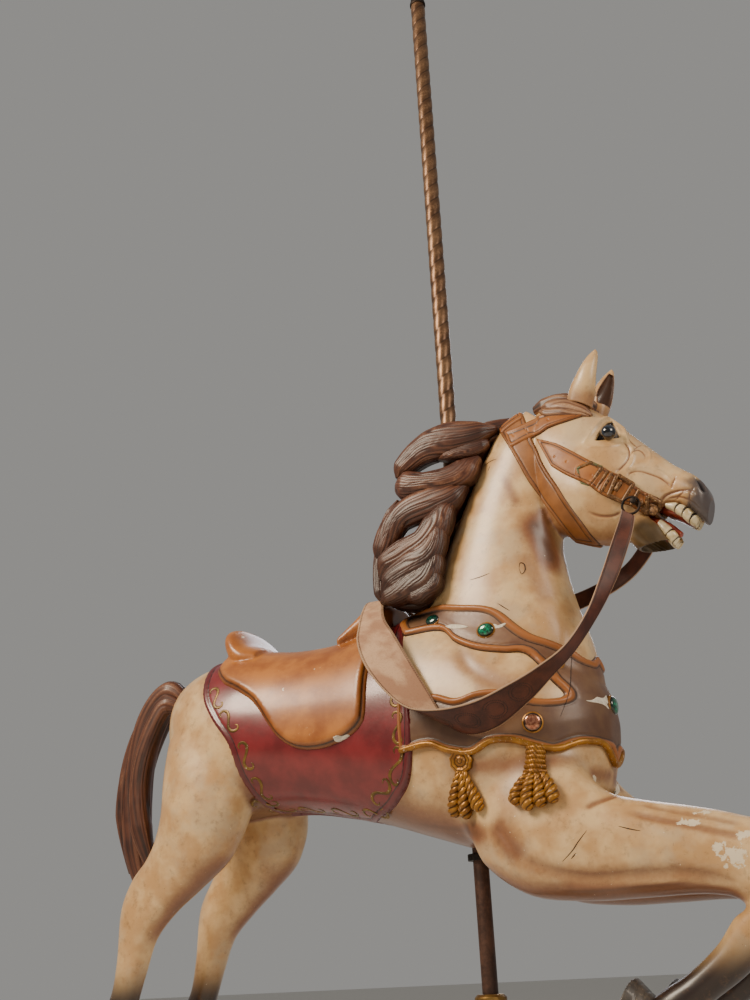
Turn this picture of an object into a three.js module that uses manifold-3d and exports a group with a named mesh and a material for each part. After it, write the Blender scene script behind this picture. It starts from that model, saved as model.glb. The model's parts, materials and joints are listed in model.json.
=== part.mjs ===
// A fairground galloper: one full-size carousel horse on its twisted brass pole.
// The horse faces +X, its left side is +Y, and Z is up. Sizes are in millimetres.
// The origin is on the underside of the floor plate, on the axis of the pole.

import * as THREE from "three";
import { mergeVertices } from "three/addons/utils/BufferGeometryUtils.js";
import Module from "manifold-3d";

const wasm = await Module();
wasm.setup();

// Driving dimensions
const FIT_GAP = 0.3; // between two pieces that rest on each other
const STROKE = 130; // the crank lifts and lowers the horse by this much from its middle height
const FLOOR_PLATE = { side: 220, thick: 12 };
const GUIDE = { outer: 27, bore: 22, top: 330, bushBore: 17.5, bushTall: 40 };
const ROD = { radius: 16.5, bottom: FLOOR_PLATE.thick + STROKE + 6, top: 2960 };
const BRASS = { radius: 20, bore: ROD.radius + FIT_GAP, bottom: 1275, top: 2940 };
const HANGER = { neck: 9, capTall: 34, wire: 7, eye: 17, rise: 120 };
const SKIN = { strap: 5, collar: 7, blanket: 8, saddle: 22 }; // how proud of the body each one stands
const EYE = { x: 412, y: 71, z: 1459, radius: 17 };
const BIT = { x: 482, z: 1263, bar: 6, reach: 53 }; // the mouthpiece, from corner to corner of the lips
const STUD = { x: 450, z: 1285, radius: 4.5, reach: 84 }; // one on each cheek, for the ring to hang on
const RING = { x: 442, z: 1277, y: 78, radius: 19, wire: 2.8 };
const REIN_THICK = 4;
const POMMEL_TOP = 1188;

// Solids

// A closed three.js geometry as a manifold solid with its faces pointing out.
function solid(geometry) {
  const bare = new THREE.BufferGeometry();
  bare.setAttribute("position", geometry.getAttribute("position").clone());
  if (geometry.index) bare.setIndex(geometry.index);
  const merged = mergeVertices(bare, 1e-3);
  const triVerts = new Uint32Array(merged.index.array);
  const vertProperties = new Float32Array(merged.attributes.position.array);
  const made = new wasm.Manifold(new wasm.Mesh({ numProp: 3, vertProperties, triVerts }));
  if (made.volume() > 0) return made;
  for (let i = 0; i < triVerts.length; i += 3) {
    [triVerts[i + 1], triVerts[i + 2]] = [triVerts[i + 2], triVerts[i + 1]];
  }
  return new wasm.Manifold(new wasm.Mesh({ numProp: 3, vertProperties, triVerts }));
}

// A manifold solid back as a three.js geometry.
function geometryOf(made) {
  const mesh = made.getMesh();
  const geometry = new THREE.BufferGeometry();
  geometry.setAttribute("position", new THREE.BufferAttribute(mesh.vertProperties, 3));
  geometry.setIndex(new THREE.BufferAttribute(mesh.triVerts, 1));
  return geometry;
}

const join = (...parts) => parts.reduce((a, b) => a.add(b));

// The largest piece of a cut, when a cut leaves slivers beside it.
function largest(made) {
  return made.decompose().reduce((a, b) => (b.volume() > a.volume() ? b : a));
}

// A cylinder that stands on Z between two heights.
function post(radius, low, high, x = 0, y = 0, sides = 24) {
  const geometry = new THREE.CylinderGeometry(radius, radius, high - low, sides);
  geometry.rotateX(Math.PI / 2);
  geometry.translate(x, y, (low + high) / 2);
  return solid(geometry);
}

// A turned piece about Z, from a closed profile of [radius, height] points.
function turned(profile, sides = 24) {
  const points = profile.map(([r, z]) => new THREE.Vector2(r, z));
  const geometry = new THREE.LatheGeometry(points, sides);
  geometry.rotateX(Math.PI / 2);
  return solid(geometry);
}

// A prism that runs right across the horse, from an outline of [x, z] points.
function prism(outline, yLow = -400, yHigh = 400) {
  const shape = new THREE.Shape(outline.map(([x, z]) => new THREE.Vector2(x, z)));
  const geometry = new THREE.ExtrudeGeometry(shape, { depth: yHigh - yLow, bevelEnabled: false });
  geometry.rotateX(Math.PI / 2);
  geometry.translate(0, yHigh, 0);
  return solid(geometry);
}

// A carved form seen from the side. Each station gives the top point and the bottom point of one
// cross-section as [x, z], and its half width. The section is a soft oval between them.
function form(stations, { y = 0, steps = 20, sides = 20, grow = 0, square = 2.2 } = {}) {
  const curve = (pick) =>
    new THREE.CatmullRomCurve3(stations.map((s) => pick(s)), false, "catmullrom", 0.5);
  const tops = curve((s) => new THREE.Vector3(s.top[0], 0, s.top[1]));
  const bottoms = curve((s) => new THREE.Vector3(s.bottom[0], 0, s.bottom[1]));
  const widths = curve((s) => new THREE.Vector3(s.wide, s.y ?? y, s.egg ?? 0));
  const rings = [];
  for (let i = 0; i <= steps; i++) {
    const t = i / steps;
    const top = tops.getPoint(t);
    const bottom = bottoms.getPoint(t);
    const { x: wide, y: side, z: egg } = widths.getPoint(t);
    const centre = top.clone().add(bottom).multiplyScalar(0.5);
    const half = top.clone().sub(bottom).multiplyScalar(0.5);
    half.setLength(half.length() + grow);
    rings.push({ centre, half, wide: Math.max(wide, 2) + grow, side, egg });
  }
  // A grown form is longer at both ends too.
  const ahead = rings[steps].centre.clone().sub(rings[steps - 1].centre).setLength(grow);
  const behind = rings[0].centre.clone().sub(rings[1].centre).setLength(grow);
  rings[steps].centre.add(ahead);
  rings[0].centre.add(behind);
  const soft = (v) => Math.sign(v) * Math.abs(v) ** (2 / square);
  const positions = [];
  for (const ring of rings) {
    for (let k = 0; k < sides; k++) {
      const angle = (2 * Math.PI * k) / sides;
      const up = soft(Math.sin(angle));
      const out = soft(Math.cos(angle)) * ring.wide * (1 + ring.egg * up);
      const p = ring.centre.clone().addScaledVector(ring.half, up);
      positions.push(p.x, ring.side + out, p.z);
    }
  }
  const first = rings[0];
  const last = rings[steps];
  positions.push(first.centre.x, first.side, first.centre.z);
  positions.push(last.centre.x, last.side, last.centre.z);
  return solid(skin(positions, rings.length, sides));
}

// The faces of a run of rings, closed by a fan at each end. The two end points come last.
function skin(positions, ringCount, sides) {
  const index = [];
  for (let i = 0; i + 1 < ringCount; i++) {
    for (let k = 0; k < sides; k++) {
      const next = (k + 1) % sides;
      const a = i * sides + k;
      const b = i * sides + next;
      const c = (i + 1) * sides + k;
      const d = (i + 1) * sides + next;
      index.push(a, b, d, a, d, c);
    }
  }
  const firstPoint = ringCount * sides;
  const lastRing = (ringCount - 1) * sides;
  for (let k = 0; k < sides; k++) {
    const next = (k + 1) % sides;
    index.push(firstPoint, next, k);
    index.push(firstPoint + 1, lastRing + k, lastRing + next);
  }
  const geometry = new THREE.BufferGeometry();
  geometry.setAttribute("position", new THREE.Float32BufferAttribute(positions, 3));
  geometry.setIndex(index);
  return geometry;
}

// A lock of carved hair along a curve, thick in the middle and pointed at its end.
function lock(points, { wide, thick, steps = 9, sides = 6 }) {
  const path = new THREE.CatmullRomCurve3(points.map((p) => new THREE.Vector3(...p)));
  const positions = [];
  for (let i = 0; i <= steps; i++) {
    const t = i / steps;
    const at = path.getPoint(t);
    const along = path.getTangent(t);
    const out = new THREE.Vector3(0, 1, 0);
    const across = new THREE.Vector3().crossVectors(along, out).normalize();
    out.crossVectors(across, along).normalize();
    const swell = 0.25 + 0.75 * Math.sin(Math.PI * Math.min(1, 0.18 + 0.8 * t)) ** 0.8;
    for (let k = 0; k < sides; k++) {
      const angle = (2 * Math.PI * k) / sides;
      const p = at.clone();
      p.addScaledVector(across, Math.cos(angle) * wide * swell);
      p.addScaledVector(out, Math.sin(angle) * thick * swell);
      positions.push(p.x, p.y, p.z);
    }
  }
  const start = path.getPoint(0);
  const end = path.getPoint(1);
  positions.push(start.x, start.y, start.z, end.x, end.y, end.z);
  return solid(skin(positions, steps + 1, sides));
}

// A flat strap along a curve. Each station holds the point, the direction across it and its width.
function strap(stations, thick, steps) {
  const curve = (pick) => new THREE.CatmullRomCurve3(stations.map((s) => pick(s)));
  const path = curve((s) => new THREE.Vector3(...s.at));
  const across = curve((s) => new THREE.Vector3(...s.across).setLength(s.wide / 2));
  const positions = [];
  for (let i = 0; i <= steps; i++) {
    const t = i / steps;
    const at = path.getPoint(t);
    const half = across.getPoint(t);
    const face = new THREE.Vector3().crossVectors(path.getTangent(t), half).setLength(thick / 2);
    for (const [u, v] of [[1, 1], [-1, 1], [-1, -1], [1, -1]]) {
      const p = at.clone().addScaledVector(half, u).addScaledVector(face, v);
      positions.push(p.x, p.y, p.z);
    }
  }
  for (const t of [0, 1]) {
    const p = path.getPoint(t);
    positions.push(p.x, p.y, p.z);
  }
  return solid(skin(positions, steps + 1, 4));
}

// Where a line across the horse at [x, z] first meets a solid, and which way the face looks.
function faceAt(made, x, z, side) {
  const mesh = new THREE.Mesh(geometryOf(made), new THREE.MeshBasicMaterial());
  const from = new THREE.Vector3(x, side * 500, z);
  const ray = new THREE.Raycaster(from, new THREE.Vector3(0, -side, 0));
  const [hit] = ray.intersectObject(mesh);
  return { point: hit.point, normal: hit.face.normal.clone() };
}

// Moves a solid that was made on the XY plane so that its +Z looks along a face's normal.
function seat(geometry, { point, normal }, lift = 0) {
  const turn = new THREE.Quaternion().setFromUnitVectors(new THREE.Vector3(0, 0, 1), normal);
  geometry.applyQuaternion(turn);
  const at = point.clone().addScaledVector(normal, lift);
  geometry.translate(at.x, at.y, at.z);
  return solid(geometry);
}

// The horse's carved forms. A grown copy of each cuts its neighbours and carries the harness.

function torsoForm(grow = 0) {
  const stations = [
    { top: [-796, 985], bottom: [-790, 905], wide: 30 },
    { top: [-768, 1052], bottom: [-760, 845], wide: 92 },
    { top: [-712, 1092], bottom: [-705, 775], wide: 142 },
    { top: [-630, 1112], bottom: [-625, 738], wide: 172, egg: -0.05 },
    { top: [-530, 1108], bottom: [-525, 742], wide: 176, egg: -0.08 },
    { top: [-420, 1092], bottom: [-420, 738], wide: 164, egg: -0.08 },
    { top: [-310, 1090], bottom: [-310, 715], wide: 164, egg: -0.06 },
    { top: [-200, 1106], bottom: [-200, 682], wide: 170, egg: -0.06 },
    { top: [-95, 1142], bottom: [-95, 646], wide: 174, egg: -0.1 },
    { top: [10, 1140], bottom: [10, 612], wide: 176, egg: -0.12 },
    { top: [110, 1095], bottom: [105, 596], wide: 174, egg: -0.08 },
    { top: [205, 1040], bottom: [195, 612], wide: 156 },
    { top: [268, 985], bottom: [252, 652], wide: 122 },
    { top: [307, 920], bottom: [297, 704], wide: 78 },
    { top: [324, 862], bottom: [318, 770], wide: 34 },
  ];
  return form(stations, { steps: 22, sides: 20, grow });
}

function neckForm(grow = 0) {
  const stations = [
    { top: [-120, 1010], bottom: [276, 800], wide: 112 },
    { top: [-92, 1135], bottom: [304, 905], wide: 124 },
    { top: [-48, 1225], bottom: [299, 1005], wide: 118 },
    { top: [2, 1318], bottom: [274, 1105], wide: 101 },
    { top: [46, 1405], bottom: [256, 1205], wide: 86 },
    { top: [92, 1488], bottom: [256, 1292], wide: 77 },
    { top: [142, 1556], bottom: [282, 1392], wide: 70 },
    { top: [206, 1590], bottom: [310, 1480], wide: 56 },
  ];
  return form(stations, { steps: 12, sides: 16, grow });
}

function skullForm(grow = 0) {
  const stations = [
    { top: [206, 1552], bottom: [192, 1440], wide: 34 },
    { top: [252, 1586], bottom: [222, 1340], wide: 66 },
    { top: [306, 1583], bottom: [258, 1276], wide: 84, egg: -0.1 },
    { top: [360, 1556], bottom: [312, 1244], wide: 88, egg: -0.06 },
    { top: [408, 1513], bottom: [362, 1228], wide: 82 },
    { top: [450, 1465], bottom: [408, 1230], wide: 65, egg: -0.04 },
    { top: [490, 1419], bottom: [456, 1262], wide: 52 },
    { top: [527, 1377], bottom: [498, 1278], wide: 46, egg: -0.08 },
    { top: [556, 1351], bottom: [528, 1275], wide: 47, egg: 0.05 },
    { top: [578, 1327], bottom: [552, 1257], wide: 48, egg: 0.08 },
    { top: [593, 1303], bottom: [568, 1238], wide: 42 },
    { top: [599, 1278], bottom: [581, 1223], wide: 24 },
  ];
  return form(stations, { steps: 20, sides: 18, grow });
}

function jawForm(grow = 0) {
  const stations = [
    { top: [396, 1300], bottom: [372, 1240], wide: 46 },
    { top: [440, 1290], bottom: [407, 1224], wide: 43 },
    { top: [470, 1270], bottom: [427, 1201], wide: 39 },
    { top: [487, 1246], bottom: [452, 1186], wide: 37 },
    { top: [496, 1218], bottom: [480, 1179], wide: 36 },
    { top: [510, 1196], bottom: [500, 1174], wide: 33 },
    { top: [525, 1181], bottom: [517, 1170], wide: 20 },
  ];
  return form(stations, { steps: 8, sides: 14, grow });
}

// The forearm runs forward from the elbow, and below the knee the leg folds back under it.
function forelegForm(side, grow = 0) {
  const reach = side > 0 ? 20 : 0; // the left leg is carved a little further forward
  const lift = side > 0 ? -6 : 0;
  const joints = [
    { top: [235, 800], bottom: [15, 660], wide: 70, y: 96 },
    { top: [298, 722], bottom: [58, 575], wide: 78, y: 106 },
    { top: [345, 682], bottom: [150, 508], wide: 74, y: 110 },
    { top: [410, 663], bottom: [262, 489], wide: 66, y: 108 },
    { top: [490, 645], bottom: [378, 487], wide: 59, y: 105 },
    { top: [566, 624], bottom: [476, 487], wide: 54, y: 102 },
    { top: [632, 596], bottom: [534, 480], wide: 56, y: 100 },
    { top: [672, 540], bottom: [560, 466], wide: 54, y: 99 },
    { top: [660, 462], bottom: [560, 455], wide: 44, y: 98 },
    { top: [606, 398], bottom: [536, 440], wide: 36, y: 98 },
    { top: [545, 346], bottom: [500, 398], wide: 31, y: 98 },
    { top: [482, 306], bottom: [446, 356], wide: 31, y: 98 },
    { top: [424, 268], bottom: [398, 330], wide: 37, y: 98 },
    { top: [382, 258], bottom: [370, 314], wide: 33, y: 98 },
  ];
  const stations = joints.map((s, i) => {
    const share = i / (joints.length - 1);
    const shift = ([x, z]) => [x + reach * share, z + lift * share];
    return { ...s, top: shift(s.top), bottom: shift(s.bottom), y: side * s.y };
  });
  return form(stations, { steps: 22, sides: 12, grow });
}

function forehoofForm(side, grow = 0) {
  const reach = side > 0 ? 20 : 0;
  const lift = side > 0 ? -6 : 0;
  const stations = [
    { top: [392, 262], bottom: [376, 312], wide: 30 },
    { top: [372, 240], bottom: [360, 328], wide: 42 },
    { top: [335, 226], bottom: [352, 338], wide: 50 },
    { top: [290, 248], bottom: [340, 350], wide: 57 },
  ].map((s) => ({
    ...s,
    top: [s.top[0] + reach, s.top[1] + lift],
    bottom: [s.bottom[0] + reach, s.bottom[1] + lift],
  }));
  return form(stations, { y: side * 98, steps: 4, sides: 14, grow });
}

// The hind leg pushes off backwards and is nearly straight below the hock.
function hindlegForm(side, grow = 0) {
  const ahead = side > 0 ? 70 : 0; // the left hind leg is further forward
  const joints = [
    { top: [-530, 900], bottom: [-745, 925], wide: 80, y: 92 },
    { top: [-524, 800], bottom: [-752, 830], wide: 88, y: 100 },
    { top: [-536, 712], bottom: [-752, 752], wide: 82, y: 108 },
    { top: [-580, 636], bottom: [-772, 700], wide: 64, y: 110 },
    { top: [-656, 578], bottom: [-800, 654], wide: 48, y: 110 },
    { top: [-728, 530], bottom: [-842, 612], wide: 42, y: 108 },
    { top: [-786, 474], bottom: [-872, 548], wide: 40, y: 106 },
    { top: [-814, 404], bottom: [-884, 440], wide: 31, y: 104 },
    { top: [-838, 336], bottom: [-898, 366], wide: 29, y: 104 },
    { top: [-860, 282], bottom: [-924, 318], wide: 36, y: 104 },
    { top: [-890, 250], bottom: [-940, 290], wide: 32, y: 104 },
  ];
  const stations = joints.map((s, i) => {
    const share = Math.min(1, i / 5);
    const shift = ([x, z]) => [x + ahead * share, z];
    return { ...s, top: shift(s.top), bottom: shift(s.bottom), y: side * s.y };
  });
  return form(stations, { steps: 18, sides: 12, grow });
}

function hindhoofForm(side, grow = 0) {
  const ahead = side > 0 ? 70 : 0;
  const stations = [
    { top: [-882, 258], bottom: [-932, 298], wide: 28 },
    { top: [-892, 236], bottom: [-952, 290], wide: 40 },
    { top: [-908, 208], bottom: [-974, 272], wide: 48 },
    { top: [-930, 182], bottom: [-996, 252], wide: 54 },
  ].map((s) => ({
    ...s,
    top: [s.top[0] + ahead, s.top[1]],
    bottom: [s.bottom[0] + ahead, s.bottom[1]],
  }));
  return form(stations, { y: side * 104, steps: 4, sides: 14, grow });
}

// Everything that the breast collar lies on, grown by one amount.
function frontForm(grow) {
  const legs = join(forelegForm(1, grow), forelegForm(-1, grow));
  return join(torsoForm(grow), neckForm(grow), legs);
}

// Everything that the bridle lies on.
function faceForm(grow) {
  return join(neckForm(grow), skullForm(grow));
}

// Outlines in side view, as [x, z]

const BLANKET_OUTLINE = [
  [-112, 1300], [-92, 1060], [-62, 940], [-54, 870], [-60, 804], [-76, 752], [-109, 721],
  [-157, 700], [-260, 690], [-380, 694], [-450, 712], [-494, 752], [-512, 810], [-528, 880],
  [-572, 940], [-610, 1000], [-634, 1080], [-646, 1300],
];
const FLAP_OUTLINE = [
  [-150, 1300], [-160, 1080], [-166, 1000], [-168, 905], [-182, 876], [-214, 857], [-262, 846],
  [-308, 845], [-356, 856], [-398, 884], [-430, 925], [-466, 970], [-514, 1004], [-560, 1030],
  [-596, 1066], [-620, 1110], [-624, 1300],
];
const COLLAR_OUTLINE = [
  [-90, 1142], [-10, 1136], [46, 1122], [104, 1108], [141, 1089], [179, 1051], [207, 1028],
  [243, 1011], [276, 991], [300, 970], [345, 982], [420, 990], [420, 752], [353, 764],
  [318, 784], [282, 789], [242, 773], [200, 784], [163, 798], [117, 800], [75, 783],
  [24, 794], [-20, 812], [-90, 806], [-90, 925], [-6, 922], [46, 905], [93, 914],
  [145, 910], [215, 884], [262, 888], [240, 922], [222, 951], [186, 988], [148, 993],
  [89, 1007], [37, 1034], [-4, 1070], [-90, 1072],
];
const CROWN_OUTLINE = [
  [128, 1640], [140, 1545], [160, 1496], [187, 1477], [250, 1488], [318, 1497], [371, 1503],
  [402, 1505], [402, 1529], [340, 1534], [290, 1538], [238, 1545], [226, 1560], [220, 1640],
];
const THROAT_OUTLINE = [
  [161, 1488], [195, 1471.5], [246, 1475.5], [292, 1346], [345, 1240], [372, 1180], [322, 1180],
  [302, 1242], [254, 1330], [188, 1470],
];
const CHEEK_OUTLINE = [
  [250, 1468], [333, 1426], [407, 1356], [449, 1320], [470, 1292], [440, 1276], [398, 1300],
  [361, 1335], [315, 1379], [287, 1366],
];

// The pieces

const finish = (hex, roughness, metalness) =>
  new THREE.MeshStandardMaterial({ color: hex, roughness, metalness });
const FINISH = {
  cream: finish("#cdb189", 0.35, 0),
  grey: finish("#4a4743", 0.5, 0),
  hair: finish("#6b4a35", 0.55, 0),
  tan: finish("#a9713c", 0.4, 0),
  orange: finish("#b5661f", 0.3, 0),
  red: finish("#8c2a35", 0.35, 0),
  gold: finish("#a5762c", 0.35, 0.4),
  green: finish("#0f7a5e", 0.1, 0),
  bone: finish("#d8cfae", 0.4, 0),
  tongue: finish("#a8482c", 0.45, 0),
  eye: finish("#15161a", 0.1, 0),
  leather: finish("#6e4130", 0.6, 0),
  brass: finish("#a08058", 0.35, 0.8),
  iron: finish("#2b2422", 0.5, 0.6),
  steel: finish("#4a2f25", 0.5, 0.5),
};

const galloper = new THREE.Group();

function add(name, made, material) {
  const mesh = new THREE.Mesh(geometryOf(made), material);
  mesh.name = name;
  galloper.add(mesh);
  return made;
}

// The floor plate and the tube that guides the foot of the pole.
function platformSocket() {
  const { side, thick } = FLOOR_PLATE;
  const plate = new THREE.BoxGeometry(side, side, thick);
  plate.translate(0, 0, thick / 2);
  add("floor_plate", solid(plate), FINISH.iron);
  const foot = thick + FIT_GAP;
  const shoulder = GUIDE.top - GUIDE.bushTall;
  const tube = turned([
    [GUIDE.bore, foot], [GUIDE.outer + 14, foot], [GUIDE.outer + 14, foot + 10],
    [GUIDE.outer, foot + 24], [GUIDE.outer, shoulder], [GUIDE.bore, shoulder], [GUIDE.bore, foot],
  ]);
  add("guide_tube", tube, FINISH.iron);
  const low = shoulder + FIT_GAP;
  const bush = turned([
    [GUIDE.bushBore, low], [GUIDE.outer + 6, low], [GUIDE.outer + 6, GUIDE.top - 6],
    [GUIDE.outer, GUIDE.top], [GUIDE.bushBore, GUIDE.top], [GUIDE.bushBore, low],
  ]);
  add("guide_bush", bush, FINISH.brass);
}

// The steel rod, its brass casing, and the eye that the overhead crank lifts it by.
function pole() {
  add("pole_rod", post(ROD.radius, ROD.bottom, ROD.top), FINISH.steel);
  const { radius, bore, bottom, top } = BRASS;
  const casing = turned([[bore, bottom], [radius, bottom], [radius, top], [bore, top], [bore, bottom]], 28);
  add("brass_casing", casing, FINISH.brass);
  const capLow = top + FIT_GAP;
  const capTop = ROD.top + HANGER.capTall;
  const cap = turned([
    [0, ROD.top + FIT_GAP], [bore, ROD.top + FIT_GAP], [bore, capLow], [radius + 2, capLow],
    [radius + 2, capLow + 8], [radius - 3, ROD.top + 10], [HANGER.neck, capTop], [0, capTop],
  ]);
  add("pole_cap", cap, FINISH.iron);
  const stemLow = capTop + FIT_GAP;
  const eyeMiddle = stemLow + HANGER.rise;
  const stem = post(HANGER.wire, stemLow, eyeMiddle - HANGER.eye + 2, 0, 0, 12);
  const ring = new THREE.TorusGeometry(HANGER.eye, HANGER.wire, 8, 20);
  ring.rotateX(Math.PI / 2);
  ring.translate(0, 0, eyeMiddle);
  add("hanger_eye", join(stem, solid(ring)), FINISH.iron);
}

// The rod's hole through the wood, wider where the brass casing is let into the neck.
function poleHole() {
  const rodHole = post(ROD.radius + FIT_GAP, 400, BRASS.bottom + 5);
  return join(rodHole, post(BRASS.radius + 0.4, BRASS.bottom - FIT_GAP, 1700));
}

function carvedBody() {
  const hole = poleHole();
  const torso = torsoForm().subtract(hole);
  add("torso", torso, FINISH.cream);
  const neck = largest(neckForm().subtract(torsoForm(FIT_GAP)).subtract(hole).subtract(skullForm(FIT_GAP)));
  add("neck", neck, FINISH.cream);
  const collar = turned([[ROD.radius + FIT_GAP, 592], [27, 592], [27, 606], [ROD.radius + FIT_GAP, 606],
    [ROD.radius + FIT_GAP, 592]]);
  add("belly_collar", largest(collar.subtract(torsoForm(FIT_GAP))), FINISH.iron);
}

function legs() {
  for (const [word, side] of [["left", 1], ["right", -1]]) {
    const torso = torsoForm(FIT_GAP);
    const fore = forelegForm(side).subtract(torso).subtract(neckForm(FIT_GAP));
    add(`foreleg_${word}`, largest(fore), FINISH.cream);
    add(`hoof_fore_${word}`, largest(forehoofForm(side).subtract(forelegForm(side, FIT_GAP))), FINISH.grey);
    add(`hindleg_${word}`, largest(hindlegForm(side).subtract(torso)), FINISH.cream);
    add(`hoof_hind_${word}`, largest(hindhoofForm(side).subtract(hindlegForm(side, FIT_GAP))), FINISH.grey);
  }
}

function eyeBall(radius, side) {
  const ball = new THREE.SphereGeometry(radius, 14, 9);
  ball.translate(EYE.x, side * EYE.y, EYE.z);
  return solid(ball);
}

function barAcross(radius, reach) {
  const bar = new THREE.CylinderGeometry(radius, radius, 2 * reach, 16);
  bar.translate(BIT.x, 0, BIT.z);
  return solid(bar);
}

// Each row of teeth is an arch that stands out of the gum, with the roof or floor of the mouth cut
// out behind it.
const UPPER_TEETH = [
  { top: [506, 1285], bottom: [502, 1274], wide: 35 },
  { top: [530, 1281], bottom: [516, 1262], wide: 38 },
  { top: [550, 1267], bottom: [533, 1244], wide: 38 },
  { top: [567, 1249], bottom: [549, 1225], wide: 33 },
  { top: [580, 1231], bottom: [563, 1208], wide: 20 },
];
const PALATE = [
  { top: [500, 1271], bottom: [480, 1240], wide: 22 },
  { top: [522, 1269], bottom: [500, 1230], wide: 26 },
  { top: [540, 1255], bottom: [518, 1215], wide: 25 },
  { top: [554, 1240], bottom: [535, 1200], wide: 17 },
  { top: [561, 1231], bottom: [545, 1192], wide: 6 },
];
const LOWER_TEETH = [
  { top: [488, 1255], bottom: [476, 1240], wide: 26 },
  { top: [501, 1240], bottom: [484, 1222], wide: 30 },
  { top: [516, 1224], bottom: [494, 1202], wide: 31 },
  { top: [530, 1207], bottom: [506, 1187], wide: 28 },
  { top: [539, 1193], bottom: [518, 1178], wide: 17 },
];
const MOUTH_FLOOR = [
  { top: [508, 1266], bottom: [486, 1247], wide: 18 },
  { top: [522, 1248], bottom: [498, 1226], wide: 21 },
  { top: [534, 1228], bottom: [510, 1206], wide: 19 },
  { top: [540, 1212], bottom: [521, 1195], wide: 7 },
];
const MOUTH = [
  { top: [452, 1276], bottom: [448, 1252], wide: 20 },
  { top: [480, 1281], bottom: [474, 1240], wide: 29 },
  { top: [505, 1277], bottom: [492, 1216], wide: 30 },
  { top: [535, 1262], bottom: [508, 1192], wide: 30 },
  { top: [566, 1234], bottom: [534, 1180], wide: 24 },
];
const TONGUE = [
  { top: [460, 1268], bottom: [452, 1253], wide: 15 },
  { top: [486, 1259], bottom: [479, 1243], wide: 17 },
  { top: [508, 1242], bottom: [500, 1229], wide: 15 },
  { top: [526, 1221], bottom: [519, 1211], wide: 9 },
];

function head() {
  const barHole = barAcross(BIT.bar + FIT_GAP, 200);
  const mouth = form(MOUTH, { steps: 6, sides: 12 });
  const teethShape = { steps: 6, sides: 10, square: 3 };
  const upperRoom = form(UPPER_TEETH, { ...teethShape, grow: FIT_GAP });
  const lowerRoom = form(LOWER_TEETH, { ...teethShape, grow: FIT_GAP });
  let skull = skullForm().subtract(barHole).subtract(mouth).subtract(upperRoom);
  for (const side of [1, -1]) skull = skull.subtract(eyeBall(EYE.radius + FIT_GAP, side));
  add("skull", largest(skull), FINISH.cream);
  const jaw = jawForm().subtract(skullForm(FIT_GAP)).subtract(barHole).subtract(mouth);
  add("lower_jaw", largest(jaw.subtract(lowerRoom)), FINISH.cream);

  const upper = form(UPPER_TEETH, teethShape).subtract(form(PALATE, { steps: 5, sides: 8 }));
  add("teeth_upper", largest(upper.subtract(barHole)), FINISH.bone);
  const lower = form(LOWER_TEETH, teethShape).subtract(form(MOUTH_FLOOR, { steps: 5, sides: 8 }));
  add("teeth_lower", largest(lower.subtract(barHole).subtract(upperRoom)), FINISH.bone);
  const gums = join(skullForm(FIT_GAP).subtract(mouth), jawForm(FIT_GAP).subtract(mouth));
  const tongue = form(TONGUE, { steps: 5, sides: 10 }).subtract(barHole).subtract(lowerRoom);
  add("tongue", largest(tongue.subtract(gums)), FINISH.tongue);

  for (const [word, side] of [["left", 1], ["right", -1]]) {
    add(`eye_${word}`, eyeBall(EYE.radius, side), FINISH.eye);
    add(`ear_${word}`, ear(side), FINISH.cream);
  }
}

// The plain outer form of an ear, before it is hollowed.
function earShell(side, grow = 0) {
  const lean = [
    { top: [318, 1570], bottom: [374, 1540], wide: 21, y: side * 45 },
    { top: [334, 1602], bottom: [391, 1582], wide: 26, y: side * 50 },
    { top: [356, 1632], bottom: [399, 1612], wide: 24, y: side * 54 },
    { top: [381, 1659], bottom: [405, 1644], wide: 15, y: side * 57 },
    { top: [403, 1676], bottom: [407, 1668], wide: 4, y: side * 58 },
  ];
  return form(lean, { steps: 7, sides: 10, grow });
}

// An ear is hollow towards the front and the middle of the head.
function ear(side) {
  const hollow = [
    { top: [354, 1592], bottom: [404, 1570], wide: 13, y: side * 38 },
    { top: [364, 1614], bottom: [412, 1596], wide: 17, y: side * 41 },
    { top: [381, 1638], bottom: [414, 1622], wide: 14, y: side * 45 },
    { top: [397, 1660], bottom: [411, 1651], wide: 5, y: side * 50 },
  ];
  const cut = form(hollow, { steps: 6, sides: 8 });
  return largest(earShell(side).subtract(cut).subtract(skullForm(FIT_GAP)));
}

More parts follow.
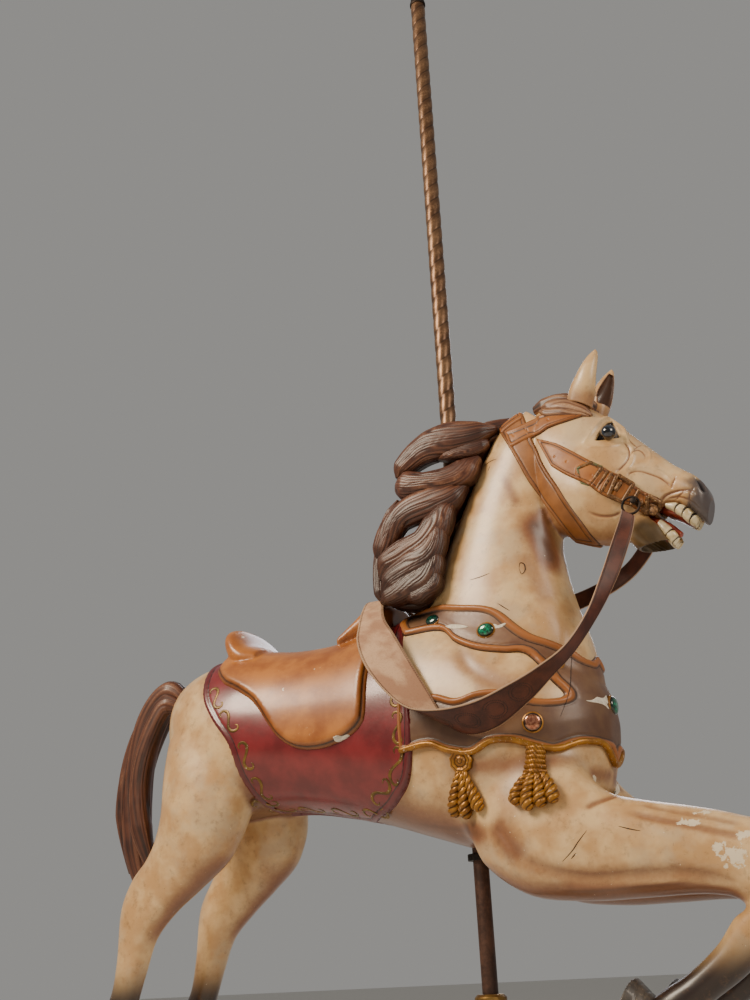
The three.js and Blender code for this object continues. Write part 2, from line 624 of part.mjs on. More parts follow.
// Hair is carved in locks that flow back from the crest and leave two holes between them.
function hair() {
  const hole = poleHole();
  const locks = [
    lock([[168, -44, 1548], [90, -58, 1556], [-10, -62, 1560], [-76, -66, 1500], [-118, -70, 1420]],
      { wide: 30, thick: 24 }),
    lock([[150, -50, 1520], [70, -66, 1520], [-40, -68, 1520], [-104, -72, 1450], [-140, -78, 1350]],
      { wide: 27, thick: 24 }),
    lock([[128, -52, 1486], [60, -74, 1440], [0, -80, 1440], [-76, -82, 1430], [-140, -84, 1330],
      [-166, -90, 1230]], { wide: 32, thick: 24 }),
    lock([[96, -62, 1440], [40, -84, 1380], [-16, -90, 1384], [-70, -92, 1380], [-112, -92, 1290],
      [-150, -96, 1190]], { wide: 32, thick: 26 }),
    lock([[66, -70, 1390], [10, -92, 1320], [-30, -98, 1276], [-84, -100, 1238], [-134, -100, 1170]],
      { wide: 42, thick: 26 }),
    lock([[40, -84, 1340], [-20, -96, 1310], [-70, -98, 1280], [-116, -98, 1240], [-150, -98, 1190]],
      { wide: 30, thick: 22 }),
    lock([[46, -76, 1352], [-10, -98, 1280], [-38, -104, 1220], [-78, -106, 1160]],
      { wide: 36, thick: 24 }),
    lock([[30, -82, 1310], [-8, -104, 1240], [-22, -112, 1190], [-40, -114, 1150]],
      { wide: 26, thick: 20 }),
    lock([[170, 0, 1572], [90, -14, 1540], [30, -20, 1440], [-30, -22, 1340], [-80, -24, 1240],
      [-110, -30, 1180]], { wide: 30, thick: 36 }),
    lock([[150, 24, 1545], [80, 44, 1470], [20, 52, 1380], [-30, 58, 1290], [-64, 62, 1200]],
      { wide: 26, thick: 20 }),
  ];
  // The locks grow together into one mass above the withers, with a level lower edge.
  const fall = form(
    [
      { top: [-132, 1318], bottom: [14, 1296], wide: 14, y: -82 },
      { top: [-156, 1276], bottom: [8, 1262], wide: 22, y: -90 },
      { top: [-166, 1232], bottom: [-2, 1222], wide: 25, y: -97 },
      { top: [-162, 1196], bottom: [-8, 1180], wide: 25, y: -102 },
      { top: [-146, 1166], bottom: [-14, 1152], wide: 20, y: -104 },
      { top: [-134, 1156], bottom: [-30, 1146], wide: 10, y: -103 },
    ],
    { steps: 8, sides: 14, square: 3 },
  );
  const mane = join(...locks, fall).subtract(neckForm(FIT_GAP)).subtract(skullForm(FIT_GAP))
    .subtract(torsoForm(FIT_GAP)).subtract(hole).subtract(crownRoom());
  add("mane", largest(mane), FINISH.hair);
  const fringe = join(
    lock([[364, -30, 1544], [330, -38, 1566], [286, -38, 1580], [234, -30, 1576]], { wide: 20, thick: 20 }),
    lock([[372, -8, 1554], [330, -12, 1580], [280, -14, 1592], [226, -8, 1588]], { wide: 19, thick: 22 }),
    lock([[366, 22, 1548], [326, 26, 1570], [280, 26, 1584], [230, 18, 1580]], { wide: 19, thick: 20 }),
  );
  const ears = join(earShell(1, FIT_GAP), earShell(-1, FIT_GAP));
  const strapRoom = faceForm(SKIN.strap + FIT_GAP).intersect(prism(CROWN_OUTLINE));
  add("forelock", largest(fringe.subtract(skullForm(FIT_GAP)).subtract(ears).subtract(strapRoom)), FINISH.hair);
  const tail = join(
    lock([[-770, 0, 1040], [-836, 0, 1072], [-902, 0, 1000], [-934, 0, 850], [-926, 0, 690], [-880, 0, 540]],
      { wide: 40, thick: 36, steps: 12, sides: 8 }),
    lock([[-776, 14, 1036], [-850, 20, 1050], [-926, 26, 940], [-966, 30, 800], [-960, 24, 650]],
      { wide: 30, thick: 26 }),
    lock([[-776, -14, 1030], [-840, -22, 1030], [-892, -28, 900], [-896, -26, 760], [-856, -20, 620]],
      { wide: 30, thick: 26 }),
  );
  const clearOfLegs = join(torsoForm(FIT_GAP), hindlegForm(1, 2), hindlegForm(-1, 2));
  add("tail", largest(tail.subtract(clearOfLegs)), FINISH.hair);
}

// The room that the crown strap takes up at the crest, with a gap round it.
function crownRoom() {
  const outline = [[CROWN_OUTLINE[0][0] - 1, 1640], ...CROWN_OUTLINE.slice(1, 4), [230, 1450], [230, 1640]];
  const shifted = outline.map(([x, z], i) => [i < 4 ? x - 1 : x, z]);
  return faceForm(SKIN.strap + FIT_GAP).intersect(prism(shifted));
}

function saddlery() {
  const blanket = torsoForm(SKIN.blanket).subtract(torsoForm(FIT_GAP)).intersect(prism(BLANKET_OUTLINE));
  const thighs = join(hindlegForm(1, FIT_GAP), hindlegForm(-1, FIT_GAP));
  add("saddle_blanket", largest(blanket.subtract(thighs)), FINISH.red);
  const under = torsoForm(SKIN.blanket + FIT_GAP);
  const flaps = torsoForm(SKIN.saddle).intersect(prism(FLAP_OUTLINE));
  const cantle = form(
    [
      { top: [-500, 1128], bottom: [-500, 1060], wide: 112 },
      { top: [-536, 1144], bottom: [-536, 1060], wide: 124 },
      { top: [-572, 1184], bottom: [-560, 1060], wide: 122 },
      { top: [-594, 1194], bottom: [-578, 1080], wide: 108 },
      { top: [-608, 1184], bottom: [-598, 1110], wide: 84 },
    ],
    { steps: 7, sides: 14 },
  );
  const pommel = form(
    [
      { top: [-280, 1122], bottom: [-280, 1070], wide: 100 },
      { top: [-244, 1158], bottom: [-248, 1080], wide: 92 },
      { top: [-214, 1186], bottom: [-216, 1085], wide: 84 },
      { top: [-170, 1188], bottom: [-170, 1085], wide: 76 },
      { top: [-152, 1172], bottom: [-154, 1100], wide: 56 },
    ],
    { steps: 7, sides: 14 },
  );
  add("saddle", largest(join(flaps, cantle, pommel).subtract(under)), FINISH.orange);
}

function breastCollar() {
  const keepOff = prism(BLANKET_OUTLINE.map(([x, z]) => [x + 2, z]));
  const shell = frontForm(SKIN.collar).subtract(frontForm(FIT_GAP)).intersect(prism(COLLAR_OUTLINE));
  const collar = largest(shell.subtract(keepOff).subtract(maneClearance()));
  add("breast_collar", collar, FINISH.tan);

  const jewels = [
    { name: "jewel_shoulder", x: 109, z: 1050, wide: 19, tall: 15, high: 8, material: FINISH.green },
    { name: "jewel_withers", x: -26, z: 1101, wide: 17, tall: 14, high: 7, material: FINISH.green },
    { name: "jewel_side", x: 248, z: 962, wide: 17, tall: 15, high: 7, material: FINISH.green },
    { name: "jewel_bronze", x: 207, z: 834, wide: 19, tall: 19, high: 8, material: FINISH.gold },
  ];
  const under = frontForm(SKIN.collar + FIT_GAP);
  for (const j of jewels) {
    for (const [word, side] of [["left", 1], ["right", -1]]) {
      const dome = seat(domeShape(j.wide, j.tall, j.high), faceAt(collar, j.x, j.z, side));
      add(`${j.name}_${word}`, largest(dome.subtract(under)), j.material);
    }
  }
  const chestDome = seat(domeShape(20, 20, 9), frontFace(collar, 877));
  add("jewel_chest", largest(chestDome.subtract(under)), FINISH.green);
}

// A domed stone with a foot that reaches 6 below its seat, turned about Z.
function domeShape(wide, tall, high) {
  const profile = [[0, -6], [1, -6], [1, 0.2], [0.93, high * 0.42], [0.7, high * 0.78], [0.36, high], [0, high * 1.06]];
  const geometry = new THREE.LatheGeometry(profile.map(([r, z]) => new THREE.Vector2(r, z)), 12);
  geometry.rotateX(Math.PI / 2);
  geometry.scale(wide, tall, 1);
  return geometry;
}

// The point on the middle of the chest at one height.
function frontFace(made, z) {
  const mesh = new THREE.Mesh(geometryOf(made), new THREE.MeshBasicMaterial());
  const ray = new THREE.Raycaster(new THREE.Vector3(600, 0.5, z), new THREE.Vector3(-1, 0, 0));
  const [hit] = ray.intersectObject(mesh);
  return { point: hit.point.setY(0), normal: new THREE.Vector3(1, 0, 0) };
}

// Keeps the collar clear of the locks that hang down over it.
function maneClearance() {
  return prism([[-200, 1300], [-200, 1128], [-8, 1128], [20, 1140], [60, 1200], [60, 1300]], -160, 160);
}

// Each tassel hangs from the rope along the collar's lower edge.
function tassels() {
  const front = frontForm(FIT_GAP);
  const places = [
    { name: "tassel_rear", x: 49, top: 780, foot: 57, bottom: 662, spread: 39 },
    { name: "tassel_front", x: 212, top: 782, foot: 197, bottom: 660, spread: 44 },
  ];
  for (const { name, x, top, foot, bottom, spread } of places) {
    for (const [word, side] of [["left", 1], ["right", -1]]) {
      const { point } = faceAt(front, (x + foot) / 2, (top + bottom) / 2, side);
      const across = (middle, half, z) => ({ top: [middle - half, z], bottom: [middle + half, z] });
      const body = form(
        [
          { ...across(x, 16, top), wide: 12 },
          { ...across(x, 23, top - 18), wide: 17 },
          { ...across(x, 17, top - 42), wide: 13 },
          { ...across((x + foot) / 2, spread - 14, (top + bottom) / 2), wide: 17 },
          { ...across(foot, spread, bottom + 26), wide: 20 },
          { ...across(foot, spread - 6, bottom + 6), wide: 16 },
          { ...across(foot, spread - 18, bottom), wide: 10 },
        ],
        { y: point.y, steps: 9, sides: 10 },
      );
      add(`${name}_${word}`, largest(body.subtract(front).subtract(collarEdge())), FINISH.gold);
    }
  }
}

// The collar's own prism a touch larger, which keeps the tassels below its edge.
function collarEdge() {
  const lowered = COLLAR_OUTLINE.map(([x, z]) => [x, z - 0.4]);
  return prism(lowered);
}

function bridle() {
  const shell = faceForm(SKIN.strap).subtract(faceForm(FIT_GAP));
  const onJaw = join(shell, jawForm(SKIN.strap).subtract(jawForm(FIT_GAP)));
  const clearJaw = onJaw.subtract(faceForm(FIT_GAP)).subtract(jawForm(FIT_GAP));
  const crown = shell.intersect(prism(CROWN_OUTLINE));
  add("bridle_crown", largest(crown.subtract(hairClearance())), FINISH.tan);
  const throat = clearJaw.intersect(prism(THROAT_OUTLINE)).subtract(prism(CROWN_OUTLINE.map(([x, z]) => [x, z - 1])));
  add("bridle_throat", largest(throat), FINISH.tan);
  const cheek = clearJaw.intersect(prism(CHEEK_OUTLINE))
    .subtract(prism(THROAT_OUTLINE.map(([x, z]) => [x + 1, z])))
    .subtract(prism(CROWN_OUTLINE.map(([x, z]) => [x, z - 1])));
  for (const [word, side] of [["left", 1], ["right", -1]]) {
    const half = side > 0 ? [0, 200] : [-200, 0];
    const box = prism([[0, 1000], [700, 1000], [700, 1700], [0, 1700]], ...half);
    add(`bridle_cheek_${word}`, largest(join(cheek.intersect(box), cheekStud(side))), FINISH.tan);
  }
}

// The stud that a bit ring hangs on, from inside the cheek strap out to its domed head.
function cheekStud(side) {
  const root = faceAt(faceForm(FIT_GAP), STUD.x, STUD.z, side).point.y;
  const length = STUD.reach - Math.abs(root);
  const shank = new THREE.CylinderGeometry(STUD.radius, STUD.radius, length, 12);
  shank.translate(STUD.x, root + (side * length) / 2, STUD.z);
  const head = new THREE.CylinderGeometry(STUD.radius + 3, STUD.radius + 3, 3, 12);
  head.translate(STUD.x, side * (STUD.reach + 1.4), STUD.z);
  return join(solid(shank).subtract(faceForm(FIT_GAP)), solid(head));
}

// Room for the mane's root, which overlies the crown strap at the crest.
function hairClearance() {
  return prism([[100, 1700], [100, 1400], [150, 1400], [150, 1700]], -200, 200);
}

// The bit's mouthpiece crosses the mouth, and a ring hangs on the stud of each cheek strap.
function bitAndReins() {
  const button = (side) => {
    const disc = new THREE.CylinderGeometry(BIT.bar + 4, BIT.bar + 4, 5, 16);
    disc.translate(BIT.x, side * (BIT.reach + 2), BIT.z);
    return solid(disc);
  };
  add("bit_bar", join(barAcross(BIT.bar, BIT.reach), button(1), button(-1)), FINISH.iron);
  for (const [word, side] of [["left", 1], ["right", -1]]) {
    const ring = new THREE.TorusGeometry(RING.radius, RING.wire, 6, 20);
    ring.rotateX(Math.PI / 2);
    ring.translate(RING.x, side * RING.y, RING.z);
    add(`bit_ring_${word}`, solid(ring), FINISH.iron);
  }
  add("reins", reinStrap(), FINISH.leather);
}

// One long strap runs from ring to ring over the saddle's front. It has slipped to the right, where
// it hangs in a deep loop, and on the left it lies almost straight along the neck.
// Each place gives the middle of the strap, the way across it, and its width.
function reinStrap() {
  const beside = RING.y + RING.wire + FIT_GAP + REIN_THICK / 2;
  const right = [
    { at: [436, -beside, 1260], across: [0.78, 0, -0.62], wide: 34 },
    { at: [428, -beside - 3, 1232], across: [0.8, 0.1, -0.5], wide: 35 },
    { at: [415, -98, 1192], across: [0.8, 0.35, -0.35], wide: 36 },
    { at: [387, -117, 1118], across: [0.72, 0.62, -0.05], wide: 38 },
    { at: [354, -143, 1043], across: [0.42, 0.86, 0.16], wide: 42 },
    { at: [308, -174, 970], across: [0.18, 0.97, 0], wide: 47 },
    { at: [257, -200, 922], across: [0.22, 0.93, -0.22], wide: 53 },
    { at: [207, -213, 887], across: [0.32, 0.84, -0.42], wide: 64 },
    { at: [134, -220, 852], across: [0.35, 0.76, -0.55], wide: 80 },
    { at: [62, -222, 845], across: [0.42, 0.76, -0.5], wide: 92 },
    { at: [2, -222, 868], across: [0.56, 0.76, -0.28], wide: 98 },
    { at: [-45, -220, 926], across: [0.72, 0.68, -0.05], wide: 100 },
    { at: [-90, -212, 995], across: [0.78, 0.6, 0.12], wide: 98 },
    { at: [-124, -194, 1056], across: [0.78, 0.58, 0.2], wide: 86 },
    { at: [-152, -158, 1106], across: [0.72, 0.62, 0.28], wide: 64 },
    { at: [-172, -112, 1154], across: [0.86, 0.42, 0.24], wide: 52 },
    { at: [-188, -58, 1187], across: [0.98, 0.12, 0.02], wide: 48 },
  ];
  const saddleTop = POMMEL_TOP + FIT_GAP + REIN_THICK / 2;
  const middle = [{ at: [-192, 0, saddleTop], across: [1, 0, 0], wide: 46 }];
  const left = [
    { at: [-188, 58, 1187], across: [0.98, -0.12, 0.02], wide: 46 },
    { at: [-160, 106, 1158], across: [0.78, -0.46, 0.42], wide: 46 },
    { at: [-104, 132, 1142], across: [0.35, -0.35, 0.87], wide: 46 },
    { at: [-20, 142, 1138], across: [0.1, -0.2, 0.97], wide: 44 },
    { at: [80, 144, 1140], across: [0, -0.15, 0.98], wide: 42 },
    { at: [180, 138, 1148], across: [-0.1, -0.1, 0.98], wide: 40 },
    { at: [280, 124, 1164], across: [-0.2, 0, 0.98], wide: 38 },
    { at: [360, 108, 1190], across: [-0.38, 0, 0.92], wide: 36 },
    { at: [412, beside + 8, 1226], across: [-0.62, 0, 0.78], wide: 35 },
    { at: [436, beside, 1260], across: [-0.78, 0, 0.62], wide: 34 },
  ];
  return strap([...right, ...middle, ...left], REIN_THICK, 72);
}

platformSocket();
pole();
carvedBody();
legs();
head();
hair();
saddlery();
breastCollar();
tassels();
bridle();
bitAndReins();

export default galloper;
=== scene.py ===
# %% [markdown]
# # A fairground galloper in Blender
# The real object is a full-size carousel horse, laid up in glass fibre and painted, on a twisted
# brass pole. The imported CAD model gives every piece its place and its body. This lesson dresses
# that model, piece by piece, so that it looks like the photographed horse from every side.

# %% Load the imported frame
import copy
import json
import math

import bpy
import numpy as np
from mathutils import Matrix, Vector
from mathutils.bvhtree import BVHTree

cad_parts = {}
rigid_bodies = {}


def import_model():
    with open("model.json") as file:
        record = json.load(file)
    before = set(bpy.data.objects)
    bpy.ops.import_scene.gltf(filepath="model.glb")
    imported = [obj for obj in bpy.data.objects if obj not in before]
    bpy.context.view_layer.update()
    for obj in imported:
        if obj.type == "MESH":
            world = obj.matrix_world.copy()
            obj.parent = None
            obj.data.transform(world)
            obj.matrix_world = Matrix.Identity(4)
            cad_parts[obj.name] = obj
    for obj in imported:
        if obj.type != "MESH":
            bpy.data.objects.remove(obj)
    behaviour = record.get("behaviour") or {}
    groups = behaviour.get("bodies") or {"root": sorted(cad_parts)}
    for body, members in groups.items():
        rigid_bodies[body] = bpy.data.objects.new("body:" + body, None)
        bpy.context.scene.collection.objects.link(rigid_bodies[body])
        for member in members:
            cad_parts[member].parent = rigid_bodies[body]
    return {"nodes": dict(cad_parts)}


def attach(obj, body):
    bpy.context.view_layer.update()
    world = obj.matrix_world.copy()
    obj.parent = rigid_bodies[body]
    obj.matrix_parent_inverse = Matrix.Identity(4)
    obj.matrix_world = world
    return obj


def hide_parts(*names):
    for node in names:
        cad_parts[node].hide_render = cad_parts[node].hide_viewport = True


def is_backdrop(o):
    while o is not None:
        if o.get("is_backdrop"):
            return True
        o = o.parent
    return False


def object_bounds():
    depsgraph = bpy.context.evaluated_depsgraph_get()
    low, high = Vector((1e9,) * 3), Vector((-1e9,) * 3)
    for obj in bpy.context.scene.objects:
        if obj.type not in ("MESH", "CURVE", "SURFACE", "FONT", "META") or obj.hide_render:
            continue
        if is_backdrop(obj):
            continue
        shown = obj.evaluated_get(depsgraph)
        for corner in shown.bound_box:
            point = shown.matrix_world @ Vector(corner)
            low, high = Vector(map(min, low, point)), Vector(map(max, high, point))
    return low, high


for leftover in list(bpy.data.objects):
    bpy.data.objects.remove(leftover)
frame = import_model()
cad_low, cad_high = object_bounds()
MM = 0.001
HORSE = "galloper"
SOCKET = "floor_socket"
SIDES = (("left", 1), ("right", -1))
print("CAD nodes", len(frame["nodes"]), "box", tuple(cad_low), tuple(cad_high))

# %% [markdown]
# ## The camera
# The camera stands low, in front of the horse's right shoulder, and looks up. Its place was worked
# out from the pole, which is upright in reality, and from the width of the brass casing. It comes
# first because many carved lines below are drawn as the photograph shows them, in pixels, and
# then thrown on to the horse from this point.

# %% Camera
PHOTO_WIDE, PHOTO_TALL = 750, 1000
FOCAL_PX, SENSOR_MM = 1200, 36
CAMERA_AT = np.array([1.079, -2.430, 0.357])
PITCH, ROLL, ROUND = math.radians(22), math.radians(-2.7), math.radians(28)

level = np.array([-math.sin(ROUND), math.cos(ROUND), 0.0])
flat_right = np.array([math.cos(ROUND), math.sin(ROUND), 0.0])
UPWARD = np.array([0.0, 0.0, 1.0])
ahead = level * math.cos(PITCH) + UPWARD * math.sin(PITCH)
straight_up = UPWARD * math.cos(PITCH) - level * math.sin(PITCH)
view_right = flat_right * math.cos(ROLL) + straight_up * math.sin(ROLL)
view_up = straight_up * math.cos(ROLL) - flat_right * math.sin(ROLL)

lens = bpy.data.cameras.new("photo_view")
lens.sensor_width = SENSOR_MM
lens.lens = SENSOR_MM * FOCAL_PX / PHOTO_TALL
camera = bpy.data.objects.new("photo_view", lens)
turn = Matrix([view_right, view_up, -ahead]).transposed()
camera.matrix_world = Matrix.Translation(Vector(CAMERA_AT)) @ turn.to_4x4()
bpy.context.scene.collection.objects.link(camera)
bpy.context.scene.camera = camera
print("lens", round(lens.lens, 1), "mm")


def sight(px, py):
    """The direction in which the camera sees one pixel of the photograph."""
    across = (px - PHOTO_WIDE / 2) / FOCAL_PX
    down = (py - PHOTO_TALL / 2) / FOCAL_PX
    direction = ahead + across * view_right - down * view_up
    return Vector(direction / np.linalg.norm(direction))


# %% [markdown]
# ## Tools for meshes
# Every form is worked out with numpy, which moves a hundred thousand points at once, and becomes a
# Blender mesh at the end. A form is described as a wood carver would: by the top and the bottom of
# a few cross-sections, seen from the side, and by how wide each one is.

# %% Mesh tools
def make_piece(name, points, *face_sets):
    """A mesh object at the origin, with its place in its points."""
    mesh = bpy.data.meshes.new(name)
    mesh.vertices.add(len(points))
    mesh.vertices.foreach_set("co", np.asarray(points, np.float32).ravel())
    corner_sets = [np.asarray(f, np.int32) for f in face_sets if len(f)]
    corners = np.concatenate([f.ravel() for f in corner_sets])
    sizes = np.concatenate([np.full(len(f), f.shape[1]) for f in corner_sets])
    mesh.loops.add(len(corners))
    mesh.loops.foreach_set("vertex_index", corners.astype(np.int32))
    mesh.polygons.add(len(sizes))
    mesh.polygons.foreach_set("loop_start", (np.cumsum(sizes) - sizes).astype(np.int32))
    mesh.update(calc_edges=True)
    mesh.validate()
    mesh.shade_smooth()
    piece = bpy.data.objects.new(name, mesh)
    bpy.context.scene.collection.objects.link(piece)
    return piece


def unit(vectors):
    """The same directions with a length of one."""
    return vectors / np.linalg.norm(vectors, axis=-1, keepdims=True)


def full_turn(sides):
    """The angles of a ring's points, as one row."""
    return np.linspace(0, 2 * np.pi, sides, endpoint=False)[None, :]


def smooth_rows(rows, steps):
    """More rows, on the smooth curve through the given ones."""
    rows = np.asarray(rows, float)
    before, after = 2 * rows[0] - rows[1], 2 * rows[-1] - rows[-2]
    padded = np.vstack([before, rows, after])
    place = np.linspace(0, len(rows) - 1, steps + 1)
    i = np.minimum(place.astype(int), len(rows) - 2)
    f = (place - i)[:, None]
    p0, p1, p2, p3 = padded[i], padded[i + 1], padded[i + 2], padded[i + 3]
    bend = 2 * p0 - 5 * p1 + 4 * p2 - p3
    twist = 3 * p1 - 3 * p2 + p3 - p0
    return p1 + 0.5 * ((p2 - p0) * f + bend * f**2 + twist * f**3)


def tube_faces(rings, sides):
    """The faces of a run of rings, and of the fan that closes each end."""
    ring, side = np.meshgrid(np.arange(rings - 1), np.arange(sides), indexing="ij")
    a = (ring * sides + side).ravel()
    b = (ring * sides + (side + 1) % sides).ravel()
    walls = np.stack([a, b, b + sides, a + sides], 1)
    around = np.arange(sides)
    following = (around + 1) % sides
    first, last = rings * sides, rings * sides + 1
    low = np.stack([np.full(sides, first), following, around], 1)
    top_ring = (rings - 1) * sides
    high = np.stack([np.full(sides, last), top_ring + around, top_ring + following], 1)
    return walls, np.vstack([low, high])


def loft(stations, steps=90, sides=56, square=2.2, grow=0.0):
    """A carved form from stations of top x, top z, bottom x, bottom z, half width, side y and egg."""
    full = [list(s) + [0.0] * (7 - len(s)) for s in stations]
    rows = smooth_rows(full, steps)
    top, bottom = rows[:, 0:2], rows[:, 2:4]
    centre, half = (top + bottom) / 2, (top - bottom) / 2
    length = np.linalg.norm(half, axis=1, keepdims=True)
    half = half * (length + grow) / length
    angle = np.linspace(0, 2 * np.pi, sides, endpoint=False)
    up = np.sign(np.sin(angle)) * np.abs(np.sin(angle)) ** (2 / square)
    out = np.sign(np.cos(angle)) * np.abs(np.cos(angle)) ** (2 / square)
    wide = np.maximum(rows[:, 4:5], 2) + grow
    y = rows[:, 5:6] + out[None, :] * wide * (1 + rows[:, 6:7] * up[None, :])
    x = centre[:, 0:1] + half[:, 0:1] * up
    z = centre[:, 1:2] + half[:, 1:2] * up
    return skinned(np.stack([x, y, z], 2), [[centre[i, 0], rows[i, 5], centre[i, 1]] for i in (0, -1)])


def skinned(rows, ends):
    """A closed form from rings of points and a middle point for each end, in millimetres."""
    walls, caps = tube_faces(*rows.shape[:2])
    return outward(np.vstack([rows.reshape(-1, 3), ends]) * MM, walls, caps)


def looped(rows):
    """A closed form from rings of points, in millimetres, whose last ring meets the first."""
    rings, sides = rows.shape[:2]
    walls, _ = tube_faces(rings + 1, sides)
    return outward(rows.reshape(-1, 3) * MM, walls % (rings * sides), np.zeros((0, 3), int))


def tree_of(form):
    """A form's faces, sorted so that rays find them fast."""
    points, walls, caps = form[:3]
    return BVHTree.FromPolygons(points.tolist(), walls.tolist() + caps.tolist())


def outward(points, walls, caps):
    """Turns every face round when the form is inside out."""
    tris = np.vstack([walls[:, [0, 1, 2]], walls[:, [0, 2, 3]], caps])
    a, b, c = points[tris[:, 0]], points[tris[:, 1]], points[tris[:, 2]]
    if np.einsum("ij,ij->i", a, np.cross(b, c)).sum() < 0:
        walls, caps = walls[:, ::-1], caps[:, ::-1]
    return points, walls, caps


def joined(forms):
    """Several forms as one set of points and faces."""
    points, walls, caps, count = [], [], [], 0
    for p, w, c in forms:
        points.append(p)
        walls.append(w + count)
        caps.append(c + count)
        count += len(p)
    return np.vstack(points), np.vstack(walls), np.vstack(caps)


print("mesh tools ready")

# %% [markdown]
# ## Skins that are carved
# A moulded shell has no seams between its limbs, so overlapping forms are remeshed into one skin.
# It is kept as plain arrays, because pushing points in or out along their normals is then one sum
# for the whole skin, and the same strokes come out the same each time, as they wouldn't by hand.

# %% Skins
def plain(piece):
    """The object's mesh with its modifiers done, in a new mesh, and the object removed."""
    depsgraph = bpy.context.evaluated_depsgraph_get()
    mesh = bpy.data.meshes.new_from_object(piece.evaluated_get(depsgraph))
    bpy.data.objects.remove(piece)
    return mesh


def one_skin(forms, voxel, cut=None):
    """Overlapping forms as a single skin of small square faces, less what is cut from them."""
    block = make_piece("block", *joined(forms))

    def remesh():
        skin = block.modifiers.new("skin", "REMESH")
        skin.mode = "VOXEL"
        skin.voxel_size = voxel

    remesh()
    if cut is None:
        return Carving(plain(block))
    hollow = make_piece("hollow", *joined(cut))
    boolean = block.modifiers.new("hollow", "BOOLEAN")
    boolean.operation = "DIFFERENCE"
    boolean.object = hollow
    remesh()
    mesh = plain(block)
    bpy.data.objects.remove(hollow)
    return Carving(mesh)


class Carving:
    """A skin that is carved and painted as arrays before it becomes a piece."""

    def __init__(self, mesh):
        self.points = np.zeros(len(mesh.vertices) * 3)
        mesh.vertices.foreach_get("co", self.points)
        self.points = self.points.reshape(-1, 3)
        corners = np.zeros(len(mesh.loops), np.int32)
        mesh.loops.foreach_get("vertex_index", corners)
        self.faces = corners.reshape(-1, 4)
        self.edges = np.zeros(len(mesh.edges) * 2, np.int32)
        mesh.edges.foreach_get("vertices", self.edges)
        self.edges = self.edges.reshape(-1, 2)
        self.paint = {}
        self.fans = ()
        bpy.data.meshes.remove(mesh)

    def normals(self):
        a, b, c, d = (self.points[self.faces[:, k]] for k in range(4))
        lean = np.cross(c - a, d - b)
        total = np.zeros_like(self.points)
        for k in range(4):
            for axis in range(3):
                total[:, axis] += np.bincount(self.faces[:, k], lean[:, axis], len(total))
        return total / np.maximum(np.linalg.norm(total, axis=1, keepdims=True), 1e-12)

    def averaged(self, values):
        """Each point's mean over its neighbours."""
        a, b = self.edges[:, 0], self.edges[:, 1]
        count = np.bincount(self.edges.ravel(), minlength=len(self.points))
        result = np.zeros_like(values)
        for axis in range(values.shape[1]):
            column = values[:, axis]
            total = np.bincount(a, column[b], len(values)) + np.bincount(b, column[a], len(values))
            result[:, axis] = total / np.maximum(count, 1)
        return result

    def relax(self, times, share=1.0):
        """Smooths the skin, and pushes it back out so that it keeps its size."""
        share = np.broadcast_to(np.asarray(share, float).reshape(-1, 1), (len(self.points), 1))
        for _ in range(times):
            for amount in (0.6, -0.62):
                self.points += share * amount * (self.averaged(self.points) - self.points)

    def hollowness(self, times):
        """How far each point lies below its smoothed surroundings, in millimetres."""
        smooth = self.points.copy()
        for _ in range(times):
            smooth += 0.7 * (self.averaged(smooth) - smooth)
        return np.einsum("ij,ij->i", smooth - self.points, self.normals()) / MM

    def push(self, amount):
        """Moves each point out by its own amount in millimetres."""
        self.points += self.normals() * (amount * MM)[:, None]

    def tree(self):
        return BVHTree.FromPolygons(self.points.tolist(), self.faces.tolist())

    def keep(self, wanted):
        """Keeps only the faces whose corners are all wanted."""
        faces = self.faces[wanted[self.faces].all(1)]
        used = np.unique(faces)
        renumber = np.full(len(self.points), -1)
        renumber[used] = np.arange(len(used))
        self.points, self.faces = self.points[used], renumber[faces]
        edges = renumber[self.edges]
        self.edges = edges[(edges >= 0).all(1)]
        self.paint = {name: values[used] for name, values in self.paint.items()}

    def close(self, group=lambda points: np.zeros(len(points), int)):
        """Closes each open end with a fan to a new middle point, one fan for each group of points."""
        sides = np.vstack([self.faces[:, [k, (k + 1) % 4]] for k in range(4)]).astype(np.int64)
        count = len(self.points)
        bare = sides[~np.isin(sides[:, 0] * count + sides[:, 1], sides[:, 1] * count + sides[:, 0])]
        which = group(self.points[bare[:, 0]])
        fans = []
        for label in np.unique(which):
            rim = bare[which == label]
            fans.append(np.column_stack([np.full(len(rim), len(self.points)), rim[:, 1], rim[:, 0]]))
            self.points = np.vstack([self.points, self.points[rim[:, 0]].mean(0)])
            self.paint = {name: np.append(values, values[rim[:, 0]].mean())
                          for name, values in self.paint.items()}
        self.fans = np.vstack(fans)
        print(len(self.fans), "triangles close", len(fans), "open ends")

    def piece(self, name, material, slot, *nodes):
        made = make_piece(name, self.points, self.faces, self.fans)
        for attribute, values in self.paint.items():
            store(made.data, attribute, values)
        return hand_over(made, material, slot, HORSE, *nodes)


print("skin tools ready")

# %% [markdown]
# ## Pieces
# Each finished mesh gets its material and the body that it moves with, and the CAD nodes that it
# stands for are hidden. What a material has to know about single points stays on the mesh as a
# named attribute, because an attribute goes where its point goes when the piece moves.

# %% Pieces
def store(mesh, name, values):
    """Keeps a number or a vector for each point on a mesh, where materials and nodes can read it."""
    values = np.asarray(values, np.float32)
    kind, field = ("FLOAT", "value") if values.ndim == 1 else ("FLOAT_VECTOR", "vector")
    mesh.attributes.new(name, kind, "POINT").data.foreach_set(field, values.ravel())


def single(name, form, material, slot, body=HORSE):
    """A piece of one form that stands for the CAD node of the same name."""
    return hand_over(make_piece(name, *form), material, slot, body, name)


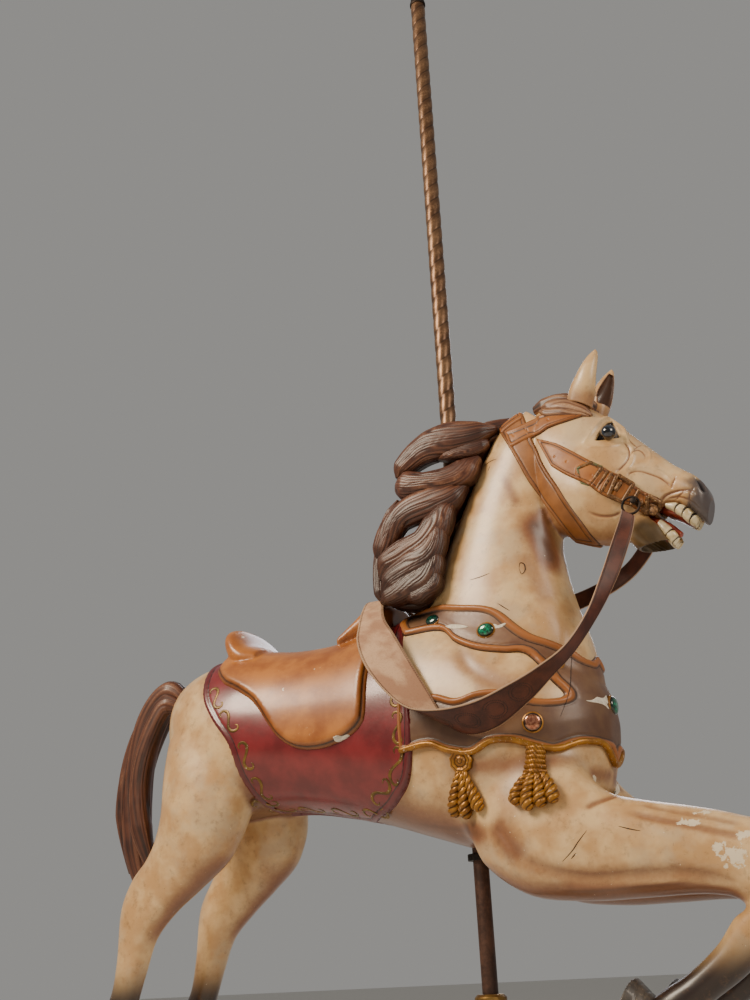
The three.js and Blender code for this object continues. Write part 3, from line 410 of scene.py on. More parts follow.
def grouped(name, layer, forms, material, slot, *nodes):
    """One piece of several forms, each with a number for each of its points, kept as `layer`."""
    made = make_piece(name, *joined([form for form, _ in forms]))
    store(made.data, layer, np.concatenate([values for _, values in forms]))
    return hand_over(made, material, slot, HORSE, *nodes)


def hand_over(made, material, slot, body, *nodes):
    """Gives a finished piece its material and its body, and hides the CAD nodes that it stands for."""
    made.data.materials.clear()
    made.data.materials.append(material)
    made.name = "fine_" + made.name.split(".")[0]
    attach(made, body)
    if nodes:
        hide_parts(*nodes)
    print(made.name, len(made.data.polygons), "faces")
    return made


print("piece tools ready")

# %% [markdown]
# ## Lines drawn over the photograph
# A ray from the camera through a pixel meets the horse where the photograph shows that pixel. So a
# line that was drawn over the photograph can be laid on the skin, and its mirror image on the side
# that is hidden.

# %% Drawn lines
def line_distance(points, line, reach):
    """How far each point is from a line of straight pieces, and where along it, from 0 to 1."""
    gap = np.full(len(points), np.inf)
    along = np.zeros(len(points))
    near = ((points > line.min(0) - reach) & (points < line.max(0) + reach)).all(1)
    index = np.where(near)[0]
    if not len(index):
        return gap, along
    p = points[index]
    best, where = np.full(len(p), np.inf), np.zeros(len(p))
    for i, (a, b) in enumerate(zip(line[:-1], line[1:])):
        step = b - a
        t = np.clip((p - a) @ step / max(step @ step, 1e-14), 0, 1)
        away = np.linalg.norm(p - a - t[:, None] * step, axis=1)
        closer = away < best
        best[closer] = away[closer]
        where[closer] = (i + t[closer]) / (len(line) - 1)
    gap[index], along[index] = best, where
    return gap, along


def seen(tree, px, py):
    """Where the camera sees a form at one pixel, and which way the form faces there."""
    return tree.ray_cast(Vector(CAMERA_AT), sight(px, py))[:2]


def lifted(tree, px, py, lift):
    """The same place in millimetres, lifted off the form by some millimetres."""
    spot, lean = seen(tree, px, py)
    return np.array(spot + lean * (lift * MM)) / MM


def thrown(pixels, tree):
    """A drawn line, thrown from the camera on to a form."""
    drawn = smooth_rows(pixels, 6 * len(pixels)) if len(pixels) > 2 else np.array(pixels)
    hits = [seen(tree, *p)[0] for p in drawn]
    return np.array([list(h) for h in hits if h is not None])


def mirrored(line):
    return line * [1, -1, 1]


def on_side(forms, side):
    """Forms of the horse's right side, or their mirror images on its left, with their values."""
    if side < 0:
        return forms
    return [((mirrored(points), walls[:, ::-1], caps[:, ::-1]), values)
            for (points, walls, caps), values in forms]


def soft_step(low, high, values):
    t = np.clip((values - low) / (high - low), 0, 1)
    return t * t * (3 - 2 * t)


print("line tools ready")

# %% [markdown]
# ## The horse's body
# The real body is one moulded shell. Here each main form, such as the barrel or a foreleg, is a
# smooth loft, and a voxel remesh melts them into one skin of small squares. Remeshing rounds
# nothing that matters at this size, and it spares the work of joining the lofts by hand. The
# stations are the same as in the CAD source, so that the skin lies where the solids are.

# %% Stations of the main forms, in millimetres
TORSO = [
    (-796, 985, -790, 905, 30),
    (-768, 1052, -760, 845, 92),
    (-712, 1092, -705, 775, 142),
    (-630, 1112, -625, 738, 172, 0, -0.05),
    (-530, 1108, -525, 742, 176, 0, -0.08),
    (-420, 1092, -420, 738, 164, 0, -0.08),
    (-310, 1090, -310, 715, 164, 0, -0.06),
    (-200, 1106, -200, 682, 170, 0, -0.06),
    (-95, 1142, -95, 646, 174, 0, -0.1),
    (10, 1140, 10, 612, 176, 0, -0.12),
    (110, 1095, 105, 596, 174, 0, -0.08),
    (205, 1040, 195, 612, 156),
    (268, 985, 252, 652, 122),
    (307, 920, 297, 704, 78),
    (324, 862, 318, 770, 34),
]
NECK = [
    (-120, 1010, 276, 800, 112),
    (-92, 1135, 304, 905, 124),
    (-48, 1225, 299, 1005, 118),
    (2, 1318, 274, 1105, 101),
    (46, 1405, 256, 1205, 86),
    (92, 1488, 256, 1292, 77),
    (142, 1556, 282, 1392, 70),
    (206, 1590, 310, 1480, 56),
]
FORELEG = [
    (235, 800, 15, 660, 70, 96),
    (298, 722, 58, 575, 78, 106),
    (345, 682, 150, 508, 74, 110),
    (410, 663, 262, 489, 66, 108),
    (490, 645, 378, 487, 59, 105),
    (566, 624, 476, 487, 54, 102),
    (632, 596, 534, 480, 56, 100),
    (672, 540, 560, 466, 54, 99),
    (660, 462, 560, 455, 44, 98),
    (606, 398, 536, 440, 36, 98),
    (545, 346, 500, 398, 31, 98),
    (482, 306, 446, 356, 31, 98),
    (424, 268, 398, 330, 37, 98),
    (382, 258, 370, 314, 33, 98),
]
HINDLEG = [
    (-530, 900, -745, 925, 80, 92),
    (-524, 800, -752, 830, 88, 100),
    (-536, 712, -752, 752, 82, 108),
    (-580, 636, -772, 700, 64, 110),
    (-656, 578, -800, 654, 48, 110),
    (-728, 530, -842, 612, 42, 108),
    (-786, 474, -872, 548, 40, 106),
    (-814, 404, -884, 440, 31, 104),
    (-838, 336, -898, 366, 29, 104),
    (-860, 282, -924, 318, 36, 104),
    (-890, 250, -940, 290, 32, 104),
]
LEFT_FORELEG = {"ahead": 20, "up": -6}
LEFT_HINDLEG_AHEAD = 70


def foreleg(side):
    """The forearm reaches forward and the cannon folds back. The left one reaches further."""
    share = np.linspace(0, 1, len(FORELEG)) * (side > 0)
    move_x, move_z = share * LEFT_FORELEG["ahead"], share * LEFT_FORELEG["up"]
    rows = np.array(FORELEG, float)
    rows[:, [0, 2]] += move_x[:, None]
    rows[:, [1, 3]] += move_z[:, None]
    rows[:, 5] *= side
    return rows.tolist()


def hindleg(side):
    """The hind leg pushes off behind. The left one is carved further forward."""
    share = np.minimum(1, np.arange(len(HINDLEG)) / 5) * (side > 0)
    rows = np.array(HINDLEG, float)
    rows[:, [0, 2]] += (share * LEFT_HINDLEG_AHEAD)[:, None]
    rows[:, 5] *= side
    return rows.tolist()


print("stations", len(TORSO) + len(NECK) + len(FORELEG) + len(HINDLEG))

# %% [markdown]
# ## The head
# The head needs finer squares than the body, because of the eyes, the lips and the carved veins.
# So it is a skin of its own, and the joint between the two lies under the throat strap.

# %% Stations of the head, in millimetres
SKULL = [
    (206, 1552, 192, 1440, 34),
    (252, 1586, 222, 1340, 66),
    (306, 1583, 258, 1276, 84, 0, -0.1),
    (360, 1556, 312, 1244, 88, 0, -0.06),
    (408, 1513, 362, 1228, 82),
    (450, 1465, 408, 1230, 65, 0, -0.04),
    (490, 1419, 456, 1262, 52),
    (527, 1377, 498, 1278, 46, 0, -0.08),
    (556, 1351, 528, 1275, 47, 0, 0.05),
    (578, 1327, 552, 1257, 48, 0, 0.08),
    (593, 1303, 568, 1238, 42),
    (599, 1278, 581, 1223, 24),
]
JAW = [
    (396, 1300, 372, 1240, 46),
    (440, 1290, 407, 1224, 43),
    (470, 1270, 427, 1201, 39),
    (487, 1246, 452, 1186, 37),
    (496, 1218, 480, 1179, 36),
    (510, 1196, 500, 1174, 33),
    (525, 1181, 517, 1170, 20),
]
MOUTH = [
    (452, 1276, 448, 1252, 20),
    (480, 1281, 474, 1240, 29),
    (505, 1279, 492, 1216, 33),
    (535, 1264, 508, 1192, 33),
    (566, 1236, 534, 1176, 26),
    (590, 1205, 560, 1160, 20),
]
BODY_SQUARE, HEAD_SQUARE = 0.0048, 0.0021


def head_skin():
    fine = {"steps": 150, "sides": 96}
    forms = [loft(SKULL, **fine), loft(JAW, steps=90, sides=72), loft(NECK[4:], steps=70, sides=80)]
    return one_skin(forms, HEAD_SQUARE, cut=[loft(MOUTH, steps=60, sides=48)])


def body_skin():
    fine = {"steps": 150, "sides": 80}
    forms = [loft(TORSO, steps=200, sides=120), loft(NECK, steps=120, sides=90)]
    forms += [loft(foreleg(1), **fine), loft(foreleg(-1), **fine)]
    forms += [loft(hindleg(1), **fine), loft(hindleg(-1), **fine)]
    forms += [loft(SKULL[1:6], steps=60, sides=60)]
    return one_skin(forms, BODY_SQUARE)


body = body_skin()
body.relax(14)
head = head_skin()
head.relax(8)
print("body", len(body.faces), "head", len(head.faces), "faces")

# %% [markdown]
# ## Colours and shader nodes
# A colour is written as the sRGB hex value that a painter would pick on a screen, and one function
# turns it into the linear values that Blender computes with. Each material is a small tree of
# nodes. One function, `add`, makes any node with its settings and links, and each pair below names
# a kind of node together with the settings that this lesson uses it with.

# %% Colours and nodes
MIX = "Mix", {"data_type": "RGBA"}
RISE = "MapRange", {"interpolation_type": "SMOOTHSTEP"}
PLUS, LESS, TIMES, TIMES_PLUS, LARGER, SIZE_OF, ROOT = (
    ("Math", {"operation": word})
    for word in ("ADD", "SUBTRACT", "MULTIPLY", "MULTIPLY_ADD", "MAXIMUM", "ABSOLUTE", "SQRT")
)
PLACE, SPLIT, MAPPING = ("TexCoord", {}), ("SeparateXYZ", {}), ("Mapping", {})
NOISE, BUMP, SHADER, OUTPUT = ("TexNoise", {}), ("Bump", {}), ("BsdfPrincipled", {}), ("OutputMaterial", {})


def linear(code):
    """An sRGB hex colour as linear red, green, blue and alpha."""
    channels = [int(code[i : i + 2], 16) / 255 for i in (1, 3, 5)]
    return tuple(c / 12.92 if c <= 0.04045 else ((c + 0.055) / 1.055) ** 2.4 for c in channels) + (1,)


def new_finish(name):
    """An empty material, as two functions: `add` makes a node, and `done` ends it with the shader."""
    material = bpy.data.materials.new(name)
    material.use_nodes = True
    tree = material.node_tree
    tree.nodes.clear()

    def put(value, socket):
        if isinstance(value, bpy.types.NodeSocket):
            tree.links.new(value, socket)
        else:
            socket.default_value = linear(value) if isinstance(value, str) else value

    def add(kind, *values, out=None, **named):
        """Fills the node's inputs in their order or by name, and returns its output."""
        node = tree.nodes.new("ShaderNode" + kind[0])
        for setting, value in kind[1].items():
            setattr(node, setting, value)
        for value, socket in zip(values, [s for s in node.inputs if s.enabled]):
            put(value, socket)
        for words, value in named.items():
            put(value, node.inputs[words.replace("_", " ")])
        return node.outputs[out] if out else next((s for s in node.outputs if s.enabled), None)

    def done(**inputs):
        add(OUTPUT, add(SHADER, **inputs))
        return material

    return add, done


def stored(name):
    """The node that reads what the mesh stores at each point under one name."""
    return "Attribute", {"attribute_name": name}


def blotches(add, size_mm, detail=4.0, roughness=0.55, stretch=(1, 1, 1)):
    """Uneven blotches about size_mm across, laid over Object coordinates."""
    scales = tuple(1000 / size_mm * s for s in stretch)
    place = add(MAPPING, add(PLACE, out="Object"), Scale=scales)
    return add(NOISE, place, 1.0, detail, roughness)


print("shader helpers ready")

# %% [markdown]
# ## Pearl enamel
# The horse is sprayed with cream pearl enamel, airbrushed with tan, and sealed with a gloss lacquer
# that has crazed and worn through on the knees. The tan that lies in every hollow, in the grooves
# and under the belly stands both for that airbrushing and for painted shade, and `dark` holds
# painted shade in the eye sockets, the nostrils, the ear hollows and under the mane, as well as the
# dark paint of the lower legs. What was painted on the mesh, such as `tan`, `dark` and `worn`,
# steers where each colour lies, and noise breaks up its edge. The lacquer is the shader's coat,
# which is glossier than the enamel below.

# %% Pearl enamel
def pearl_enamel():
    add, done = new_finish("pearl_enamel")
    cloud = blotches(add, 60, 3)
    fine = blotches(add, 9, 5, 0.6)
    cream = add(MIX, add(RISE, cloud, 0.35, 0.7), "#bd925f", "#d9b784")
    faded = add(RISE, blotches(add, 110, 4, 0.6), 0.5, 0.66)
    cream = add(MIX, add(TIMES, faded, 0.55), cream, "#bfa988")
    # tan stands for the airbrushing and also for painted shade in hollows, in grooves and under the belly
    tan = add(stored("tan"), out="Fac")
    tan_edge = add(PLUS, tan, add(TIMES_PLUS, fine, 0.22, -0.11))
    warm = add(MIX, add(RISE, tan_edge, 0.05, 0.75), cream, "#855636")
    deeper = add(MIX, add(RISE, tan_edge, 0.6, 1.15), warm, "#4c2e1d")
    chin = add(TIMES, add(stored("chin"), out="Fac"), 0.95)
    olive = add(MIX, chin, deeper, add(MIX, add(RISE, cloud, 0.3, 0.7), "#33260f", "#4d3a1c"))
    muzzle = add(stored("muzzle"), out="Fac")
    patchy = add(TIMES_PLUS, fine, 0.3, -0.15)
    grey = add(MIX, add(RISE, add(PLUS, muzzle, patchy), 0.15, 0.85), olive, "#4a4140")
    gum = add(MIX, add(RISE, fine, 0.3, 0.7), "#7d1f10", "#a33a1c")
    lined = add(MIX, add(stored("gum"), out="Fac"), grey, gum)
    # dark holds painted shade in sockets, nostrils, ear hollows and under the mane, and the dark paint of
    # the lower legs
    dark = add(stored("dark"), out="Fac")
    deep = add(MIX, add(RISE, dark, 0.05, 0.8), lined, "#22130d")
    grime = add(TIMES, add(RISE, blotches(add, 22, 6, 0.7), 0.52, 0.76), 0.5)
    soiled = add(MIX, grime, deep, "#6f4d2c")
    specks = add(TIMES, add(RISE, blotches(add, 3.4, 3, 0.5), 0.7, 0.76), 0.6)
    soiled = add(MIX, specks, soiled, "#3e2716")
    nicks = add(TIMES, add(RISE, blotches(add, 8, 5, 0.6), 0.715, 0.73), 0.8)
    soiled = add(MIX, nicks, soiled, "#e3d4b8")
    ragged = blotches(add, 13, 8, 0.72)
    chips = add(PLUS, add(stored("worn"), out="Fac"), add(TIMES_PLUS, ragged, 3.0, -1.5))
    bare = add(RISE, chips, 0.62, 0.7)
    colour = add(MIX, bare, soiled, "#dcccae")
    rough = add(TIMES_PLUS, bare, 0.25, 0.34)
    relief = add(BUMP, Height=blotches(add, 34, 2), Distance=1.2 * MM, Strength=0.35)
    return done(Base_Color=colour, Roughness=add(TIMES_PLUS, cloud, 0.12, rough), Coat_Weight=0.4,
                Coat_Roughness=0.24, Normal=add(BUMP, Height=add(TIMES, bare, -1.0), Distance=0.35 * MM,
                                                Strength=0.6, Normal=relief))


PEARL = pearl_enamel()

# %% [markdown]
# ## Light and floor
# Soft studio light: one broad lamp high on the camera's left, a weaker one on the right, and a
# pale surround that fills the shadows. The floor is plain, and isn't part of the object.

# %% Studio
def mottled(name, size_mm, deep, light, rough):
    """A plain matt finish whose colour wavers a little from place to place."""
    add, done = new_finish(name)
    return done(Base_Color=add(MIX, blotches(add, size_mm, 3), deep, light), Roughness=rough)


def lamp(name, place, aim, size, watts, colour):
    data = bpy.data.lights.new(name, "AREA")
    data.size = size
    data.energy = watts
    data.color = linear(colour)[:3]
    made = bpy.data.objects.new(name, data)
    toward = Vector(aim) - Vector(place)
    made.matrix_world = Matrix.Translation(place) @ toward.to_track_quat("-Z", "Y").to_matrix().to_4x4()
    bpy.context.scene.collection.objects.link(made)


FLOOR_REACH = 150


def studio():
    lamp("key_light", (-1.9, -3.0, 3.6), (0.1, 0, 1.1), 1.5, 225, "#ffedd4")
    lamp("front_light", (3.2, -1.4, 2.4), (0.2, 0, 1.1), 1.4, 60, "#fff1e0")
    lamp("back_light", (-1.0, 3.4, 3.0), (0, 0, 1.2), 2.0, 60, "#f2f5ff")
    world = bpy.data.worlds.new("studio")
    bpy.context.scene.world = world
    world.use_nodes = True
    world.node_tree.nodes["Background"].inputs["Color"].default_value = linear("#d8d6d2")
    world.node_tree.nodes["Background"].inputs["Strength"].default_value = 0.42
    corners = np.array([[-1, -1, 0], [1, -1, 0], [1, 1, 0], [-1, 1, 0]]) * FLOOR_REACH
    floor = make_piece("studio_floor", corners, [[0, 1, 2, 3]])
    floor.data.materials.append(mottled("matt_floor_paint", 400, "#cfccc6", "#d6d3cd", 0.8))
    floor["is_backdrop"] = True


studio()

# %% [markdown]
# ## Carving the head
# A carver cuts eyelids, veins and wrinkles into the rough head. Here each of them is a line that
# was drawn over the photograph and is thrown from the camera on to the skin. Points near the line
# sink or rise, and the same is done on the other side of the head, which the photograph hides.

# %% Carving tools
def along_both(tree, pixels):
    """A drawn line as it lies on the horse's right side, and the same line on its left."""
    line = thrown(pixels, tree)
    return [line, mirrored(line)]


def near_line(form, lines, wide, fade=7.0):
    """1 on a set of lines, falling to 0 about `wide` millimetres away and at both ends."""
    total = np.zeros(len(form.points))
    for line in lines:
        gap, along = line_distance(form.points, line, 3 * wide * MM)
        ends = np.clip(np.minimum(along, 1 - along) * fade, 0, 1) ** 0.7 if fade else 1.0
        total = np.maximum(total, np.exp(-((gap / (wide * MM)) ** 2)) * ends)
    return total


def near_spot(form, tree, px, py, wide, tall):
    """1 at a pixel of the photograph and at its mirror image, falling to 0 further away."""
    hit, _ = seen(tree, px, py)
    total = np.zeros(len(form.points))
    if hit is None:
        return total
    for side in (1, -1):
        away = (form.points - np.array([hit.x, hit.y * side, hit.z])) / MM
        total += np.exp(-((away / [wide, wide, tall]) ** 2).sum(1))
    return np.minimum(total, 1)


def inside_outline(points, outline):
    """Whether each flat point lies in a closed outline."""
    x, y = points[:, 0], points[:, 1]
    inside = np.zeros(len(points), bool)
    for a, b in zip(outline, np.roll(outline, -1, axis=0)):
        crosses = (a[1] > y) != (b[1] > y)
        slope = (b[0] - a[0]) / ((b[1] - a[1]) or 1e-12)
        inside ^= crosses & (x < a[0] + slope * (y - a[1]))
    return inside


def add_paint(form, name, amount):
    """Lays more of one paint on a form, and keeps what is there already."""
    before = form.paint.get(name, np.zeros(len(form.points)))
    form.paint[name] = np.clip(np.maximum(before, amount), 0, 1)


def melt(form, times, share):
    """Plain smoothing, which fills creases and wears edges down."""
    for _ in range(times):
        form.points += 0.6 * share[:, None] * (form.averaged(form.points) - form.points)


def soft_box(form, low, high, fade=40):
    """1 inside a box in millimetres on both sides of the horse, falling to 0 outside it."""
    place = form.points / MM
    place[:, 1] = np.abs(place[:, 1])
    inside = np.ones(len(place))
    for axis in range(3):
        inside *= soft_step(low[axis] - fade, low[axis], place[:, axis])
        inside *= 1 - soft_step(high[axis], high[axis] + fade, place[:, axis])
    return inside


print("carving tools ready")

# %% Eyes, brows and cheeks
EYE_AT, EYE_RADIUS = (412, 71, 1459), 17
EYE_RIM = [(593.5, 440.5), (598, 433), (602, 426), (608, 420.5), (614, 422.5), (619, 430), (620.5, 437),
           (614, 438.6), (606, 439.8), (599, 440.8)]
BROW = [(583, 444), (592, 431), (600, 421.5), (609, 417.5), (617, 420), (623, 428), (626, 438), (629, 443)]
BROW_HIGH, SOCKET_DEEP = 4.5, 13
SWELLS = {"cheek": (7, 584, 492, 46, 40), "forehead": (5, 611, 419, 24, 16),
          "beside the nose": (-3, 640, 462, 26, 20)}
head_tree = head.tree()
for high, px, py, wide, tall in SWELLS.values():
    head.push(high * near_spot(head, head_tree, px, py, wide, tall))
head.push(BROW_HIGH * near_line(head, along_both(head_tree, BROW), 5.5, 5))
socket = np.zeros(len(head.points))
for rim in along_both(head_tree, EYE_RIM + EYE_RIM[:1]):
    gap, _ = line_distance(head.points, rim, 0.05)
    same_side = head.points[:, 1] * rim[0, 1] > 0
    within = inside_outline(head.points[:, [0, 2]], rim[:, [0, 2]]) & same_side
    socket += within * soft_step(0, 8 * MM, np.where(np.isfinite(gap), gap, 1))
head.push(-SOCKET_DEEP * socket)
# The sunken socket round the eye is painted dark: painted shade in the recess.
add_paint(head, "dark", 1.1 * soft_step(0.12, 0.6, socket))

# %% Veins, wrinkles and the muzzle
GROOVES = {
    "round the cheek": ([(622, 441), (628, 447), (629.5, 454), (627, 461), (621, 468), (616, 472)], 2.4,
                        2.6),
    "before the eye": ([(620, 428), (627, 437), (632, 443), (638, 448)], 1.8, 1.8),
    "loop": ([(630, 455), (635, 450.5), (641, 451), (645, 456), (643, 462), (637, 465)], 2.0, 2.0),
    "long wrinkle": ([(627, 476), (632, 472), (640, 471), (650, 474), (660, 478), (667, 483), (672, 488)],
                     2.2, 3.0),
    "short wrinkle": ([(671, 489), (672.5, 483), (676, 476)], 1.8, 2.6),
    "small wrinkle": ([(633, 450), (640, 446), (648, 447)], 1.6, 1.5),
    "lip fold": ([(660, 503), (666, 496), (676, 492), (688, 490), (696, 494)], 3.2, 3.0),
    "upper lip": ([(668, 499), (680, 497), (692, 502), (702, 512)], 2.4, 1.6),
    "muzzle crease": ([(676, 500), (680, 495), (686, 490)], 2.0, 2.0),
    "nostril fold": ([(691, 511), (689, 502), (690, 493), (695, 486)], 2.2, 2.2),
    "jaw edge": ([(588, 512), (600, 516), (612, 516), (622, 512)], 3.0, 2.0),
    "chin crease": ([(637, 528), (643, 537), (652, 545), (664, 549)], 2.6, 1.6),
}
VEINS = {
    "cheek": ([(625, 441), (632, 448), (633.5, 456), (631, 464), (625, 471)], 3.0, 2.4),
    "nose": ([(634, 448), (641, 446), (649, 451), (650, 460), (644, 468)], 2.6, 1.8),
    "over wrinkle": ([(630, 470), (640, 466), (652, 468), (664, 474), (673, 482)], 3.4, 2.4),
    "lid": ([(587, 447), (598, 446.5), (610, 446), (621, 444)], 2.2, 1.6),
}
# Each groove is sunk and laid with tan: airbrushing, and painted shade in the groove.
for pixels, wide, deep in GROOVES.values():
    groove = near_line(head, along_both(head_tree, pixels), wide)
    head.push(-deep * groove)
    add_paint(head, "tan", 0.75 * groove)
for pixels, wide, high in VEINS.values():
    head.push(high * near_line(head, along_both(head_tree, pixels), wide))

NOSTRIL = along_both(head_tree, [(696, 477.5), (699, 481), (701.5, 485), (703.5, 489)])
opening = near_line(head, NOSTRIL, 6.5, 0)
head.push(4.5 * near_line(head, NOSTRIL, 14, 0) - 16 * opening)
# The nostril's opening is painted dark: painted shade in the hole.
add_paint(head, "dark", 1.3 * soft_step(0.3, 0.75, opening))

LIP_EDGE = np.array([(494, 42, 1276), (510, 43, 1280), (527, 42, 1277), (547, 42, 1266), (562, 40, 1250),
                     (574, 34, 1232), (582, 24, 1219)]) * MM
lip = near_line(head, [LIP_EDGE, mirrored(LIP_EDGE)], 6)
head.push(2.2 * lip)
melt(head, 40, soft_box(head, (440, 0, 1110), (620, 90, 1215), 25))
x, y, z = (head.points / MM).T
toward_lips = (x - 520) * 0.75 - (z - 1300) * 0.35
grey = soft_step(-8, 66, toward_lips + 6 * np.sin(z / 9)) * (z > 1215)
upper_jaw = soft_step(-6, 6, (z - 1283) + (x - 500) * 0.72)
head.paint["muzzle"] = np.clip(grey * upper_jaw, 0, 1)
chin = soft_step(385, 440, x) * soft_step(1275, 1240, z) * (1 - upper_jaw)
head.paint["chin"] = np.clip(chin, 0, 1)
# Tan in the hollows and on the faces that look down: airbrushing, and painted shade.
add_paint(head, "tan", soft_step(0.8, 5, head.hollowness(30)))
add_paint(head, "tan", 0.55 * soft_step(0.25, 0.95, -head.normals()[:, 2]))
head.paint["worn"] = np.zeros(len(head.points))
mouth_tree = tree_of(loft(MOUTH, steps=60, sides=48))
MOUTH_MIDDLE, MOUTH_REACH = 520, 90
near_mouth = np.abs(head.points[:, 0] / MM - MOUTH_MIDDLE) < MOUTH_REACH
to_mouth = np.ones(len(head.points))
to_mouth[near_mouth] = [mouth_tree.find_nearest(p)[3] for p in head.points[near_mouth].tolist()]
head.paint["gum"] = 1 - soft_step(1.5, 4.5, to_mouth / MM)
head.paint["dark"] *= 1 - head.paint["gum"]
print("head carved")

# %% [markdown]
# ## Carving the body
# The shoulder flows into the foreleg without a seam on the real shell, so the crease that the
# remesh left there is melted away first. Then the long grooves of the forearm, the folds at the
# elbow and the muscles of the neck are cut, and tan is laid where it shows, both as the airbrushing
# and as painted shade in the grooves, the hollows and under the belly.

# %% Carve the body
melt(body, 70, soft_box(body, (0, 70, 610), (320, 260, 830)))
melt(body, 50, soft_box(body, (-760, 70, 680), (-480, 260, 900)))
melt(body, 25, soft_box(body, (-60, 0, 1020), (260, 220, 1250)))
body_tree = body.tree()
BODY_GROOVES = {
    "under the forearm": ([(512, 850), (526, 862), (558, 873), (590, 878), (635, 875), (680, 873),
                           (712, 877), (738, 885)],
                          11, 4.5, 0.5),
    "forearm top": ([(635, 803), (671, 811), (706, 817), (748, 826)], 3.4, 2.6, 0.5),
    "forearm second": ([(622, 811), (655, 819), (687, 825), (719, 832), (748, 838)], 4.0, 3.0, 0.6),
    "forearm third": ([(650, 812), (690, 819), (730, 827)], 2.6, 1.8, 0.3),
    "chest fold": ([(619, 795), (607, 799), (596, 803), (584, 809)], 3.0, 3.0, 0.7),
    "elbow fold": ([(497, 826), (505, 838), (514, 849), (526, 862)], 9, 3.5, 0.45),
    "elbow wrinkle": ([(483, 826), (492, 836), (500, 850), (512, 866)], 7, 1.8, 0.3),
    "neck muscle": ([(524, 548), (530, 566), (541, 586), (552, 604)], 16, 1.2, 0.4),
    "jaw shadow": ([(531, 522), (541, 534), (552, 546), (563, 552)], 12, 0.8, 0.5),
    "shoulder": ([(455, 640), (470, 668), (500, 684), (540, 690)], 14, 2.0, 0.45),
}
BODY_RIDGES = {
    "lower forearm": ([(560, 889), (600, 888), (640, 884), (690, 880)], 6, 2.4),
    "between grooves": ([(640, 808), (680, 817), (720, 825), (748, 832)], 3, 1.8),
}
# Each groove is sunk and laid with tan on a wider band: airbrushing, and painted shade in the groove.
for pixels, wide, deep, tan in BODY_GROOVES.values():
    groove = near_line(body, along_both(body_tree, pixels), wide)
    body.push(-deep * groove)
    add_paint(body, "tan", tan * near_line(body, along_both(body_tree, pixels), 2.4 * wide))
for pixels, wide, high in BODY_RIDGES.values():
    body.push(high * near_line(body, along_both(body_tree, pixels), wide))
body.relax(3)

# %% Airbrush and painted shade on the body
# Tan along drawn lines. Mostly it is the airbrushing, but behind the jaw, along the mane and above the
# tassels it is also painted shadow of the head, the mane and the tassels, and at the elbow, the throat and
# the belly painted shade in the folds.
TAN_LINES = {
    "forearm band": ([(545, 872), (580, 876), (630, 875), (690, 872)], 26, 0.5),
    "under the band": ([(545, 884), (580, 889), (630, 889), (700, 886)], 22, 0.7),
    "elbow": ([(489, 818), (500, 832), (512, 848), (530, 866)], 34, 0.7),
    "behind the jaw": ([(528, 508), (538, 530), (548, 552), (557, 580)], 42, 1.0),
    "tan spot": ([(499, 470), (507, 484), (514, 498), (520, 508)], 15, 0.55),
    "throat": ([(538, 505), (552, 530)], 30, 0.7),
    "along the mane": ([(497, 440), (470, 480), (455, 520), (447, 562), (441, 598)], 16, 0.5),
    "above the tassels": ([(430, 760), (480, 766), (540, 762), (600, 756)], 26, 0.6),
    "chest edge": ([(612, 770), (617, 784), (620, 794)], 20, 0.6),
    "belly": ([(400, 822), (430, 826), (470, 832), (492, 838)], 26, 0.85),
}
for pixels, wide, amount in TAN_LINES.values():
    add_paint(body, "tan", amount * near_line(body, along_both(body_tree, pixels), wide, 4))
# Tan in the broad hollows and on every face that looks down: airbrushing, and painted shade.
add_paint(body, "tan", 0.9 * soft_step(1.5, 9, body.hollowness(60)))
add_paint(body, "tan", 0.85 * soft_step(0.15, 0.95, -body.normals()[:, 2]))
x, y, z = (body.points / MM).T
add_paint(body, "dark", 0.9 * (1 - soft_step(300, 470, z)))
# Near black on the withers between the mane and the saddle: painted shadow under the mane.
add_paint(body, "dark",
          0.85 * soft_step(1105, 1150, z) * soft_step(-260, -210, x) * (1 - soft_step(-90, -40, x)))
WORN_SPOTS = [(733, 856, 34, 24), (718, 848, 18, 12), (690, 822, 26, 8), (745, 834, 20, 10),
              (617, 788, 12, 14), (703, 812, 22, 6)]
worn = np.zeros(len(body.points))
for px, py, wide, tall in WORN_SPOTS:
    worn = np.maximum(worn, near_spot(body, body_tree, px, py, wide, tall))
body.paint["worn"] = np.clip(worn, 0, 1)
for blank in ("muzzle", "chin", "gum"):
    body.paint[blank] = np.zeros(len(body.points))
print("body carved")

# %% [markdown]
# ## Harness in relief
# The straps, the collar and the saddle cloth are moulded on the horse in low relief. Each is cut
# out as a flat pattern, like paper, and the pattern is wrapped round the horse: every point of a
# fine grid is thrown on to the skin along its own line, and then lifted by the height of the
# relief there. The border points are pulled on to the outline, so that edges stay crisp. What the
# pattern knows about each point, such as its distance to the edge, stays on the mesh as `layout`,
# and the materials draw piping, grooves and wear with it.

# %% Patterns and panels
# Rays toward the horse start this far from its middle, or from a pattern's axis, in metres.
BESIDE, AROUND = 0.6, 0.7


class SidePattern:
    """A pattern laid flat on one side of the horse, with x and z in millimetres."""

    def __init__(self, form, side):
        self.form, self.side, self.tree = form, side, form.tree()

    def rays(self, flat):
        starts = np.stack([flat[:, 0] * MM, np.full(len(flat), self.side * BESIDE), flat[:, 1] * MM], 1)
        return starts, np.broadcast_to([0.0, -self.side, 0.0], starts.shape)

    def flat(self, points):
        return points[:, [0, 2]] / MM


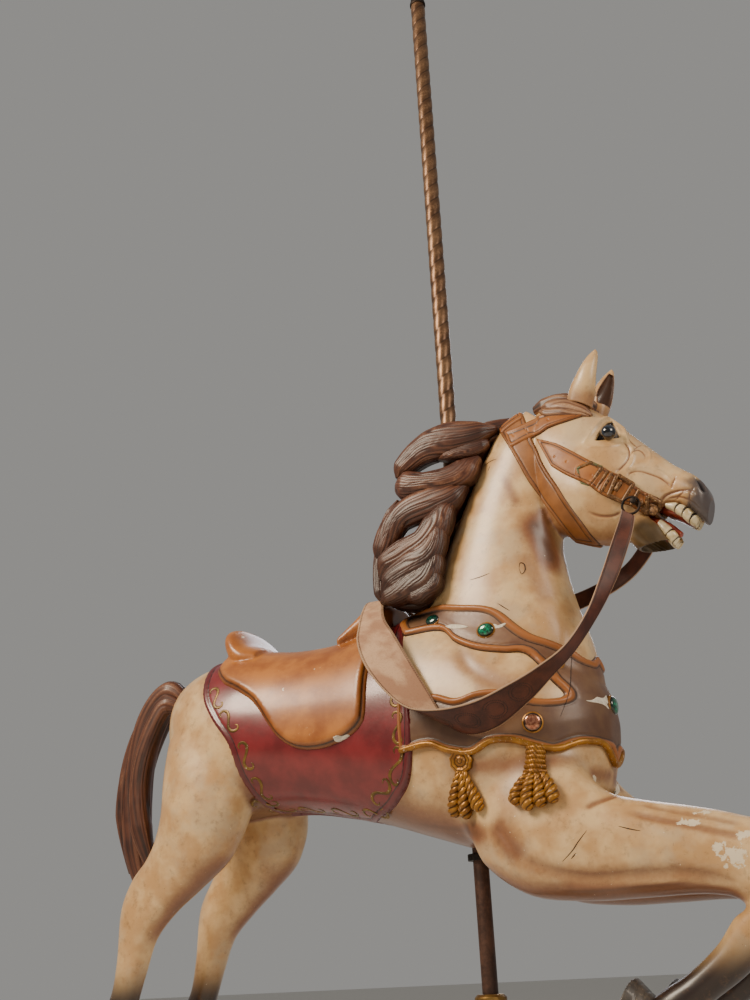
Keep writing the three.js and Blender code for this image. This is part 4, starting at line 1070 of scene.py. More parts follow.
class RoundPattern:
    """A pattern rolled round an axis. The first number runs round, and the second along the axis."""

    def __init__(self, form, centre, axis, front, radius):
        self.form, self.tree, self.radius = form, form.tree(), radius
        self.centre = np.array(centre) * MM
        self.axis, self.front = unit(np.array(axis)), unit(np.array(front))
        self.side = np.cross(self.axis, self.front)

    def rays(self, flat):
        angle = flat[:, 0:1] / self.radius
        out = np.cos(angle) * self.front + np.sin(angle) * self.side
        return self.centre + self.axis * flat[:, 1:2] * MM + out * AROUND, -out

    def flat(self, points):
        away = points - self.centre
        angle = np.arctan2(away @ self.side, away @ self.front)
        return np.stack([angle * self.radius, away @ self.axis / MM], 1)


print("flat and round patterns ready")

# %% Panels that follow a pattern
def laid(pattern, flat):
    """Where flat points come to lie on the horse, which way its skin faces there, and which hit."""
    normals = pattern.form.normals()
    starts, ways = pattern.rays(flat)
    spots, leans, hit = np.zeros_like(starts), np.zeros_like(starts), np.ones(len(flat), bool)
    for i, (start, way) in enumerate(zip(starts.tolist(), ways.tolist())):
        spot, _, face, _ = pattern.tree.ray_cast(start, way)
        if spot is None:
            hit[i] = False
            continue
        spots[i] = spot
        leans[i] = normals[pattern.form.faces[face]].sum(0)
    return spots, leans / np.maximum(np.linalg.norm(leans, axis=1, keepdims=True), 1e-9), hit


def spot_on(line, along):
    """The points at given shares of a line of straight pieces."""
    place = along * (len(line) - 1)
    i = np.minimum(place.astype(int), len(line) - 2)
    return line[i] + (line[i + 1] - line[i]) * (place - i)[:, None]


def panel(pattern, outline, step, relief, sink=1.5, settle=4):
    """A closed panel whose top follows the horse at the height that `relief` gives, in millimetres."""
    outline = np.asarray(outline, float)
    border = np.vstack([outline, outline[:1]])
    low, high = outline.min(0) - step, outline.max(0) + 2 * step
    columns, rows = (np.arange(low[k], high[k], step) for k in (0, 1))
    flat = np.stack(np.meshgrid(columns, rows, indexing="ij"), 2).reshape(-1, 2)
    gap, along = line_distance(flat, border, 1e6)
    signed = np.where(inside_outline(flat, outline), gap, -gap)
    kept = signed > -0.6 * step
    rim = kept & (signed < 0.5 * step)
    flat[rim] = spot_on(border, along[rim])
    edge = np.where(rim, 0.0, signed)
    number = np.arange(len(flat)).reshape(len(columns), len(rows))
    cells = np.stack([number[:-1, :-1], number[1:, :-1], number[1:, 1:], number[:-1, 1:]], 2).reshape(-1, 4)
    spots, leans, hit = np.zeros((len(flat), 3)), np.zeros((len(flat), 3)), np.zeros(len(flat), bool)
    spots[kept], leans[kept], hit[kept] = laid(pattern, flat[kept])
    count = hit[cells].sum(1)
    quads, three = cells[count == 4], cells[count == 3]
    tris = np.array([[c for c in cell if hit[c]] for cell in three], int).reshape(-1, 3)
    links = np.unique(np.sort(np.vstack([quads[:, [k, (k + 1) % 4]] for k in range(4)]), 1), axis=0)
    for _ in range(settle):
        total, times = spots.copy(), np.ones(len(spots))
        for a, b in ((0, 1), (1, 0)):
            np.add.at(total, links[:, a], spots[links[:, b]])
            np.add.at(times, links[:, a], 1)
        inner = ~rim
        spots[inner] = (total / times[:, None])[inner]
    height = relief(edge, flat[:, 0], flat[:, 1])
    top = spots + leans * (height * MM)[:, None]
    bottom = spots - leans * (sink * MM)
    return closed_panel(top, bottom, quads, tris, leans, np.column_stack([flat, edge]))


def closed_panel(top, bottom, quads, tris, leans, layout):
    """A top and a bottom with the same faces, joined along their border."""
    a, b, c, d = (top[quads[:, k]] for k in range(4))
    if np.einsum("ij,ij->i", np.cross(c - a, d - b), leans[quads[:, 0]]).sum() < 0:
        quads, tris = quads[:, ::-1], tris[:, ::-1]
    sides = [quads[:, [k, (k + 1) % 4]] for k in range(4)] + [tris[:, [k, (k + 1) % 3]] for k in range(3)]
    sides = np.vstack(sides)
    names = set(map(tuple, sides.tolist()))
    border = np.array([s for s in names if (s[1], s[0]) not in names])
    count = len(top)
    walls = np.column_stack([border[:, 1], border[:, 0], border[:, 0] + count, border[:, 1] + count])
    points = np.vstack([top, bottom])
    quads = np.vstack([quads, quads[:, ::-1] + count, walls])
    tris = np.vstack([tris, tris[:, ::-1] + count])
    used = np.unique(np.concatenate([quads.ravel(), tris.ravel()]))
    renumber = np.full(2 * count, -1)
    renumber[used] = np.arange(len(used))
    return points[used], renumber[quads], renumber[tris], np.vstack([layout, layout])[used]


def relief_piece(name, panels, material, slot, *nodes):
    """One piece from one or more panels, with their layout on the mesh."""
    made = make_piece(name, *joined([p[:3] for p in panels]))
    store(made.data, "layout", np.vstack([p[3] for p in panels]))
    return hand_over(made, material, slot, HORSE, *nodes)


def hump(values, middle, wide):
    return np.exp(-(((values - middle) / wide) ** 2))


def flat_ridge(u, v, lines, wide):
    """1 on flat lines and 0 further away than about `wide` millimetres."""
    total = np.zeros(len(u))
    for line in lines:
        gap, _ = line_distance(np.column_stack([u, v]), np.asarray(line, float), 3 * wide)
        total = np.maximum(total, np.exp(-((gap / wide) ** 2)))
    return total


print("panel tools ready")

# %% [markdown]
# ## The bridle
# The throat strap runs from the crest down each cheek and under the jaw, the brow strap goes from
# it to the ears, and the cheek strap slants down to the bit with a row of moulded buckles.

# %% Bridle
STRAP_STEP = 1.7
THROAT_REAR = [(494, 422), (502, 436), (510, 449), (519, 465), (528, 481), (539, 496), (550, 511),
               (558, 522), (565, 531)]
THROAT_FRONT = [(524, 416), (532, 439), (537, 449), (542.4, 462), (550, 475), (557, 485), (565, 498),
                (574, 511), (583, 523), (590, 533)]
BROW_LOWER = [(511, 449), (525, 442), (540, 434.5), (550, 428), (570, 421), (586, 415.5)]
BROW_UPPER = [(586, 413), (570, 410), (556, 412), (539, 417), (520, 426), (505, 432.5)]
CHEEK_UPPER = [(536, 438.5), (548, 441), (558, 444), (574, 452), (590, 460.6), (602, 467), (618, 475),
               (634, 485), (645, 492), (661, 500)]
CHEEK_LOWER = [(659, 511), (650, 517), (640, 512), (630, 506), (620, 503), (610, 499), (600, 494),
               (589, 486), (578, 481), (562, 473), (551, 466)]
MOTIF = {
    "pentagon": [(590, 486), (582.4, 483.4), (577.4, 469.4), (591, 463), (602, 468), (590, 486)],
    "bar one": [(605.5, 468.5), (593, 487.5)],
    "frame one": [(610.5, 473), (621, 478), (610, 499), (600, 493), (610.5, 473)],
    "frame two": [(623, 479), (633, 485), (623, 503), (612, 498), (623, 479)],
    "frame three": [(646, 493), (659, 501), (657, 509), (645, 513), (646, 493)],
    "button": [(640, 500), (645, 503), (641, 508), (636, 505), (640, 500)],
}
CHEEK_HOLES = [(555, 457), (573, 465), (592, 476)]
BROW_HOLES = [(514, 436), (533, 428), (549, 421)]

poll = RoundPattern(head, (250, 0, 1400), (0.88, 0, 0.475), (-0.475, 0, 0.88), 100)


def strap_relief(edge, u, v):
    raised = 3.4 * soft_step(0, 1.8, edge) + 1.7 * hump(edge, 4.2, 2.4)
    return raised - 1.5 * hump(edge, 8.6, 1.1)


def flat_line(pattern, tree, pixels):
    return pattern.flat(thrown(pixels, tree))


def throat_outline():
    """The whole loop, from under the jaw over the crest and down the other side."""
    reach = math.pi * poll.radius
    around = np.arange(0, reach + 1, 6)
    edges = []
    for pixels in (THROAT_REAR, THROAT_FRONT):
        line = flat_line(poll, head_tree, pixels)
        order = np.argsort(line[:, 0])
        edges.append(np.interp(around, line[order, 0], line[order, 1]))
    right = np.column_stack([around, edges[0]]), np.column_stack([around, edges[1]])
    rear = np.vstack([right[0][::-1], right[0][1:] * [-1, 1]])
    front = np.vstack([right[1][1:][::-1] * [-1, 1], right[1]])
    return np.vstack([rear, front])


def brow_panel(side):
    outline = flat_line(poll, head_tree, BROW_LOWER + BROW_UPPER) * [side, 1]
    holes = flat_line(poll, head_tree, BROW_HOLES)[::6] * [side, 1]

    def relief(edge, u, v):
        raised = 5.2 * soft_step(0, 1.8, edge) + 1.6 * hump(edge, 3.6, 2.0) - 1.3 * hump(edge, 7.4, 1.0)
        gap = np.min([np.hypot(u - h[0], v - h[1]) for h in holes], axis=0)
        return raised - 2.2 * np.exp(-((gap / 1.8) ** 2))

    return panel(poll, outline, STRAP_STEP, relief)


def cheek_panel(side):
    pattern = SidePattern(head, side)
    outline = flat_line(pattern, head_tree, CHEEK_UPPER + CHEEK_LOWER)
    ridges = [flat_line(pattern, head_tree, line) for line in MOTIF.values()]
    holes = flat_line(pattern, head_tree, CHEEK_HOLES)[::6]
    plain_end = outline[:, 0].min() + 0.45 * np.ptp(outline[:, 0])

    def relief(edge, u, v):
        piping = 1.6 * hump(edge, 4, 2.2) - 1.4 * hump(edge, 8, 1.0)
        raised = 3.2 * soft_step(0, 1.8, edge) + piping * (1 - soft_step(plain_end, plain_end + 12, u))
        gap = np.min([np.hypot(u - h[0], v - h[1]) for h in holes], axis=0)
        return raised + 3.2 * flat_ridge(u, v, ridges, 2.2) - 2.0 * np.exp(-((gap / 1.8) ** 2))

    return panel(pattern, outline, STRAP_STEP, relief)


def crest_plate():
    """The square plate that is moulded on the throat strap where it crosses the crest."""
    loop = throat_outline()
    low, high = np.sort(loop[np.abs(loop[:, 0]) < 3, 1])[[0, -1]]
    outline = [(-34, low + 3), (34, low + 3), (34, high - 3), (-34, high - 3)]
    return panel(poll, outline, STRAP_STEP,
                 lambda edge, u, v: 8 * soft_step(0, 2, edge) - 1.4 * hump(edge, 5.5, 1.2))


throat = panel(poll, throat_outline(), STRAP_STEP, strap_relief)
print("bridle panels cut")

# %% [markdown]
# ## Painted leather
# The relief straps are painted tan and orange-brown to look like leather. Dark lies in patches in the
# grooves and along the edges, as dirt and as painted shade, the paint turns deeper towards the edges
# as painted shade, and the piping has rubbed light. The material finds all of these by the distance
# to the edge. On the collar it also paints shade on the lower part and shadow under the mane.

# %% Painted straps
def strap_paint(name, groove_mm, piping_mm, base, light, deep, coat=0.08, rough=0.5, welt=None):
    add, done = new_finish(name)
    layout = add(stored("layout"), out="Vector")
    edge = add(SPLIT, layout, out="Z")
    fine = blotches(add, 7, 5, 0.65)
    cloud = blotches(add, 45, 3)
    colour = add(MIX, add(RISE, cloud, 0.3, 0.75), base, light)
    from_groove = add(SIZE_OF, add(LESS, edge, groove_mm))
    # Dark patches in the groove and along the border: dirt and painted shade.
    groove_dirt_and_shade = add(LESS, 1.0, add(RISE, from_groove, 0.3, 1.5))
    border = add(LESS, 1.0, add(RISE, edge, 0.2, 1.6))
    soil = add(LARGER, groove_dirt_and_shade, border)
    patchy = add(TIMES, soil, add(RISE, fine, 0.22, 0.5))
    from_piping = add(SIZE_OF, add(LESS, edge, piping_mm))
    rub = add(LESS, 1.0, add(RISE, from_piping, 0.2, 1.6))
    rub = add(TIMES, rub, add(RISE, fine, 0.45, 0.62))
    colour = add(MIX, add(TIMES, rub, 0.55), colour, light)
    shade = add(TIMES, add(RISE, add(LESS, 14.0, edge), 0, 14), 0.35)
    colour = add(MIX, shade, colour, deep)
    if welt:
        place = add(PLACE, out="Object")
        height = add(SPLIT, place, out="Z")
        # Darker towards the bottom of the collar: painted shade.
        low = add(LESS, 1.0, add(RISE, height, 0.8, 1.08))
        colour = add(MIX, add(TIMES, low, 0.55), colour, "#3f2a1d")
        # Near black high up at the back, under the mane: painted shadow.
        high = add(RISE, height, 1.075, 1.125)
        behind = add(LESS, 1.0, add(RISE, add(SPLIT, place, out="X"), -0.05, 0.03))
        colour = add(MIX, add(TIMES, add(TIMES, high, behind), 0.85), colour, "#1c120c")
        on_welt = add(LESS, 1.0, add(RISE, from_piping, 4.5, 7))
        colour = add(MIX, add(TIMES, on_welt, 0.8), colour, welt)
    colour = add(MIX, add(TIMES, patchy, 0.9), colour, "#2a1810")
    return done(Base_Color=colour, Roughness=add(TIMES_PLUS, fine, 0.2, rough - 0.1), Coat_Weight=coat,
                Coat_Roughness=0.2, Normal=add(BUMP, Height=fine, Distance=0.25 * MM, Strength=0.5))


TAN_STRAP = strap_paint("tan_strap_paint", 8.6, 4.2, "#7b4a1c", "#98612f", "#582f11")
ORANGE_STRAP = strap_paint("orange_strap_paint", 7.4, 3.6, "#8c501b", "#a76829", "#633610")

relief_piece("throat_strap", [throat], TAN_STRAP, "collar_paint", "bridle_throat")
relief_piece("crown_and_brow_straps", [brow_panel(1), brow_panel(-1), crest_plate()], ORANGE_STRAP,
             "collar_paint", "bridle_crown")
for word, side in SIDES:
    relief_piece(f"cheek_strap_{word}", [cheek_panel(side)], ORANGE_STRAP, "collar_paint",
                 f"bridle_cheek_{word}")

# %% [markdown]
# ## Mane, forelock and tail
# Carved hair is a set of broad locks with many fine V grooves that run along them. Each lock is a
# tube along a smooth path. Its outline is a ring of rounded strands with sharp valleys, and the
# strands wander a little as they go, which is what makes them look cut by hand. How light each
# point is painted, between valley and ridge, stays on the mesh as `strand`: the material paints
# shade in the valleys and at the sides of each lock, where the locks meet, and highlights on the ridges.

# %% Locks of hair
def on_plane(pixels):
    """Pixels of the photograph, each with a y in millimetres, as points on those planes."""
    spots = []
    for px, py, y in pixels:
        way = np.array(sight(px, py))
        spots.append(CAMERA_AT / MM + way * ((y - CAMERA_AT[1] / MM) / way[1]))
    return spots


class Path:
    """A smooth path in millimetres, with the directions along it, out from it and across it."""

    def __init__(self, path, rings, face):
        self.middle = smooth_rows(path, rings - 1)
        self.ways = np.gradient(self.middle, axis=0)
        steps = np.linalg.norm(self.ways, axis=1)
        self.ways /= steps[:, None]
        self.along = np.cumsum(steps) - steps[0]
        self.out = unit(face - self.ways * (self.ways * face).sum(1, keepdims=True))
        self.across = np.cross(self.ways, self.out)

    def tube(self, out, across):
        """A closed tube whose rings lie this far out from the path and across it."""
        rows = self.middle[:, None] + self.out[:, None] * out[..., None]
        rows = rows + self.across[:, None] * across[..., None]
        return skinned(rows, self.middle[[0, -1]])


def lock(path, wide, thick, seed, strands=15, rings=90, sides=100, face=(0, -1, 0), blunt=0.35):
    """A lock along a path in millimetres, flat towards `face`, with its points and how light each is
    painted: darker in the valleys and, as painted shade, at the sides.
    """
    route = Path(path, rings, face)
    share = np.linspace(0, 1, rings)[:, None]
    girth = np.interp(share, np.linspace(0, 1, len(wide)), wide) if np.ndim(wide) else wide
    taper = np.clip(np.minimum(blunt + share * 5, blunt + (1 - share) * 4), 0.02, 1) ** 0.6
    chance = np.random.default_rng(seed)
    turn = full_turn(sides)
    place = turn / (2 * np.pi)
    waves = 0.018 * np.sin(2 * np.pi * (5 * place + chance.random()))
    place = place + waves + 0.01 * np.sin(2 * np.pi * 11 * place)
    drift = 0.05 * np.sin(2 * np.pi * (0.8 * share + chance.random()))
    drift = drift + 0.012 * np.sin(2 * np.pi * 2.3 * share)
    broad = np.abs(np.sin(np.pi * (strands * (place + drift) + chance.random())))
    fine_count = int(strands * 2.6)
    fine = np.abs(np.sin(np.pi * (fine_count * (place + 0.6 * drift) + chance.random())))
    swell = 0.5 + 0.5 * np.sin(2 * np.pi * (3 * place + 0.6 * share + chance.random()))
    strand = 0.5 * broad**0.7 + 0.25 * fine**0.7 + 0.25 * swell
    size = 1 + 0.1 * (strand - 0.72)
    flat = np.sign(np.cos(turn)) * np.abs(np.cos(turn)) ** 0.9
    deep = np.sign(np.sin(turn)) * np.abs(np.sin(turn)) ** 0.8
    form = route.tube(deep * size * thick * taper, flat * size * girth * taper)
    # The sides of a lock, where it meets the next one, are darker: painted shade.
    light = strand * (0.45 + 0.55 * soft_step(0.0, 0.6, np.abs(deep) + 0 * share))
    return form, np.append(light.ravel(), [0.1, 0.1])


def hair_paint(name, low, high, ridge, bare):
    add, done = new_finish(name)
    strand = add(stored("strand"), out="Fac")
    cloud = blotches(add, 60, 3)
    fine = blotches(add, 5, 4, 0.6)
    base = add(MIX, add(RISE, cloud, 0.35, 0.7), low, high)
    # Lighter towards the ridges: painted highlight on the strands.
    colour = add(MIX, add(TIMES, add(RISE, strand, 0.55, 1.0), 0.75), base, ridge)
    # Lighter still in patches where the ridges are highest: worn paint and painted highlight.
    worn = add(TIMES, add(RISE, strand, 0.8, 0.98), add(RISE, fine, 0.46, 0.62))
    colour = add(MIX, add(TIMES, worn, 0.3), colour, bare)
    # Near black in the valleys: painted shade.
    valley = add(LESS, 1.0, add(RISE, strand, 0.15, 0.6))
    colour = add(MIX, add(TIMES, valley, 0.8), colour, "#180c07")
    place = add(PLACE, out="Object")
    low_mane = add(LESS, add(RISE, add(SPLIT, place, out="X"), -0.5, -0.45),
                   add(RISE, add(SPLIT, place, out="Z"), 1.16, 1.36))
    shade = add(TIMES, add(LARGER, low_mane, 0.0), 0.62)
    colour = add(MIX, shade, colour, "#26120a")
    return done(Base_Color=colour, Roughness=0.45, Coat_Weight=0.12, Coat_Roughness=0.25,
                Normal=add(BUMP, Height=fine, Distance=0.2 * MM, Strength=0.4))


# %% Lay the mane
HAIR = hair_paint("carved_hair_paint", "#3a1c11", "#532d1c", "#6e442d", "#ad805c")
PALE_HAIR = hair_paint("pale_hair_paint", "#5a3826", "#7b5439", "#a57d5c", "#d0b08e")
MANE_LOCKS = {
    "top": ([(497, 430, -36), (475, 435, -56), (452, 439, -66), (432, 447, -71), (417, 457, -72),
             (404, 470, -74), (399, 480, -76)], [14, 32, 42, 42, 35, 26, 12], 30),
    "under top": ([(489, 443, -48), (472, 450, -60), (455, 455, -66), (439, 460, -68)], [14, 22, 16, 8],
                  20),
    "second": ([(480, 460, -58), (465, 473, -76), (445, 481, -86), (425, 485, -90), (409, 487, -90),
                (399, 489, -84)],
               [14, 34, 30, 29, 38, 34], 30),
    "third": ([(467, 486, -66), (452, 497, -84), (434, 503, -92), (415, 510, -96), (400, 520, -96),
               (390, 535, -94), (384, 552, -92), (382, 568, -90)], [14, 33, 40, 38, 32, 30, 26, 14], 28),
    "fourth": ([(455, 505, -80), (446, 514, -92), (437, 527, -100), (424, 543, -106), (405, 554, -106),
                (390, 565, -104), (384, 582, -102)], [12, 26, 38, 33, 37, 32, 16], 28),
    "fifth": ([(444, 520, -92), (438, 540, -104), (427, 557, -112), (412, 569, -114), (396, 581, -112),
               (385, 598, -108)], [10, 25, 40, 40, 34, 16], 28),
    "sixth": ([(440, 548, -100), (435, 565, -110), (425, 579, -116), (410, 588, -118), (393, 597, -116),
               (384, 604, -112)], [10, 25, 38, 35, 26, 12], 26),
    "last": ([(440, 572, -108), (435, 586, -116), (424, 595, -118), (407, 600, -116)], [8, 17, 21, 13], 24),
    "rear edge": ([(400, 502, -76), (391, 521, -80), (385, 543, -82), (382, 568, -88), (382, 592, -94),
                   (385, 604, -98)], [10, 16, 18, 18, 16, 10], 24),
}
mane = [lock(on_plane(pixels), wide, thick, 40 + i, strands=24, rings=56, sides=140)
        for i, (pixels, wide, thick) in enumerate(MANE_LOCKS.values())]
CREST_LOCKS = [
    ([(170, 0, 1572), (90, -14, 1540), (30, -20, 1440), (-30, -22, 1340), (-80, -24, 1240),
      (-110, -30, 1180)], 30, 36),
    ([(150, 24, 1545), (80, 44, 1470), (20, 52, 1380), (-30, 58, 1290), (-64, 62, 1200)], 26, 20),
    ([(158, 10, 1562), (70, 20, 1510), (20, 26, 1420), (-40, 28, 1300), (-86, 22, 1200)], 22, 30),
]
mane += [lock(path, wide, thick, 60 + i, strands=18, rings=48, sides=92)
         for i, (path, wide, thick) in enumerate(CREST_LOCKS)]
MANE_SHADOW_LOCK = [(388, 600, -60), (400, 604, -64), (412, 606, -68), (424, 606, -72), (436, 602, -76)]
MANE_FALL = [
    (-132, 1318, 14, 1296, 10, -78),
    (-152, 1276, 4, 1262, 17, -86),
    (-160, 1232, -6, 1222, 20, -93),
    (-156, 1196, -12, 1180, 20, -97),
    (-140, 1172, -18, 1158, 16, -99),
    (-128, 1162, -34, 1152, 8, -99),
]
fall = loft(MANE_FALL, 40, 60, 3)
# The fall and the lock in the hollow below the mane get strand values at the bottom of the valley, so they
# come out near black: painted shade under the mane.
mane.append((fall, np.full(len(fall[0]), 0.05)))
hollow, _ = lock(on_plane(MANE_SHADOW_LOCK), [10, 15, 15, 13, 9], 30, 90, 8, 30, 40)
mane.append((hollow, np.full(len(hollow[0]), 0.03)))
grouped("mane", "strand", mane, HAIR, "hair_paint", "mane")

# %% Lay the forelock and the tail
FORELOCK_SWEEP = [
    ([(592, 416, -50), (580, 410, -54), (566, 406, -56), (552, 406, -54), (542, 409, -50)],
     [6, 15, 20, 18, 8], 12),
    ([(589, 417, -52), (576, 414, -57), (562, 412, -60), (548, 413, -58), (540, 412, -54)],
     [5, 10, 13, 12, 6], 10),
]
FORELOCK = [
    ([(364, -30, 1546), (330, -38, 1566), (286, -38, 1580), (234, -30, 1578)], 17, 18),
    ([(372, -8, 1556), (330, -12, 1580), (280, -14, 1592), (226, -8, 1588)], 16, 20),
    ([(366, 22, 1550), (326, 26, 1570), (280, 26, 1584), (230, 18, 1580)], 17, 18),
]
TAIL = [
    ([(-770, 0, 1040), (-836, 0, 1070), (-900, 0, 1000), (-932, 0, 850), (-924, 0, 690), (-880, 0, 544)],
     36, 34),
    ([(-776, 14, 1036), (-848, 20, 1048), (-922, 26, 940), (-960, 30, 800), (-954, 24, 655)], 27, 24),
    ([(-776, -14, 1030), (-840, -22, 1030), (-894, -28, 900), (-900, -26, 760), (-860, -20, 625)], 27, 24),
    ([(-780, 0, 1044), (-862, 0, 1050), (-936, 0, 950), (-966, 0, 800), (-944, 0, 640)], 24, 30),
]
forelock = [lock(path, wide, thick, 70 + i, strands=9, rings=60, sides=72, face=(0, 0, 1))
            for i, (path, wide, thick) in enumerate(FORELOCK)]
for i, (pixels, wide, thick) in enumerate(FORELOCK_SWEEP):
    sweep, shade = lock(on_plane(pixels), wide, thick, 76 + i, strands=8, rings=70, sides=80,
                        face=(0.1, -1, 0.4))
    for side in (-1, 1):
        forelock += on_side([(sweep, 0.3 + 0.7 * shade)], side)
grouped("forelock", "strand", forelock, PALE_HAIR, "hair_paint", "forelock")
tail = [lock(path, wide, thick, 80 + i, strands=13, rings=100, sides=88, blunt=0.12)
        for i, (path, wide, thick) in enumerate(TAIL)]
grouped("tail", "strand", tail, HAIR, "hair_paint", "tail")

# %% [markdown]
# ## Breast collar, blanket and saddle
# The breast collar is wrapped round an upright axis through the chest, and the blanket and the
# saddle flap round the horse's own length. Their outlines are those of the CAD solids.

# %% Outlines in side view, as x and z in millimetres
COLLAR_TOP = [(-90, 1142), (-10, 1136), (46, 1122), (104, 1108), (141, 1089), (179, 1051), (207, 1028),
              (243, 1011), (276, 991), (300, 972), (345, 982)]
COLLAR_ROPE = [(353, 764), (318, 784), (282, 789), (242, 773), (200, 784), (163, 798), (117, 800),
               (75, 783), (24, 794), (-20, 812), (-90, 806)]
COLLAR_WINDOW = [(-90, 925), (-6, 922), (46, 905), (93, 914), (145, 910), (215, 884), (262, 888),
                 (240, 922), (222, 951), (186, 988), (148, 993), (89, 1007), (37, 1034), (-4, 1070),
                 (-90, 1072)]
BLANKET_EDGE = [(-92, 1060), (-62, 940), (-54, 870), (-60, 804), (-76, 752), (-109, 721), (-157, 700),
                (-260, 690), (-380, 694), (-450, 712), (-494, 752), (-512, 810), (-528, 880), (-572, 940),
                (-610, 1000), (-634, 1076)]
FLAP_EDGE = [(-160, 1080), (-166, 1000), (-168, 905), (-182, 876), (-214, 857), (-262, 846), (-308, 845),
             (-356, 856), (-398, 884), (-430, 925), (-466, 970), (-514, 1004), (-560, 1030), (-596, 1066)]

chest_wrap = RoundPattern(body, (-20, 0, 0), (0, 0, 1), (1, 0, 0), 220)
barrel_wrap = RoundPattern(body, (0, 0, 920), (1, 0, 0), (0, 0, 1), 200)
right_side = SidePattern(body, -1)


def wrapped(pattern, side_points, per_gap=5):
    """A smooth side-view line as flat points of a wrap, on the horse's right side."""
    line = smooth_rows(side_points, per_gap * (len(side_points) - 1))
    spots, _, hit = laid(right_side, line)
    return pattern.flat(spots[hit])


def with_mirror(half):
    """A closed outline from the half on one side, which starts and ends on the middle line."""
    return np.vstack([half, half[1:-1][::-1] * [-1, 1]])


top_line, window_line, welt_line = (wrapped(chest_wrap, line)
                                    for line in (COLLAR_TOP, COLLAR_WINDOW, COLLAR_ROPE))
collar_half = np.vstack([[[0, 988]], top_line[::-1], window_line[::-1], welt_line[::-1], [[0, 752]]])
blanket = wrapped(barrel_wrap, BLANKET_EDGE)
blanket_half = np.vstack([[[0, -112]], blanket, [[0, -640]]])
flap = wrapped(barrel_wrap, FLAP_EDGE)
flap_half = np.vstack([[[0, -150]], flap, [[0, -622]]])


def collar_relief(edge, u, v):
    welt = 4.2 * hump(edge, 8, 6) - 2.2 * hump(edge, 17, 2.2)
    return 5.5 * soft_step(0, 4, edge) + welt + 1.4 * soft_step(18, 60, edge)


def blanket_relief(edge, u, v):
    return 7 * soft_step(0, 3, edge) + 1.6 * hump(edge, 8, 7) - 2.4 * hump(edge, 17, 1.8)


collar = panel(chest_wrap, with_mirror(collar_half), 3.4, collar_relief, 2)
cloth = panel(barrel_wrap, with_mirror(blanket_half), 4.2, blanket_relief, 2)
flaps = panel(barrel_wrap, with_mirror(flap_half), 5, lambda edge, u, v: 9 + 12 * soft_step(0, 14, edge), 2)
print("saddlery panels cut")

# %% Collar and blanket paint
COLLAR_TAN = strap_paint("collar_tan_paint", 17, 8, "#6d4934", "#8a6646", "#482d1e", 0.12, 0.42, "#a3622a")


def blanket_paint():
    add, done = new_finish("crimson_blanket_paint")
    layout = add(stored("layout"), out="Vector")
    edge = add(SPLIT, layout, out="Z")
    cloud, fine = blotches(add, 50, 4), blotches(add, 9, 6, 0.7)
    colour = add(MIX, add(RISE, cloud, 0.3, 0.7), "#611417", "#7c2023")
    border = add(LESS, 1.0, add(RISE, edge, 15, 18))
    colour = add(MIX, add(TIMES, border, 0.7), colour, "#521418")
    gap = add(SIZE_OF, add(LESS, edge, 17.0))
    groove = add(LESS, 1.0, add(RISE, gap, 0.4, 2.2))
    colour = add(MIX, add(TIMES, groove, 0.85), colour, "#1e0a0c")
    return done(Base_Color=colour, Roughness=add(TIMES_PLUS, fine, 0.22, 0.22), Coat_Weight=0.4,
                Coat_Roughness=0.16, Normal=add(BUMP, Height=fine, Distance=0.3 * MM, Strength=0.5))


relief_piece("breast_collar", [collar], COLLAR_TAN, "collar_paint", "breast_collar")
relief_piece("saddle_blanket", [cloth], blanket_paint(), "blanket_paint", "saddle_blanket")

# %% The saddle as one skin
CANTLE = [(-500, 1128, -500, 1060, 112), (-536, 1144, -536, 1060, 124), (-572, 1184, -560, 1060, 122),
          (-594, 1194, -578, 1080, 108), (-608, 1184, -598, 1110, 84)]
POMMEL = [(-280, 1122, -280, 1070, 100), (-244, 1158, -248, 1080, 92), (-214, 1186, -216, 1085, 84),
          (-170, 1188, -170, 1085, 76), (-152, 1172, -154, 1100, 56)]
saddle = one_skin([flaps[:3], loft(CANTLE, 40, 60), loft(POMMEL, 40, 60)], 0.0036)
saddle.relax(6)
flap_line = laid(barrel_wrap, np.array(flap_half))[0]

edge_gap = np.full(len(saddle.points), 60.0)
for side in (1, -1):
    gap, _ = line_distance(saddle.points, flap_line * [1, side, 1], 0.06)
    edge_gap = np.minimum(edge_gap, np.where(np.isfinite(gap), gap, 0.06) / MM)
saddle.push(-1.6 * hump(edge_gap, 15, 1.8) + 1.2 * hump(edge_gap, 7, 4))
saddle.paint["groove"] = hump(edge_gap, 15, 2.2)
saddle.paint["border"] = 1 - soft_step(10, 34, edge_gap)


def saddle_paint():
    add, done = new_finish("orange_tan_saddle_paint")
    cloud, fine = blotches(add, 60, 4), blotches(add, 7, 6, 0.7)
    colour = add(MIX, add(RISE, cloud, 0.3, 0.7), "#8f4f1b", "#b4712f")
    colour = add(MIX, add(TIMES, add(stored("border"), out="Fac"), 0.55), colour, "#5f3214")
    scuffs = add(RISE, blotches(add, 13, 7, 0.75), 0.62, 0.7)
    colour = add(MIX, add(TIMES, scuffs, 0.5), colour, "#cfa070")
    chips = add(RISE, blotches(add, 26, 3, 0.5), 0.735, 0.75)
    colour = add(MIX, chips, colour, "#dccdb4")
    colour = add(MIX, add(stored("groove"), out="Fac"), colour, "#1f1009")
    return done(Base_Color=colour, Roughness=add(TIMES_PLUS, fine, 0.22, 0.28), Coat_Weight=0.25,
                Coat_Roughness=0.2, Normal=add(BUMP, Height=fine, Distance=0.25 * MM, Strength=0.5))


saddle.piece("saddle", saddle_paint(), "saddle_paint", "saddle")

